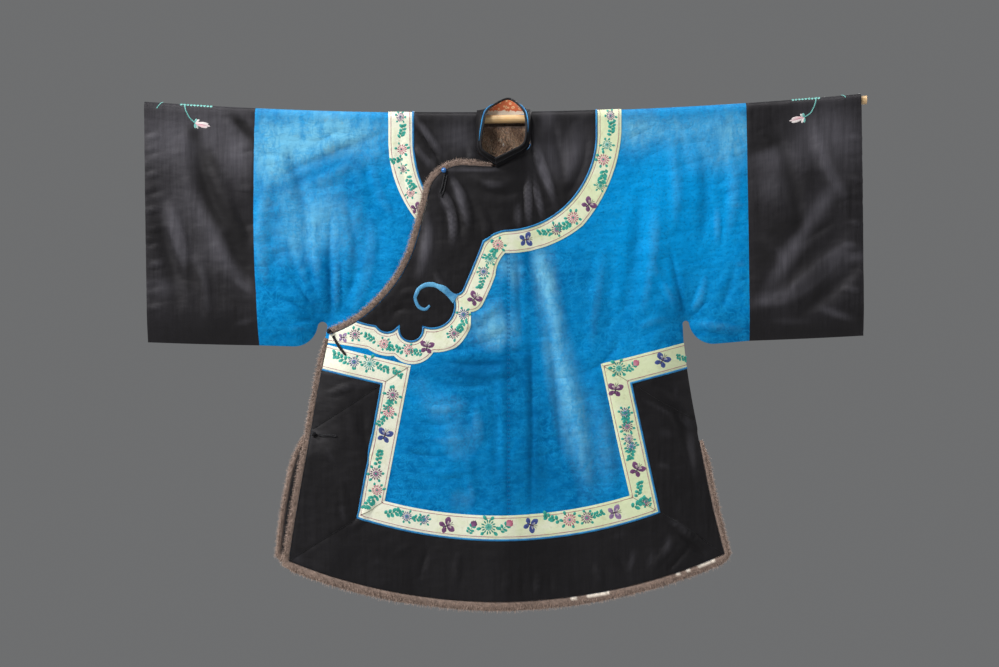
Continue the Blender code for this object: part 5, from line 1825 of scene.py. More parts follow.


# Where a painted sheen lies on the black satin and where painted shade darkens it, in the same terms
SATIN_PAINTED_SHEEN: tuple[Crease, ...] = (
    (-591, -27, 95, 60, 0, 0.5), (-662, -50, 45, 45, 0, 0.26), (-517, -73, 28, 40, 0, 0.5),
    (-630, -186, 42, 62, 0, 0.22), (-565, -228, 19, 72, 27, 0.42), (-510, -309, 13, 46, 38, 0.42),
    (-669, -328, 40, 16, 0, 0.22), (-510, -396, 26, 7, 15, 0.36), (-581, -267, 50, 30, 0, 0.18),
    (631, -33, 62, 52, 0, 0.6), (525, -75, 45, 26, 10, 0.5), (515, -131, 35, 28, 0, 0.28),
    (558, -257, 17, 72, -32, 0.72), (617, -165, 14, 50, -40, 0.45), (515, -349, 30, 11, 20, 0.5),
    (644, -379, 30, 7, -20, 0.45), (677, -267, 22, 11, 0, 0.35), (558, -395, 40, 8, 0, 0.3),
    (650, -300, 30, 40, -30, 0.22), (95, -73, 34, 42, 0, 0.42), (83, -4, 14, 22, 0, 0.25), (-90, -34, 34, 30, 0, 0.34),
    (150, -60, 24, 60, 0, 0.22), (-84, -165, 6, 46, 19, 0.5), (-101, -208, 5, 30, 2, 0.45),
    (-120, -160, 4, 18, 20, 0.4), (-60, -100, 42, 4, 0, 0.48), (80, -110, 6, 52, 17, 0.5),
    (-153, -252, 14, 45, -10, 0.34), (26, -190, 3.5, 20, 0, 0.35), (47, -165, 3.5, 40, 0, 0.45),
    (66, -160, 4, 38, 12, 0.35), (-155, -25, 5, 45, 38, 0.35), (-155, -76, 5, 26, 38, 0.3),
    (-10, -230, 20, 20, 0, 0.14), (-180, -310, 30, 20, 0, 0.12), (247, -859, 7, 26, -15, 0.34),
    (317, -824, 7, 20, -10, 0.32), (284, -856, 6, 24, -25, 0.28), (223, -810, 30, 9, 15, 0.18),
    (362, -640, 9, 72, 7, 0.28), (314, -612, 20, 13, -20, 0.22), (310, -675, 18, 7, -15, 0.22),
    (331, -532, 6, 16, 0, 0.22), (314, -571, 50, 5, -29, 0.25), (334, -762, 20, 40, 0, 0.12),
    (-338, -654, 9, 26, 20, 0.28), (-310, -696, 9, 30, 15, 0.2), (-315, -765, 7, 24, 15, 0.24),
    (-282, -626, 5, 24, 3, 0.2), (-282, -518, 30, 9, 20, 0.2), (-247, -859, 20, 12, 30, 0.2),
    (-400, -856, 14, 14, 0, 0.18), (-60, -880, 40, 8, 5, 0.1), (60, -884, 30, 8, -5, 0.1),
)
# Painted shade on the black satin: fold hollows and darker stretches
SATIN_PAINTED_SHADE: tuple[Crease, ...] = (
    (-604, -26, 14, 18, 25, 0.6), (-507, -18, 9, 30, 42, 0.85), (-572, -83, 13, 30, 20, 0.5),
    (-556, -163, 19, 50, 22, 0.95), (-514, -234, 21, 60, 22, 1.0), (-604, -309, 13, 40, 30, 0.5),
    (-682, -221, 18, 30, 0, 0.35), (-588, -422, 120, 36, 0, 0.6), (495, -52, 28, 11, 12, 0.6),
    (542, -211, 40, 20, 20, 0.9), (499, -270, 22, 40, -30, 0.9), (581, -131, 9, 30, -30, 0.5),
    (492, -188, 30, 5, -20, 0.5), (598, -290, 40, 30, 0, 0.3), (591, -415, 120, 20, 0, 0.6),
    (-52, -165, 20, 50, 10, 0.5), (-60, -235, 24, 60, 10, 0.6), (10, -125, 22, 40, 0, 0.35),
    (120, -150, 20, 30, 40, 0.3), (-200, -330, 40, 30, 0, 0.4), (0, -850, 330, 70, 0, 0.36),
    (-320, -640, 80, 170, 0, 0.3), (330, -640, 80, 170, 0, 0.22), (364, -832, 24, 21, -30, 0.85),
)


@dataclass
class Cloth:
    """The cut cloth: silk panels, cuffs, yokes, bands, borders and the piping between them."""

    pattern: Pattern
    drape: Drape
    finishes: Finishes
    silk_thick: float = 0.0026
    cuff_thick: float = 0.0018
    gap: float = 0.0001
    # An outline that fills less of its box than this share is a strip, as wide as this
    strip_share: float = 0.32
    strip_width: float = 0.055
    sheets: dict[Layer, Sheet] = field(default_factory=dict)
    yokes: dict[Layer, dict[str, np.ndarray]] = field(default_factory=dict)
    trims: dict[Layer, dict[str, np.ndarray]] = field(default_factory=dict)

    def hang(self) -> None:
        """Work out the three sheets with every outline on them."""
        for layer in Layer:
            self.yokes[layer], self.trims[layer] = self.pattern.yoke(layer), self.pattern.trim(layer)
            rings = dict(self.pattern.panels(layer))
            sides = {FRONT: (LEFT,), UNDER: (RIGHT,), BACK: tuple(Side)}[layer]
            for side in sides:
                where = "back" if layer is BACK else "front"
                rings[f"cuff_{side.name.lower()}_{where}"] = self.pattern.cuff(side)
            rings["band_yoke_" + layer.value] = self.yokes[layer]["band"]
            rings["yoke_" + layer.value] = self.yokes[layer]["black"]
            rings["piping_yoke_" + layer.value] = self.yokes[layer]["strip"]
            for name, ring in self.trims[layer].items():
                if layer is UNDER and name in ("band", "border"):
                    rings[f"{name}_under"] = ring
                elif name.startswith(("band_", "border_")):
                    kind, place = name.split("_", 1)
                    rings[f"{kind}_{layer.value}_{place}"] = ring
            self.sheets[layer] = Sheet(layer, self.pattern, self.drape, rings)
            LOG.info("sheet %s: %d triangles", layer.value, len(self.sheets[layer].faces))

    def sew(self) -> None:
        """Make every piece of cloth."""
        wear_and_painted_light, satin, look = WearAndPaintedLight(), WearAndPaintedLight(SATIN_PAINTED_SHEEN, SATIN_PAINTED_SHADE, ()), self.finishes
        for sheet in self.sheets.values():
            # Tints of wear with painted highlights and painted shade on the silk, and of painted sheen and painted
            # shade on the satin
            silk_wear_and_painted_light, satin_painted_light = partial(wear_and_painted_light.lit, sheet, 0.22, 0.60), partial(satin.lit, sheet, 0.32, 0.60)
            kinds = {
                ("front", "back"): (WALL - self.silk_thick, WALL, (look.azure, look.inside), silk_wear_and_painted_light, "azure_silk"),
                ("cuff",): (WALL - self.cuff_thick, WALL, (look.cuff,), satin_painted_light, "black_satin"),
                ("band",): (WALL + self.gap, ON_BAND, (look.pale,), None, "pale_satin"),
                ("yoke", "border"): (WALL + self.gap, ON_BAND, (look.satin,), satin_painted_light, "black_satin"),
            }
            for name, ring in sheet.rings.items():
                for starts, (low, high, finishes, tint, slot) in kinds.items():
                    if name.startswith(starts):
                        self.declare(replaced(sheet.shell(name, low, high, finishes, tint), name, slot), ring, name)
                        LOG.info("cloth %s", name)
            self.pipe(sheet)

    def declare(self, piece: bpy.types.Object, ring: np.ndarray, name: str) -> None:
        """Work out the flat size of a piece of cloth, which is not used further.

        Args:
            piece: The piece; not used.
            ring: Its outline as cut.
            name: Its solid's name; not used.
        """
        wide, long = ring.max(axis=0) - ring.min(axis=0)
        x, y = ring.T
        area = abs(float((x * np.roll(y, -1) - np.roll(x, -1) * y).sum() / 2))
        if area < self.strip_share * wide * long:
            wide, long = self.strip_width, area / self.strip_width

    def pipe(self, sheet: Sheet) -> None:
        """Lay the rounded piping between the bands and the black satin.

        Args:
            sheet: The sheet that it lies on.
        """
        half, layer = PIPING_WIDTH / 2, sheet.layer
        rising = [(1.0, WALL), (1.0, ON_BAND - TUCK), (0.6, ON_BAND + 0.0007)]
        corners = [(-half * share, high) for share, high in rising] + [(0.0, ON_BAND + 0.0011)]
        corners += [(half * share, high) for share, high in rising[::-1]]
        for place, lines in (("yoke", self.yokes), ("hem", self.trims)):
            name = f"piping_{place}_{layer.value}"
            piece = build(name, *sheet.strip(lines[layer]["line"], corners), [self.finishes.piping])
            if name == "piping_hem_under":
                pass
            else:
                replaced(piece, name, "blue_piping")
            LOG.info("piping %s", name)


@dataclass
class Needlework:
    """Embroidered motifs on the bands and cuffs, the bands' pink edge lines and the seams' stitches."""

    cloth: Cloth
    rise: float = 0.0007
    line: float = 0.0011
    grow: float = 1.34
    # Distance between the motifs along a band
    spacing: float = 0.034
    # Kind, x, z, turn in degrees, width in millimetres and thread
    motifs: ClassVar[dict[Layer, tuple[tuple, ...]]] = {
        UNDER: (
        (FLOWER, -203, 2, 0, 13, LILAC), (SPRAY, -200, -27, 80, 20, TEAL), (FLOWER, -200, -60, 0, 17, ROSE),
        (SPRAY, -207, -80, 200, 18, TEAL), (FLOWER, -197, -98, 0, 13, PLUM), (SPRAY, -184, -124, -60, 20, TEAL),
        (FLOWER, -183, -145, 0, 14, ROSE), (BUTTERFLY, -172, -175, 20, 17, PLUM),
        ),
        FRONT: (
        (FLOWER, 206, 5, 0, 14, LILAC), (SPRAY, 208, -21, 90, 20, TEAL), (FLOWER, 199, -51, 0, 16, AQUA),
        (FLOWER, 192, -80, 10, 19, ROSE), (SPRAY, 192, -111, 250, 22, TEAL), (FLOWER, 186, -131, 0, 14, TEAL),
        (BUTTERFLY, 163, -168, 40, 21, PLUM), (FLOWER, 133, -193, 0, 19, ROSE), (SPRAY, 117, -208, 200, 22, TEAL),
        (FLOWER, 101, -216, 0, 18, PLUM), (SPRAY, 79, -222, 180, 18, TEAL), (BUTTERFLY, 40, -236, 10, 21, INDIGO),
        (FLOWER, -13, -246, 0, 18, ROSE), (SPRAY, -22, -261, 230, 20, TEAL), (FLOWER, -29, -274, 0, 17, AQUA),
        (FLOWER, -41, -298, 0, 15, INDIGO), (SPRAY, -44, -318, 250, 18, TEAL), (BUTTERFLY, -59, -351, 50, 21, PLUM),
        (FLOWER, -80, -381, 0, 17, INDIGO), (SPRAY, -82, -401, 240, 20, TEAL), (FLOWER, -98, -418, 0, 18, PLUM),
        (BUTTERFLY, -151, -445, 80, 21, PLUM), (SPRAY, -170, -454, 170, 18, TEAL),
        (FLOWER, -186, -450, 0, 16, ROSE), (SPRAY, -210, -448, 170, 22, TEAL), (FLOWER, -234, -438, 0, 16, ROSE),
        (SPRAY, -259, -427, 150, 18, TEAL), (FLOWER, -290, -420, 0, 17, PLUM),
        (BUTTERFLY, -313, -426, 0, 14, LILAC), (SPRAY, -316, -466, 150, 22, TEAL),
        (FLOWER, -292, -473, 0, 17, INDIGO), (FLOWER, -262, -477, 0, 20, AQUA), (SPRAY, -239, -484, -20, 20, TEAL),
        (SPRAY, -210, -493, -40, 18, TEAL), (FLOWER, -217, -537, 0, 20, PLUM), (SPRAY, -223, -554, 250, 18, TEAL),
        (FLOWER, -225, -569, 0, 19, ROSE), (SPRAY, -237, -586, 230, 18, TEAL),
        (BUTTERFLY, -233, -616, 70, 23, INDIGO), (SPRAY, -245, -660, 80, 22, TEAL),
        (FLOWER, -250, -690, 0, 20, PLUM), (FLOWER, -248, -722, 0, 18, ROSE), (SPRAY, -260, -743, 230, 24, TEAL),
        (SPRAY, -219, -766, 10, 24, TEAL), (FLOWER, -190, -773, 0, 16, INDIGO), (SPRAY, -170, -777, 0, 18, TEAL),
        (FLOWER, -156, -779, 0, 15, INDIGO), (BUTTERFLY, -113, -791, 20, 23, PLUM), (BUD, -63, -793, 60, 20, PLUM),
        (FLOWER, -31, -793, 0, 24, TEAL), (BUD, 3, -791, 40, 22, ROSE), (BUTTERFLY, 49, -789, -20, 22, INDIGO),
        (SPRAY, 93, -777, 160, 24, TEAL), (FLOWER, 126, -780, 0, 21, ROSE), (FLOWER, 160, -776, 0, 19, PLUM),
        (SPRAY, 178, -770, 20, 18, TEAL), (BUTTERFLY, 213, -766, 10, 22, LILAC), (SPRAY, 261, -749, 30, 24, TEAL),
        (FLOWER, 275, -745, 0, 14, PLUM), (FLOWER, 234, -572, 0, 17, INDIGO), (FLOWER, 238, -599, 0, 18, PLUM),
        (FLOWER, 241, -622, 0, 15, LILAC), (FLOWER, 246, -637, 0, 16, INDIGO), (SPRAY, 236, -586, 90, 22, TEAL),
        (SPRAY, 245, -648, 260, 20, TEAL), (BUTTERFLY, 257, -683, 60, 22, PLUM), (SPRAY, 261, -722, 80, 22, TEAL),
        (BUTTERFLY, 215, -528, 80, 22, PLUM), (FLOWER, 222, -486, 0, 22, TEAL), (BUD, 250, -480, 40, 20, ROSE),
        (BUTTERFLY, 305, -471, 60, 22, INDIGO), (SPRAY, 340, -464, -20, 16, TEAL),
        ),
    }
    # Outline of a stitched petal: share of its length, and of its half width; the last two are its ridge
    petal: tuple[tuple[float, float], ...] = (
        (0, 0), (0.25, -0.7), (0.6, -1), (0.88, -0.6), (1, 0), (0.88, 0.6), (0.6, 1), (0.25, 0.7), (0.35, 0), (0.72, 0),
    )
    petal_faces: tuple[tuple[int, int, int], ...] = (
        (0, 1, 8), (1, 2, 8), (2, 9, 8), (2, 3, 9), (3, 4, 9), (4, 5, 9), (5, 6, 9), (6, 8, 9), (6, 7, 8), (7, 0, 8),
        (0, 7, 6), (0, 6, 5), (0, 5, 4), (0, 4, 3), (0, 3, 2), (0, 2, 1),
    )

    def petals(self, sheet: Sheet, rows: Sequence[tuple], offset: float) -> tuple[np.ndarray, np.ndarray, np.ndarray]:
        """Raise every petal of a list on a sheet.

        Args:
            sheet: The sheet.
            rows: Flat x and drop of its foot, angle, length, half width, two colours and lift.
            offset: The cloth's outer face.

        Returns:
            Points, triangles and tints.
        """
        foot = np.array([row[:2] for row in rows])
        angle, length, half = (np.array([row[k] for row in rows])[:, None] for k in (2, 3, 4))
        first, last = (np.array([row[k] for row in rows])[:, None] for k in (5, 6))
        lift = np.array([row[7] for row in rows])[:, None]
        u, v = np.array(self.petal).T
        go, side = u * length, v * half
        x = foot[:, :1] + go * np.cos(angle) - side * np.sin(angle)
        drop = foot[:, 1:] + go * np.sin(angle) + side * np.cos(angle)
        high = np.where(np.arange(10) >= 8, self.rise + lift, lift - 0.0001)
        flat = np.stack([x, drop], axis=-1).reshape(-1, 2)
        points = sheet.place(flat, offset + high.ravel())
        share = np.array([0.0, 0.3, 0.75, 0.95, 1.0, 0.95, 0.75, 0.3, 0.15, 0.55])[None, :, None]
        tint = (first * (1 - share) + last * share).reshape(-1, 3)
        faces = (np.array(self.petal_faces)[None] + 10 * np.arange(len(rows))[:, None, None]).reshape(-1, 3)
        return points, faces[:, ::-1] if sheet.sign < 0 else faces, tint

    @staticmethod
    def motif(kind: Kind, x: float, drop: float, degrees: float, size: float, thread: Thread, seed: int) -> list[tuple]:
        """The petals of one motif.

        Args:
            kind: What it shows.
            x: Flat place of its middle.
            drop: And down.
            degrees: Its turn.
            size: Its width in metres.
            thread: Its main colour.
            seed: Which small differences it has.

        Returns:
            Rows for petals().
        """
        chance = np.random.default_rng(seed)
        dark, light = (np.array(c) for c in thread.value)
        teal, leaf = (np.array(c) for c in TEAL.value)
        ink, ink_light = (np.array(c) for c in DARK.value)
        cream = np.array(CREAM.value[1])
        turn = -math.radians(degrees)
        rows: list[tuple] = []

        def put(at: float, out: float, angle: float, long: float, half: float, a: object, b: object, up: float) -> None:
            """Add a petal whose foot is out from the middle at an angle; all lengths are shares of the size."""
            foot = (x + math.cos(at) * out * size, drop + math.sin(at) * out * size)
            rows.append((*foot, angle, long * size, half * size, a, b, up))

        if kind is FLOWER:
            for i in range(6):
                at = turn + i * 1.05 + chance.uniform(-0.3, 0.3)
                put(at, 0.40, at + chance.uniform(-0.7, 0.7), chance.uniform(0.26, 0.38), 0.12, teal, leaf, 0.0)
            for i in range(14):
                at = turn + i * 2 * math.pi / 14 + chance.uniform(-0.05, 0.05)
                put(at, 0.23, at, 0.24 * chance.uniform(0.85, 1.1), 0.050, dark * 0.8, dark * 0.6 + light * 0.4, 0.0001)
            for i in range(9):
                at = turn + i * 2 * math.pi / 9 + 0.2
                put(at, 0.06, at, 0.19, 0.062, light * 0.6 + dark * 0.4, light * 0.7 + cream * 0.3, 0.0003)
            for i in range(4):
                put(i * 1.57, 0.0, i * 1.57 + turn, 0.09, 0.04, teal, leaf, 0.0005)
        elif kind is SPRAY:
            c, s = math.cos(turn), math.sin(turn)
            rows.append((x - c * size / 2, drop - s * size / 2, turn, size * 0.95, size * 0.022, teal, leaf, 0.0))
            for i in range(8):
                go = (i - 3.5) / 8 * size
                side = 1 if i % 2 else -1
                foot = (x + c * go, drop + s * go)
                angle = turn + side * chance.uniform(0.6, 1.2)
                rows.append((*foot, angle, size * chance.uniform(0.26, 0.40), size * 0.115, teal, leaf, 0.0001))
            tip = (x + c * size * 0.40, drop + s * size * 0.40)
            for angle in (-1.0, -0.5, 0.0, 0.5, 1.0):
                rows.append((*tip, turn + angle, size * 0.22, size * 0.055, dark, light * 0.5 + dark * 0.5, 0.0002))
        elif kind is BUTTERFLY:
            for side in (-1, 1):
                put(turn, 0.02, turn + side * 0.95, 0.60, 0.20, dark, dark * 0.5 + light * 0.5, 0.0001)
                put(turn, 0.07, turn + side * 1.0, 0.36, 0.10, light * 0.7, cream * 0.9, 0.0003)
                put(turn, -0.06, turn + side * 2.25, 0.46, 0.16, dark * 0.8, dark * 0.5 + light * 0.5, 0.0001)
                put(turn, -0.08, turn + side * 2.25, 0.26, 0.07, light * 0.8, dark, 0.0003)
                put(turn, 0.22, turn + side * 0.35, 0.30, 0.016, ink, ink, 0.0)
            put(turn, -0.28, turn, 0.56, 0.050, ink, ink_light, 0.0005)
        else:
            c, s = math.cos(turn), math.sin(turn)
            rows.append((x - c * size * 0.55, drop - s * size * 0.55, turn, size * 0.62, size * 0.026, teal, leaf, 0.0))
            for angle in (-0.55, 0.55, -0.28, 0.28, 0.0):
                put(turn, 0.0, turn + angle, 0.54 - abs(angle) * 0.2, 0.10, light * 0.8, dark, 0.0002)
            for side in (-1, 1):
                put(turn, -0.05, turn + side * 0.9, 0.34, 0.11, teal, leaf, 0.0)
                put(turn, -0.30, turn + side * 1.2, 0.34, 0.11, teal, leaf, 0.0)
                put(turn, -0.50, turn + side * 1.1, 0.30, 0.10, teal, leaf, 0.0)
        return rows

    def along_band(self, outer: np.ndarray, inner: np.ndarray, spacing: float, seed: int) -> list[tuple]:
        """Motifs in turn along the middle of a band that the photograph doesn't show.

        Args:
            outer: One edge of the band.
            inner: The other.
            spacing: Distance between motifs.
            seed: Where the order starts.

        Returns:
            Rows for petals().
        """
        count = 200
        middle = (evenly(outer, run_along(outer)[-1] / count) + evenly(inner, run_along(inner)[-1] / count)) / 2
        run = run_along(middle)
        order = (
            (FLOWER, 0.020, ROSE), (SPRAY, 0.021, ROSE), (BUTTERFLY, 0.022, INDIGO),
            (SPRAY, 0.020, LILAC), (FLOWER, 0.020, PLUM), (BUD, 0.022, ROSE),
            (FLOWER, 0.021, AQUA), (SPRAY, 0.022, INDIGO), (BUTTERFLY, 0.022, PLUM),
            (FLOWER, 0.019, INDIGO), (BUD, 0.021, PLUM),
        )
        rows: list[tuple] = []
        for k, at in enumerate(np.arange(spacing * 0.7, run[-1] - spacing * 0.4, spacing)):
            i = min(int(np.searchsorted(run, at)), len(middle) - 2)
            heading = middle[i + 1] - middle[i]
            kind, size, thread = order[(k + seed) % len(order)]
            degrees = -math.degrees(math.atan2(heading[1], heading[0])) + 25 * math.sin(k * 2.1)
            rows += self.motif(kind, *middle[i], degrees, size * self.grow, thread, 100 * seed + k)
        return rows

    def lotus(self, x: float, z: float, mirror: int) -> list[tuple]:
        """A lotus with its stems and leaves, large, for a cuff's back.

        Args:
            x: Its middle, in millimetres.
            z: Its height, in millimetres.
            mirror: 1 or -1.

        Returns:
            Rows for petals().
        """
        rows: list[tuple] = []
        (at,) = lay([(x, z)])
        teal, leaf = (np.array(c) for c in AQUA.value)
        rose, blush = (np.array(c) for c in ROSE.value)
        for ring, (count, long, half) in enumerate(((9, 0.040, 0.0085), (7, 0.032, 0.0075), (5, 0.024, 0.0065))):
            for i in range(count):
                angle = -math.pi / 2 + (i - (count - 1) / 2) * 2.5 / count
                rows.append((*at, angle, long, half, blush, rose, 0.0003 * ring))
        for k, (go, fall, size) in enumerate(((-34, 60, 20), (30, 84, 24), (-20, 128, 22), (26, 160, 18))):
            where = at + np.array([go * mirror, fall]) * MM
            for i in range(9):
                angle = i * 2 * math.pi / 9 + 0.2 * k
                rows.append((*where, angle, size * MM, size * 0.36 * MM, teal, leaf, 0.0))
        stem = spline([at, at + [0.004 * mirror, 0.06], at + [-0.003 * mirror, 0.12], at + [0.002, 0.20]], 8)
        for a, b in zip(stem, stem[1:]):
            angle = math.atan2(b[1] - a[1], b[0] - a[0])
            rows.append((*a, angle, float(np.linalg.norm(b - a)) * 1.4, 0.0012, teal, leaf, 0.0001))
        return rows

    def tips(self, side: int) -> list[tuple]:
        """The ends of the cuff's embroidery that come over the fold to its front.

        Args:
            side: -1 for the wearer's right, 1 for the left.

        Returns:
            Rows for petals().
        """
        rows: list[tuple] = []
        aqua, pale = (np.array(c) for c in AQUA.value)
        rose, blush = (np.array(c) for c in ROSE.value)
        white = np.array((0.9, 0.82, 0.8))
        if side < 0:
            stem, bud, lean = [(-625, 30), (-620, 15), (-613, 2), (-603, -8)], (-603, -9), -8
            strip, stroke = [(-630, 31), (-600, 29), (-572, 27)], [(-666, 34), (-672, 26), (-677, 20)]
        else:
            stem, bud, lean = [(609, 44), (604, 28), (596, 12), (584, 3)], (584, 2), 188
            strip, stroke = [(562, 40), (590, 42), (612, 43)], [(656, 48), (661, 44), (664, 40)]
        for path, wide, count in ((stem, 0.0013, 10), (stroke, 0.0010, 5)):
            line = spline(lay(path), 6)
            for a, b in zip(line, line[1:]):
                angle = math.atan2(b[1] - a[1], b[0] - a[0])
                rows.append((*a, angle, float(np.linalg.norm(b - a)) * 1.5, wide, aqua, pale, 0.0002))
        for p in evenly(lay(strip), 0.0065):
            rows.append((*p, math.pi / 2, 0.0070, 0.0028, aqua, pale, 0.0001))
        (at,) = lay([bud])
        turn = -math.radians(lean)
        for angle, long, half, a, b in (
            (-0.85, 0.012, 0.0026, white, white), (0.85, 0.012, 0.0026, aqua, white),
            (-0.14, 0.027, 0.0036, white, white), (0.14, 0.026, 0.0036, blush, white),
            (0.0, 0.031, 0.0026, rose, white),
        ):
            rows.append((*at, turn + angle, long, half, a, b, 0.0004))
        for angle in (-1.3, 1.3):
            rows.append((*at, turn + angle, 0.010, 0.0024, aqua, pale, 0.0005))
        return rows

    def stitch(self) -> None:
        """Make the embroidery of each sheet, joined, and its edge lines."""
        for layer, sheet in self.cloth.sheets.items():
            rows: list[tuple] = []
            for i, (kind, x, z, degrees, size, thread) in enumerate(self.motifs.get(layer, ())):
                (at,) = lay([(x, z)])
                seed = i + (40 if layer is FRONT else 0)
                rows += self.motif(kind, *at, degrees, size * self.grow * MM, thread, seed)
            yoke, trim = self.cloth.yokes[layer], self.cloth.trims[layer]
            if layer is BACK:
                rows += self.along_band(yoke["outer"], yoke["inner"], self.spacing, 1)
                rows += self.along_band(trim["outer"], trim["inner"], self.spacing, 5)
            if layer is UNDER:
                rows += self.along_band(trim["outer"], trim["inner"], self.spacing, 3)[:30]
            points, faces, tint = self.petals(sheet, rows, ON_BAND)
            self.sewn(f"embroidery_{layer.value}", points, faces, tint)
            self.edge_lines(sheet, yoke, trim)
            self.seams(sheet, trim)
            cuffs = {FRONT: self.tips(1), UNDER: self.tips(-1)}.get(layer)
            if cuffs is None:
                cuffs = self.lotus(-592, -60, 1) + self.lotus(588, -52, -1)
            points, faces, tint = self.petals(sheet, cuffs, WALL)
            self.sewn(f"embroidery_cuffs_{layer.value}", points, faces, tint)

    def seams(self, sheet: Sheet, trim: dict[str, np.ndarray]) -> None:
        """The mitres' seams on band and border, and the stitches down the centre seam.

        Args:
            sheet: The sheet.
            trim: The hem's lines.
        """
        parts, tints = [], []
        for name, line in trim.items():
            if not name.startswith("mitre"):
                continue
            parts.append(sheet.strip(evenly(line, 0.004)[1:-1], self.ridge(0.0004, 0.4, 0.0004)))
            tint = (0.16, 0.15, 0.09) if "band" in name else (0.006, 0.006, 0.007)
            tints.append(np.broadcast_to(tint, (len(parts[-1][0]), 3)))
        centre = {FRONT: 7, BACK: -4}.get(sheet.layer, 0)
        if centre:
            rows = [
                (*lay([(centre + side, z)])[0], math.pi / 2, 0.0042, 0.0005, (0.0, 0.11, 0.32), (0.0, 0.13, 0.36), 0.0)
                for side in (-1.6, 1.6) for z in np.arange(-262, -764, -8.5)
            ]
            points, faces, tint = self.petals(sheet, rows, WALL)
            parts.append((points, faces))
            tints.append(tint)
        if parts:
            self.sewn(f"seams_{sheet.layer.value}", *merged(parts), np.concatenate(tints))

    @staticmethod
    def ridge(half: float, share: float, rise: float) -> list[tuple[float, float]]:
        """Section of a low ridge on a band: half its width, its top's share of that, and its height."""
        low, high = ON_BAND - TUCK, ON_BAND + rise
        return [(-half, low), (-half * share, high), (half * share, high), (half, low)]

    def sewn(self, name: str, points: np.ndarray, faces: np.ndarray, tint: np.ndarray) -> None:
        """A joined piece of embroidery."""
        build(name, points, faces, [self.cloth.finishes.stitched], tint=tint)
        LOG.info("%s: %d triangles", name, len(faces))

    def edge_lines(self, sheet: Sheet, yoke: dict[str, np.ndarray], trim: dict[str, np.ndarray]) -> None:
        """The two thin pink lines inside a band's edges.

        Args:
            sheet: The sheet.
            yoke: The yoke's lines.
            trim: The hem's lines.
        """
        section, parts = self.ridge(self.line / 2, 0.5, 0.0003), []
        for lines, sign in ((yoke, 1 if sheet.layer is FRONT else -1), (trim, 1)):
            parts.append(sheet.strip(shifted(lines["outer"], sign * 0.0050), section))
            parts.append(sheet.strip(shifted(lines["inner"], -sign * 0.0045), section))
        points, faces = merged(parts)
        tint = np.broadcast_to((0.42, 0.12, 0.19), (len(points), 3))
        self.sewn(f"edge_lines_{sheet.layer.value}", points, faces, tint)


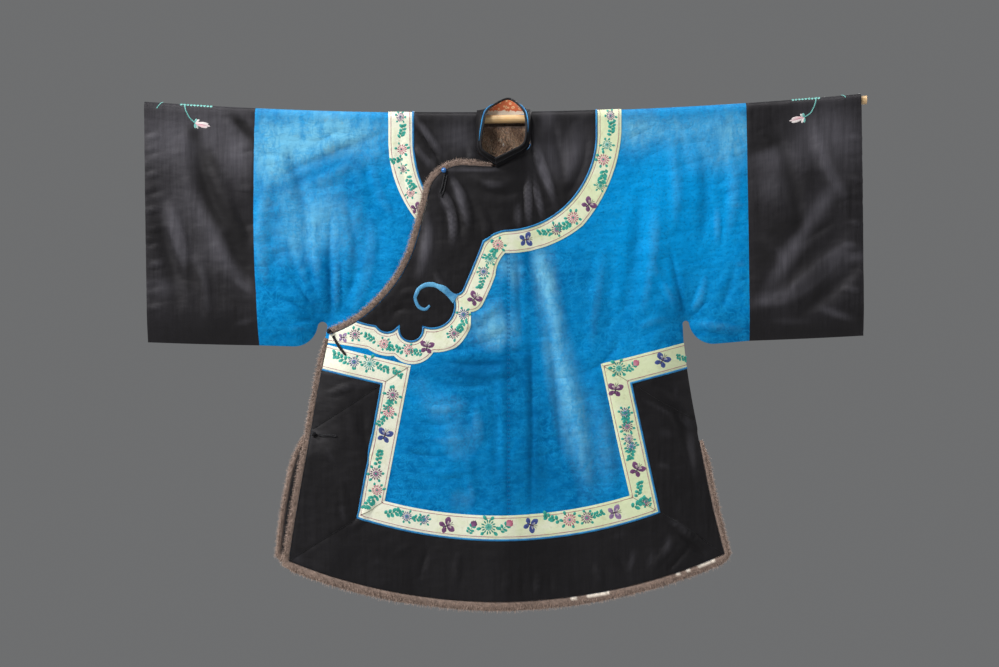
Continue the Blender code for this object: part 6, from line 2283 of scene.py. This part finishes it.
@dataclass
class FurTrim:
    """The fur that stands past the edges, and the fur lining at the neck: a body with strands over it."""

    cloth: Cloth
    side_width: float = 0.0135
    hem_width: float = 0.0205
    overlap_width: float = 0.0140
    under_width: float = 0.0085
    clear: float = 0.0009
    per_metre: int = 7000
    hair_radius: float = 0.00032
    neck_top: float = -14
    neck_hairs: int = 9000
    root: Colour = (0.120, 0.084, 0.068)
    middle: Colour = (0.360, 0.255, 0.205)
    tip: Colour = (0.660, 0.505, 0.425)
    skin_tint: Colour = (0.900, 0.800, 0.680)
    bald: tuple[tuple[float, float], ...] = (
        (0.126, 0.139), (0.159, 0.202), (0.331, 0.338), (0.352, 0.358), (0.375, 0.408),
    )

    def strands(
        self, root: np.ndarray, way: np.ndarray, length: np.ndarray, chance: np.random.Generator
    ) -> tuple[np.ndarray, np.ndarray, np.ndarray]:
        """Thin tapered hairs, each bent once.

        Args:
            root: Where each one starts.
            way: Which way it points.
            length: How long it is.
            chance: For their small differences.

        Returns:
            Points, triangles and tints.
        """
        n, wide = len(root), self.hair_radius
        way = way / np.linalg.norm(way, axis=1)[:, None]
        across = np.cross(way, chance.normal(size=(n, 3)))
        across /= np.maximum(np.linalg.norm(across, axis=1), 1e-9)[:, None]
        other = np.cross(way, across)
        turn = np.arange(3) * 2 * math.pi / 3
        ring = across[:, None] * np.cos(turn)[None, :, None] + other[:, None] * np.sin(turn)[None, :, None]
        bend = chance.normal(size=(n, 3)) * length[:, None] * 0.10 + np.array([0, 0, -0.10]) * length[:, None]
        middle = root + way * length[:, None] * 0.55
        tip = root + way * length[:, None] + bend
        low, high = root[:, None] + ring * wide, middle[:, None] + ring * wide * 0.8
        points = np.concatenate([low, high, tip[:, None]], axis=1)
        face = []
        for j in range(3):
            k = (j + 1) % 3
            face += [(j, k, 3 + k), (j, 3 + k, 3 + j), (3 + j, 3 + k, 6)]
        face.append((0, 2, 1))
        faces = (np.array(face)[None] + 7 * np.arange(n)[:, None, None]).reshape(-1, 3)
        shade = chance.uniform(0.65, 1.35, n)[:, None, None]
        rows = np.array([self.root] * 3 + [self.middle] * 3 + [self.tip])[None] * shade
        return points.reshape(-1, 3), faces, np.clip(rows, 0, 1).reshape(-1, 3)

    def rim(
        self, name: str, sheet: Sheet, path: np.ndarray, side: float, hem: float, ends: tuple[float, float]
    ) -> None:
        """Fur past one edge of a sheet.

        Args:
            name: Its solid's name.
            sheet: The sheet.
            path: The edge, with the fur on the left of its run.
            side: Width on upright stretches.
            hem: Width on level ones.
            ends: Share of the width at the start and the end.
        """
        chance = np.random.default_rng(sum(map(ord, name)))
        path = evenly(along(path, 0.03), 0.004)
        heading = np.gradient(path, axis=0)
        padded = np.pad(heading, ((6, 6), (0, 0)), mode="edge")
        heading = np.stack([np.convolve(way, np.ones(13) / 13, "valid") for way in padded.T], axis=1)
        level = ease(2.0 * np.abs(heading[:, 0]) / np.linalg.norm(heading, axis=1) - 0.6)
        run = run_along(path)
        width = side + (hem - side) * level
        for share, away in zip(ends, (run, run[-1] - run)):
            width = width * (share + (1 - share) * ease(away / 0.05))
        sideways = shifted(path, 1.0) - path
        rough = np.convolve(chance.normal(size=len(path) + 8), np.ones(9) / 9, "valid") * 0.5 + 1.0
        turn = np.linspace(0, 2 * math.pi, 12, endpoint=False)
        rings = []
        for angle in turn:
            reach = 0.5 - 0.5 * math.cos(angle)
            rise = math.sin(angle) * (0.85 if reach < 0.5 else 0.75)
            away = self.clear + reach * width * 0.84 * (1 + 0.16 * (rough - 1))
            rings.append(sheet.place(path + sideways * away[:, None], WALL / 2 + rise * RIM_HALF * 0.8))
        body = np.stack(rings, axis=1)
        points, faces = skin(body, sheet.sign < 0)
        spots = np.repeat(path[:, 0], len(turn))
        inner = np.tile(0.5 - 0.5 * np.cos(turn) < 0.45, len(path))
        bald = self.bald if name == "fur_front" else ()
        bare = np.zeros(len(spots), bool)
        for low, high in bald:
            bare |= (spots > low) & (spots < high) & (np.repeat(level, len(turn)) > 0.5) & inner
        shade = chance.uniform(0.7, 1.2, len(spots))[:, None]
        tint = np.where(bare[:, None], np.array(self.skin_tint) * shade, np.array(self.middle) * shade * 0.7)
        tint = np.concatenate([tint, tint[:2]])
        count = int(run[-1] * self.per_metre)
        at = np.sort(chance.uniform(0, run[-1], count))
        foot = np.stack([np.interp(at, run, path[:, k]) for k in (0, 1)], axis=1)
        out = np.stack([np.interp(at, run, sideways[:, k]) for k in (0, 1)], axis=1)
        wide = np.interp(at, run, width)
        reach = chance.uniform(0.0, 0.80, count) ** 0.9
        rise = chance.uniform(-1, 1, count)
        round_ = np.sqrt(np.clip(1 - (2 * reach - 1) ** 2, 0.05, 1))
        offset = WALL / 2 + rise * RIM_HALF * 0.8 * round_
        start = sheet.place(foot + out * (self.clear + reach * wide * 0.84)[:, None], offset)
        ahead = sheet.place(foot + out * (self.clear + reach * wide * 0.84 + 0.002)[:, None], offset)
        outward = ahead - start
        outward /= np.linalg.norm(outward, axis=1)[:, None]
        facing = sheet.normals(foot) * (rise * 0.55)[:, None]
        way = outward + facing + chance.normal(size=(count, 3)) * 0.24 + np.array([0, 0, -0.12])
        length = chance.uniform(0.6, 1.0, count) * np.clip(wide * (1.30 - reach * 0.55), 0.0060, 0.0100)
        thin = (reach > 0.42) | (chance.uniform(0, 1, count) > 0.95)
        thinned = np.zeros(count, bool)
        for low, high in bald:
            thinned |= (foot[:, 0] > low) & (foot[:, 0] < high) & (np.interp(at, run, level) > 0.5)
        keep = ~thinned | thin
        start, way, length = start[keep], way[keep], length[keep]
        hair, hair_faces, hair_tint = self.strands(start, way, length, chance)
        points, faces = merged([(points, faces), (hair, hair_faces)])
        piece = build(name, points, faces, [self.cloth.finishes.fur], tint=np.concatenate([tint, hair_tint]), sharp=80)
        replaced(piece, name, "brown_fur")
        LOG.info("%s: %d triangles", name, len(faces))

    def trim(self) -> None:
        """Make the fur of every edge."""
        pattern, sheets = self.cloth.pattern, self.cloth.sheets
        slits = {side: past(trace(pattern.slit_edge[side]), 0.022) for side in Side}
        hems = {layer: trace(pattern.hem[layer]) for layer in Layer}
        overlap = past(pattern.overlap(), 0.010)
        front = join(past(trace(pattern.free_edge), 0.008), hems[FRONT], slits[LEFT][::-1])
        back = join(slits[RIGHT], hems[BACK], slits[LEFT][::-1])
        under = join(slits[RIGHT], hems[UNDER])
        self.rim("fur_overlap", sheets[FRONT], overlap, self.overlap_width, self.overlap_width, (0.5, 1.0))
        self.rim("fur_front", sheets[FRONT], front, self.side_width, self.hem_width, (0.6, 0.5))
        self.rim("fur_back", sheets[BACK], back, self.side_width, self.hem_width, (0.6, 0.5))
        self.rim("fur_under", sheets[UNDER], under, self.under_width, self.hem_width, (0.5, 1.0))

    def line_neck(self) -> None:
        """The fur lining that shows inside the neck, with darker lengthwise marks."""
        sheet = self.cloth.sheets[BACK]
        chance = np.random.default_rng(31)
        x, drop = np.meshgrid(np.linspace(-0.058, 0.058, 30), np.linspace(0.0, 0.101, 26), indexing="ij")
        flat = np.stack([x, drop], axis=-1)
        flat[..., 1] += lay([(0, self.neck_top)])[0, 1]
        shape = flat.shape[:2]
        flat = flat.reshape(-1, 2)
        layers = [sheet.place(flat, offset) for offset in (-0.0022, -0.0003)]
        index = np.arange(shape[0] * shape[1]).reshape(shape)
        a, b, c, d = (v.ravel() for v in (index[:-1, :-1], index[1:, :-1], index[1:, 1:], index[:-1, 1:]))
        top = np.concatenate([np.stack([a, c, b], 1), np.stack([a, d, c], 1)])
        ring = np.concatenate([index[:, 0], index[-1, 1:], index[-2::-1, -1], index[0, -2:0:-1]])
        n, after = len(flat), np.roll(ring, -1)
        sides = np.concatenate([np.stack([ring, after, after + n], 1), np.stack([ring, after + n, ring + n], 1)])
        points, faces = np.concatenate(layers), np.concatenate([top, top[:, ::-1] + n, sides])
        streak = 0.55 + 0.45 * np.sin(flat[:, 0] * 260) * np.sin(flat[:, 0] * 90 + 1)
        tint = np.tile(np.array(self.middle), (2 * n, 1)) * np.concatenate([streak, streak])[:, None]
        count = self.neck_hairs
        foot = np.stack([chance.uniform(-0.057, 0.057, count), chance.uniform(0.001, 0.099, count)], axis=1)
        foot[:, 1] += lay([(0, self.neck_top)])[0, 1]
        start = sheet.place(foot, -0.0020)
        way = -sheet.normals(foot) * 0.45 + np.array([0, 0, -1.0]) + chance.normal(size=(count, 3)) * [0.45, 0.3, 0.3]
        hair, hair_faces, hair_tint = self.strands(start, way, chance.uniform(0.004, 0.008, count), chance)
        mark = 1.45 + 0.55 * np.sin(foot[:, 0] * 120 + 2.0 * np.sin(foot[:, 1] * 60)) + chance.uniform(-0.3, 0.3, count)
        mark += 2.2 * (chance.uniform(0, 1, count) > 0.985)
        for fleck in lay([(-8, -38), (-3, -46)]):
            mark += 6.0 * np.exp(-(((foot - fleck) / [0.0012, 0.0035]) ** 2).sum(axis=1))
        hair_tint = np.clip(hair_tint * np.repeat(mark, 7)[:, None] * [1.15, 1.0, 0.82], 0, 1)
        points, faces = merged([(points, faces), (hair, hair_faces)])
        tints = np.concatenate([tint, hair_tint])
        piece = build("fur_lining_neck", points, faces, [self.cloth.finishes.fur], tint=tints, sharp=80)
        replaced(piece, "fur_lining_neck", "brown_fur")


@dataclass
class Collar:
    """The standing collar, its piping and its patterned lining."""

    cloth: Cloth
    wall: float = 0.0026
    bulge: float = 0.0015
    piping: float = 0.0020
    cord: float = 0.0014
    steps: int = 8
    # Where it is sewn (x, z), on which sheet, and its top edge (x, y, z), in millimetres
    stations: tuple[tuple, ...] = (
        (-15, -92, UNDER, -14, -26, -80), (-38, -77, UNDER, -31, -34, -70),
        (-53, -56, UNDER, -45, -37, -57), (-53, -26, UNDER, -44, -38, -32),
        (-52, -3, UNDER, -41, -35, -12), (-51, 7, UNDER, -39, -28, 2),
        (-50, CREST, UNDER, -36, -18, 12), (-34, CREST, BACK, -21, -3, 26),
        (0, CREST, BACK, 6, 6, 39), (34, CREST, BACK, 25, -3, 28),
        (49, CREST, FRONT, 38, -19, 13), (49, 7, FRONT, 40, -29, 3),
        (49, -3, FRONT, 41, -35, -10), (49, -30, FRONT, 41, -40, -24),
        (41, -60, FRONT, 36, -45, -50), (12, -79, FRONT, 11, -46, -65),
        (-17, -95, FRONT, -19, -46, -80),
    )

    def frame(self) -> tuple[np.ndarray, np.ndarray, np.ndarray, np.ndarray]:
        """Foot, top edge, and the upward and outward ways along the collar.

        Returns:
            Four rows of places or ways.
        """
        feet, tops = [], []
        for x, z, layer, top_x, top_y, top_z in self.stations:
            (flat,) = lay([(x, z)])
            if z == CREST:
                curve = 0.009 * math.sqrt(max(0.0, 1 - (flat[0] / 0.053) ** 2)) - 0.001
                flat[1] = curve if layer is BACK else 0.0
            feet.append(self.cloth.sheets[layer].place(flat, WALL + OVERLAY + 2 * SEAM)[0])
            tops.append(np.array([top_x, top_y, top_z]) * MM)
        foot, top = spline(feet, self.steps), spline(tops, self.steps)
        at = np.arange(len(foot)) / self.steps
        sunk = 0.16 * np.clip(np.minimum(at - 2.5, 12.5 - at), 0.0, 1.0)
        foot = foot - (top - foot) * sunk[:, None]
        up = (top - foot) / np.linalg.norm(top - foot, axis=1)[:, None]
        out = np.cross(up, np.gradient((foot + top) / 2, axis=0))
        return foot, top, up, out / np.linalg.norm(out, axis=1)[:, None]

    def make(self) -> None:
        """Make the collar, its piping and its lining."""
        foot, top, up, out = self.frame()
        shares = np.linspace(0.0, 1.0, 7)
        inner = [foot + (top - foot) * s + out * self.bulge * math.sin(math.pi * s) for s in shares]
        outer = [p + out * self.wall for p in inner[::-1]]
        crest = [top + out * self.wall / 2 + up * 0.0007]
        rings = np.stack([*inner, *crest, *outer], axis=1)
        points, faces = outward(skin(rings))
        cut = np.stack(np.broadcast_arrays(run_along(foot)[:, None], rings[..., 2]), axis=-1).reshape(-1, 2)
        cut = np.concatenate([cut, cut[:2]])
        # The painted-shade share at 0.9 all over the collar: darker, rougher black satin that keeps its foot from
        # glinting
        painted_shade = np.tile([0.0, 0.9, 0.0], (len(points), 1))
        piece = build("collar", points, faces, [self.cloth.finishes.satin], cut=cut, tint=painted_shade)
        replaced(piece, "collar", "black_satin")
        length = float(run_along((foot + top) / 2)[-1])
        edge = top + out * self.wall / 2 + up * (self.piping * 0.8)
        points, faces = tube(evenly(edge, 0.003), self.piping, 8)
        rolled = build("collar_rolled_edge", points, faces, [self.cloth.finishes.cord])
        shown = slice(int(2.6 * self.steps), int(13.3 * self.steps))
        side = edge - up * (self.piping * 1.5) + out * (self.wall / 2 + self.cord * 0.95)
        run = evenly(side[shown], 0.003)
        ends = np.minimum(np.arange(len(run)), np.arange(len(run))[::-1])
        points, faces = tube(run, self.cord * np.clip(0.2 + ends * 0.10, 0.2, 1.0), 8)
        replaced(build("collar_piping", points, faces, [self.cloth.finishes.piping]), "collar_piping", "blue_piping")
        low = edge - up * 0.010 + out * (self.wall / 2 + 0.0004)
        points, faces = tube(evenly(low, 0.003), 0.0016, 8)
        build("collar_lower_cord", points, faces, [self.cloth.finishes.cord])
        self.line(foot, top, out)
        LOG.info("collar, piping and lining")

    def line(self, foot: np.ndarray, top: np.ndarray, out: np.ndarray) -> None:
        """The lining that shows at the back of the neck.

        Args:
            foot: The collar's foot.
            top: Its top edge.
            out: Its outward ways.
        """
        shown = slice(6 * self.steps + 2, 10 * self.steps - 1)
        shares = np.linspace(-0.25, 0.97, 8)
        sunk = np.array([0.0, 0.0, 0.024])
        near = [
            foot + sunk * s - out * 0.0014 if s < 0
            else foot + (top - foot) * s + out * (self.bulge * math.sin(math.pi * s) - 0.0002)
            for s in shares
        ]
        far = [p - out * 0.0010 for p in near[::-1]]
        rings = np.stack([*near, *far], axis=1)[shown]
        piece = build("collar_lining", *outward(skin(rings)), [self.cloth.finishes.patterned])
        replaced(piece, "collar_lining", "patterned_silk")
        length = float(run_along(((foot + top) / 2)[shown])[-1])


@dataclass
class Pole:
    """The bamboo rod: a round pole with swollen joints, bowed so that its middle is lowest."""

    material: bpy.types.Material
    bore: float = 0.0045
    bore_depth: float = 0.02
    # Where each joint swells or narrows, and how much; it is cut there and at its edges
    swells: tuple[tuple[float, float], ...] = ((-0.002, 1.055), (0.0, 0.975), (0.002, 1.045))
    joint_cuts: tuple[float, ...] = (-0.006, -0.002, 0.0, 0.002, 0.006)

    def make(self) -> None:
        """Turn a cylinder into the pole: hollow its ends, cut it at its joints, swell them and bow it."""
        bpy.ops.object.select_all(action="DESELECT")
        low, high = ROD_ENDS
        bpy.ops.mesh.primitive_cylinder_add(
            vertices=28, radius=ROD_RADIUS * 0.985, depth=high - low, location=((low + high) / 2, 0, 0),
            rotation=(0, math.pi / 2, 0),
        )
        pole = bpy.context.active_object
        pole.name = "bamboo_rod"
        bpy.ops.object.transform_apply(location=True, rotation=True, scale=True)
        with editing():
            cuts = {joint + away for joint in ROD_JOINTS for away in self.joint_cuts}
            for x in sorted({*cuts, *np.linspace(-0.69, 0.69, 47)}):
                bpy.ops.mesh.select_all(action="SELECT")
                bpy.ops.mesh.bisect(plane_co=(x, 0, 0), plane_no=(1, 0, 0))
        for end in ROD_ENDS:
            choose(pole.data, "polygons", lambda f, end=end: abs(f.center.x - end) < 1e-4 and abs(f.normal.x) > 0.9)
            with editing():
                inward = (-math.copysign(self.bore_depth, end), 0, 0)
                bpy.ops.mesh.inset(thickness=ROD_RADIUS - self.bore)
                bpy.ops.mesh.extrude_region_move(TRANSFORM_OT_translate={"value": inward})
        for x, swell in ((joint + away, swell) for joint in ROD_JOINTS for away, swell in self.swells):
            self.choose_ring(pole, x)
            with editing():
                bpy.ops.transform.resize(value=(1, swell, swell), center_override=(x, 0, 0))
        for x in sorted({round(v.co.x, 4) for v in pole.data.vertices}):
            self.choose_ring(pole, x)
            with editing():
                bpy.ops.transform.translate(value=(0, 0, float(rod_height(np.float64(x)))))
        bpy.ops.object.shade_smooth_by_angle(angle=math.radians(40))
        pole.data.materials.append(self.material)
        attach(pole, "root")
        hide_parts("rod")
        LOG.info("pole: %d faces", len(pole.data.polygons))

    @staticmethod
    def choose_ring(pole: bpy.types.Object, x: float) -> None:
        """Select only the points at one place along the pole."""
        choose(pole.data, "vertices", lambda point: abs(point.co.x - x) < 2e-4)


@dataclass
class Fastenings:
    """The ball button and its loop at the chest, and the knots with their sewn loops at the underarm and side."""

    cloth: Cloth
    button_radius: float = 0.0050
    knot_radius: float = 0.0058
    cord: float = 0.0016
    gap: float = 0.0026
    button: tuple[float, float] = (-118, -102)
    chest: Outline = (
        (-116, -109), (-120, -128), (-124.5, -147), (-123.5, -151), (-120.5, -152), (-119, -148.5), (-115.5, -129),
        (-111.5, -111),
    )
    side_knot: tuple[float, float] = (-370, -616)
    side_loop: Outline = ((-360, -616), (-350, -617), (-338, -616), (-327, -617))
    arm_knot: tuple[float, float] = (-337, -414)
    arm_loop: Outline = ((-331, -423), (-326, -433), (-318, -446), (-309, -458))

    def wound(self, centre: np.ndarray, radius: float) -> Mesh:
        """A ball knot: one cord wound over a ball in crossing turns.

        Args:
            centre: Its middle.
            radius: Its outer radius.

        Returns:
            Its points and triangles.
        """
        t = np.linspace(0, 2 * math.pi, 220)
        tilt = math.pi / 2 * 0.92 * np.sin(3 * t)
        turn = 2 * t + 0.25 * np.sin(4 * t)
        reach = radius - self.cord * (1.0 + 0.35 * np.sin(5 * t) ** 2)
        path = np.stack([np.cos(tilt) * np.cos(turn), np.sin(tilt), np.cos(tilt) * np.sin(turn)], axis=1)
        path = path * reach[:, None]
        level = np.linspace(-1, 1, 9)
        heart = np.stack([np.zeros(9), level * radius * 0.72, np.zeros(9)], axis=1) + centre
        core = tube(heart, np.sqrt(np.clip(1 - level**2, 0.02, 1)) * radius * 0.72, 12)
        return merged([tube(path + centre, self.cord * 0.95, 6), core])

    def loop(self, sheet: Sheet, points: Outline, offset: float) -> Mesh:
        """A sewn loop of two cords side by side with a rounded end.

        Args:
            sheet: The sheet that it is sewn on.
            points: Its middle line, in millimetres.
            offset: The cord's middle from the sheet's inner face.

        Returns:
            Its points and triangles.
        """
        line, gap = spline(lay(points), 8), self.gap
        sideways = shifted(line, 1.0) - line
        one, two = line + sideways * gap / 2, line - sideways * gap / 2
        end, run = line[-1], line[-1] - line[-2]
        run /= np.linalg.norm(run)
        bow = [
            end + run * math.sin(a) * gap * 0.6 + sideways[-1] * math.cos(a) * gap / 2
            for a in (0.6, 1.2, 1.57, 2.0, 2.6)
        ]
        path = np.concatenate([one, np.array(bow), two[::-1]])
        return tube(sheet.place(path, offset), gap * 0.52, 8)

    def make(self) -> None:
        """Make the fastenings."""
        sheet, cord = self.cloth.sheets[FRONT], self.cloth.finishes.cord
        on_top = WALL + OVERLAY + SEAM
        on_rim = WALL / 2 + RIM_HALF + SEAM
        line = spline(lay(self.chest), 6)
        mesh = tube(sheet.place(line, on_top + self.cord), self.cord, 8)
        replaced(build("frog_chest", *mesh, [cord]), "frog_chest", "black_cord")
        for name, knot, loop in (("underarm", self.arm_knot, self.arm_loop), ("side", self.side_knot, self.side_loop)):
            centre = sheet.place(lay([knot]), on_rim + self.knot_radius)[0]
            replaced(build("knot_" + name, *self.wound(centre, self.knot_radius), [cord]), "knot_" + name, "black_cord")
            mesh = self.loop(sheet, loop, on_top + self.cord)
            replaced(build("frog_" + name, *mesh, [cord]), "frog_" + name, "black_cord")
        self.ball(sheet.place(lay([self.button]), on_rim + self.button_radius)[0])
        LOG.info("fastenings")

    def ball(self, centre: np.ndarray) -> None:
        """The glass ball with its raised rim and shank.

        Args:
            centre: Its middle.
        """
        bpy.ops.object.select_all(action="DESELECT")
        bpy.ops.mesh.primitive_uv_sphere_add(
            segments=32, ring_count=20, radius=self.button_radius * 0.96, location=centre
        )
        ball = bpy.context.active_object
        ball.name = "button_chest_glass"
        bpy.ops.object.transform_apply(location=True, rotation=True, scale=True)
        choose(ball.data, "polygons", lambda face: abs(face.center.y - centre[1]) < self.button_radius * 0.16)
        with editing():
            bpy.ops.transform.resize(value=(1.06, 1.0, 1.06), center_override=tuple(centre))
            bpy.ops.mesh.select_all(action="SELECT")
            bpy.ops.mesh.normals_make_consistent(inside=False)
        smooth = ball.modifiers.new("rounded", "SUBSURF")
        smooth.levels = smooth.render_levels = 1
        bpy.ops.object.modifier_apply(modifier=smooth.name)
        bpy.ops.object.shade_smooth()
        ball.data.materials.append(self.cloth.finishes.glass)
        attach(ball, "root")
        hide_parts("button_chest")


@dataclass
class HookScroll:
    """The pale blue hook scroll on the black yoke, rounded, widening to the band's cusp."""

    cloth: Cloth
    # x, z and width, in millimetres, from its ball end
    hooks: Outline = (
        (-145, -364, 4.5), (-153, -371, 6.0), (-163, -369, 6.5), (-170, -361, 6.5), (-173, -348, 7.0),
        (-168, -334, 7.5), (-158, -326, 8.5), (-146, -323, 9.5), (-132, -325, 10.0), (-119, -332, 11.0),
        (-109, -340, 12.0), (-101, -347, 15.0), (-95, -351, 20.0),
    )
    # Share of its half width, and height
    section: Outline = (
        (-1, -0.0002), (-0.92, 0.0008), (-0.6, 0.0014), (0, 0.0017), (0.6, 0.0014), (0.92, 0.0008), (1, -0.0002),
    )

    def make(self) -> None:
        """Make the scroll."""
        sheet = self.cloth.sheets[FRONT]
        rows = spline(self.hooks, 8)
        middle = lay(rows[:, :2])
        sideways = shifted(middle, 1.0) - middle
        half = rows[:, 2:] / 2 * MM
        base = WALL + OVERLAY + SEAM
        rings = [sheet.place(middle + sideways * half * aside, base + rise) for aside, rise in self.section]
        mesh = outward(skin(np.stack(rings, axis=1), sheet.sign > 0))
        replaced(build("scroll_overlap", *mesh, [self.cloth.finishes.scroll]), "scroll_overlap", "blue_piping")
        LOG.info("scroll")


@dataclass
class Studio:
    """The camera at the photograph's view, soft lights and a plain pale floor."""

    centre: tuple[float, float] = (-0.010, -0.418)
    width: float = 1.948
    distance: float = 6.5
    floor_height: float = -1.36
    sensor: float = 36.0
    pale: Colour = (0.62, 0.63, 0.64)

    # Name, place, power in watts and side of each soft light, and what they all look at
    lamps: tuple[tuple, ...] = (
        ("key_front_left", (-2.5, -4.0, 2.1), 118, 1.0), ("key_side_left", (-3.5, -1.5, 1.8), 165, 1.0),
        ("fill_right", (3.4, -2.6, 0.6), 26, 1.8), ("top_soft", (0.0, -0.3, 2.4), 36, 1.6),
        ("behind_right", (2.2, 4.2, 1.9), 105, 1.0), ("behind_side", (3.4, 1.6, 1.6), 120, 1.0),
        ("behind_left", (-3.2, 2.8, 0.6), 30, 1.8),
    )
    aim: Colour = (0.0, 0.0, -0.45)

    def light(self) -> None:
        """Set up the lights."""
        for name, place, power, size in self.lamps:
            light = bpy.data.lights.new(name, "AREA")
            light.shape, light.size, light.energy = "SQUARE", size, power
            holder = bpy.data.objects.new(name, light)
            holder.location = place
            holder.rotation_euler = (Vector(self.aim) - Vector(place)).to_track_quat("-Z", "Y").to_euler()
            bpy.context.scene.collection.objects.link(holder)

    def set_up(self) -> None:
        """Make the camera, the lights, the world and the floor."""
        scene = bpy.context.scene
        camera = bpy.data.cameras.new("photograph_view")
        camera.sensor_width = self.sensor
        camera.lens = self.sensor * self.distance / self.width
        holder = bpy.data.objects.new("photograph_view", camera)
        holder.location = (self.centre[0], -self.distance, self.centre[1])
        holder.rotation_euler = (math.pi / 2, 0, 0)
        scene.collection.objects.link(holder)
        scene.camera = holder
        self.light()
        world = bpy.data.worlds.new("pale_studio")
        world.use_nodes = True
        back = world.node_tree.nodes["Background"]
        back.inputs["Color"].default_value = (*self.pale, 1.0)
        back.inputs["Strength"].default_value = 0.25
        scene.world = world
        scene.view_settings.view_transform = "Standard"
        self.lay_floor()

    def lay_floor(self) -> None:
        """The floor, a wide pale disc below the hem."""
        bpy.ops.object.select_all(action="DESELECT")
        bpy.ops.mesh.primitive_circle_add(
            vertices=96, radius=2.3, fill_type="NGON", location=(0, 0, self.floor_height)
        )
        floor = bpy.context.active_object
        floor.name = "floor"
        bpy.ops.object.transform_apply(location=True, rotation=True, scale=True)
        g = Graph("pale_floor")
        base = g.over((0.40, 0.40, 0.395), g.grain(g.place(), 40, 3), 0.1, (0.36, 0.36, 0.355))
        floor.data.materials.append(g.finish(base, 0.85, Specular_IOR_Level=0.2))


def main() -> None:
    """Build the robe and its studio, in order."""
    logging.basicConfig(level=logging.INFO, format="%(name)s: %(message)s")
    Studio().set_up()
    finishes = Finishes()
    Pole(finishes.bamboo).make()
    cloth = Cloth(Pattern(), Drape(), finishes)
    cloth.hang()
    cloth.sew()
    HookScroll(cloth).make()
    Needlework(cloth).stitch()
    fur = FurTrim(cloth)
    fur.trim()
    fur.line_neck()
    Collar(cloth).make()
    Fastenings(cloth).make()


if __name__ == "__main__":
    main()
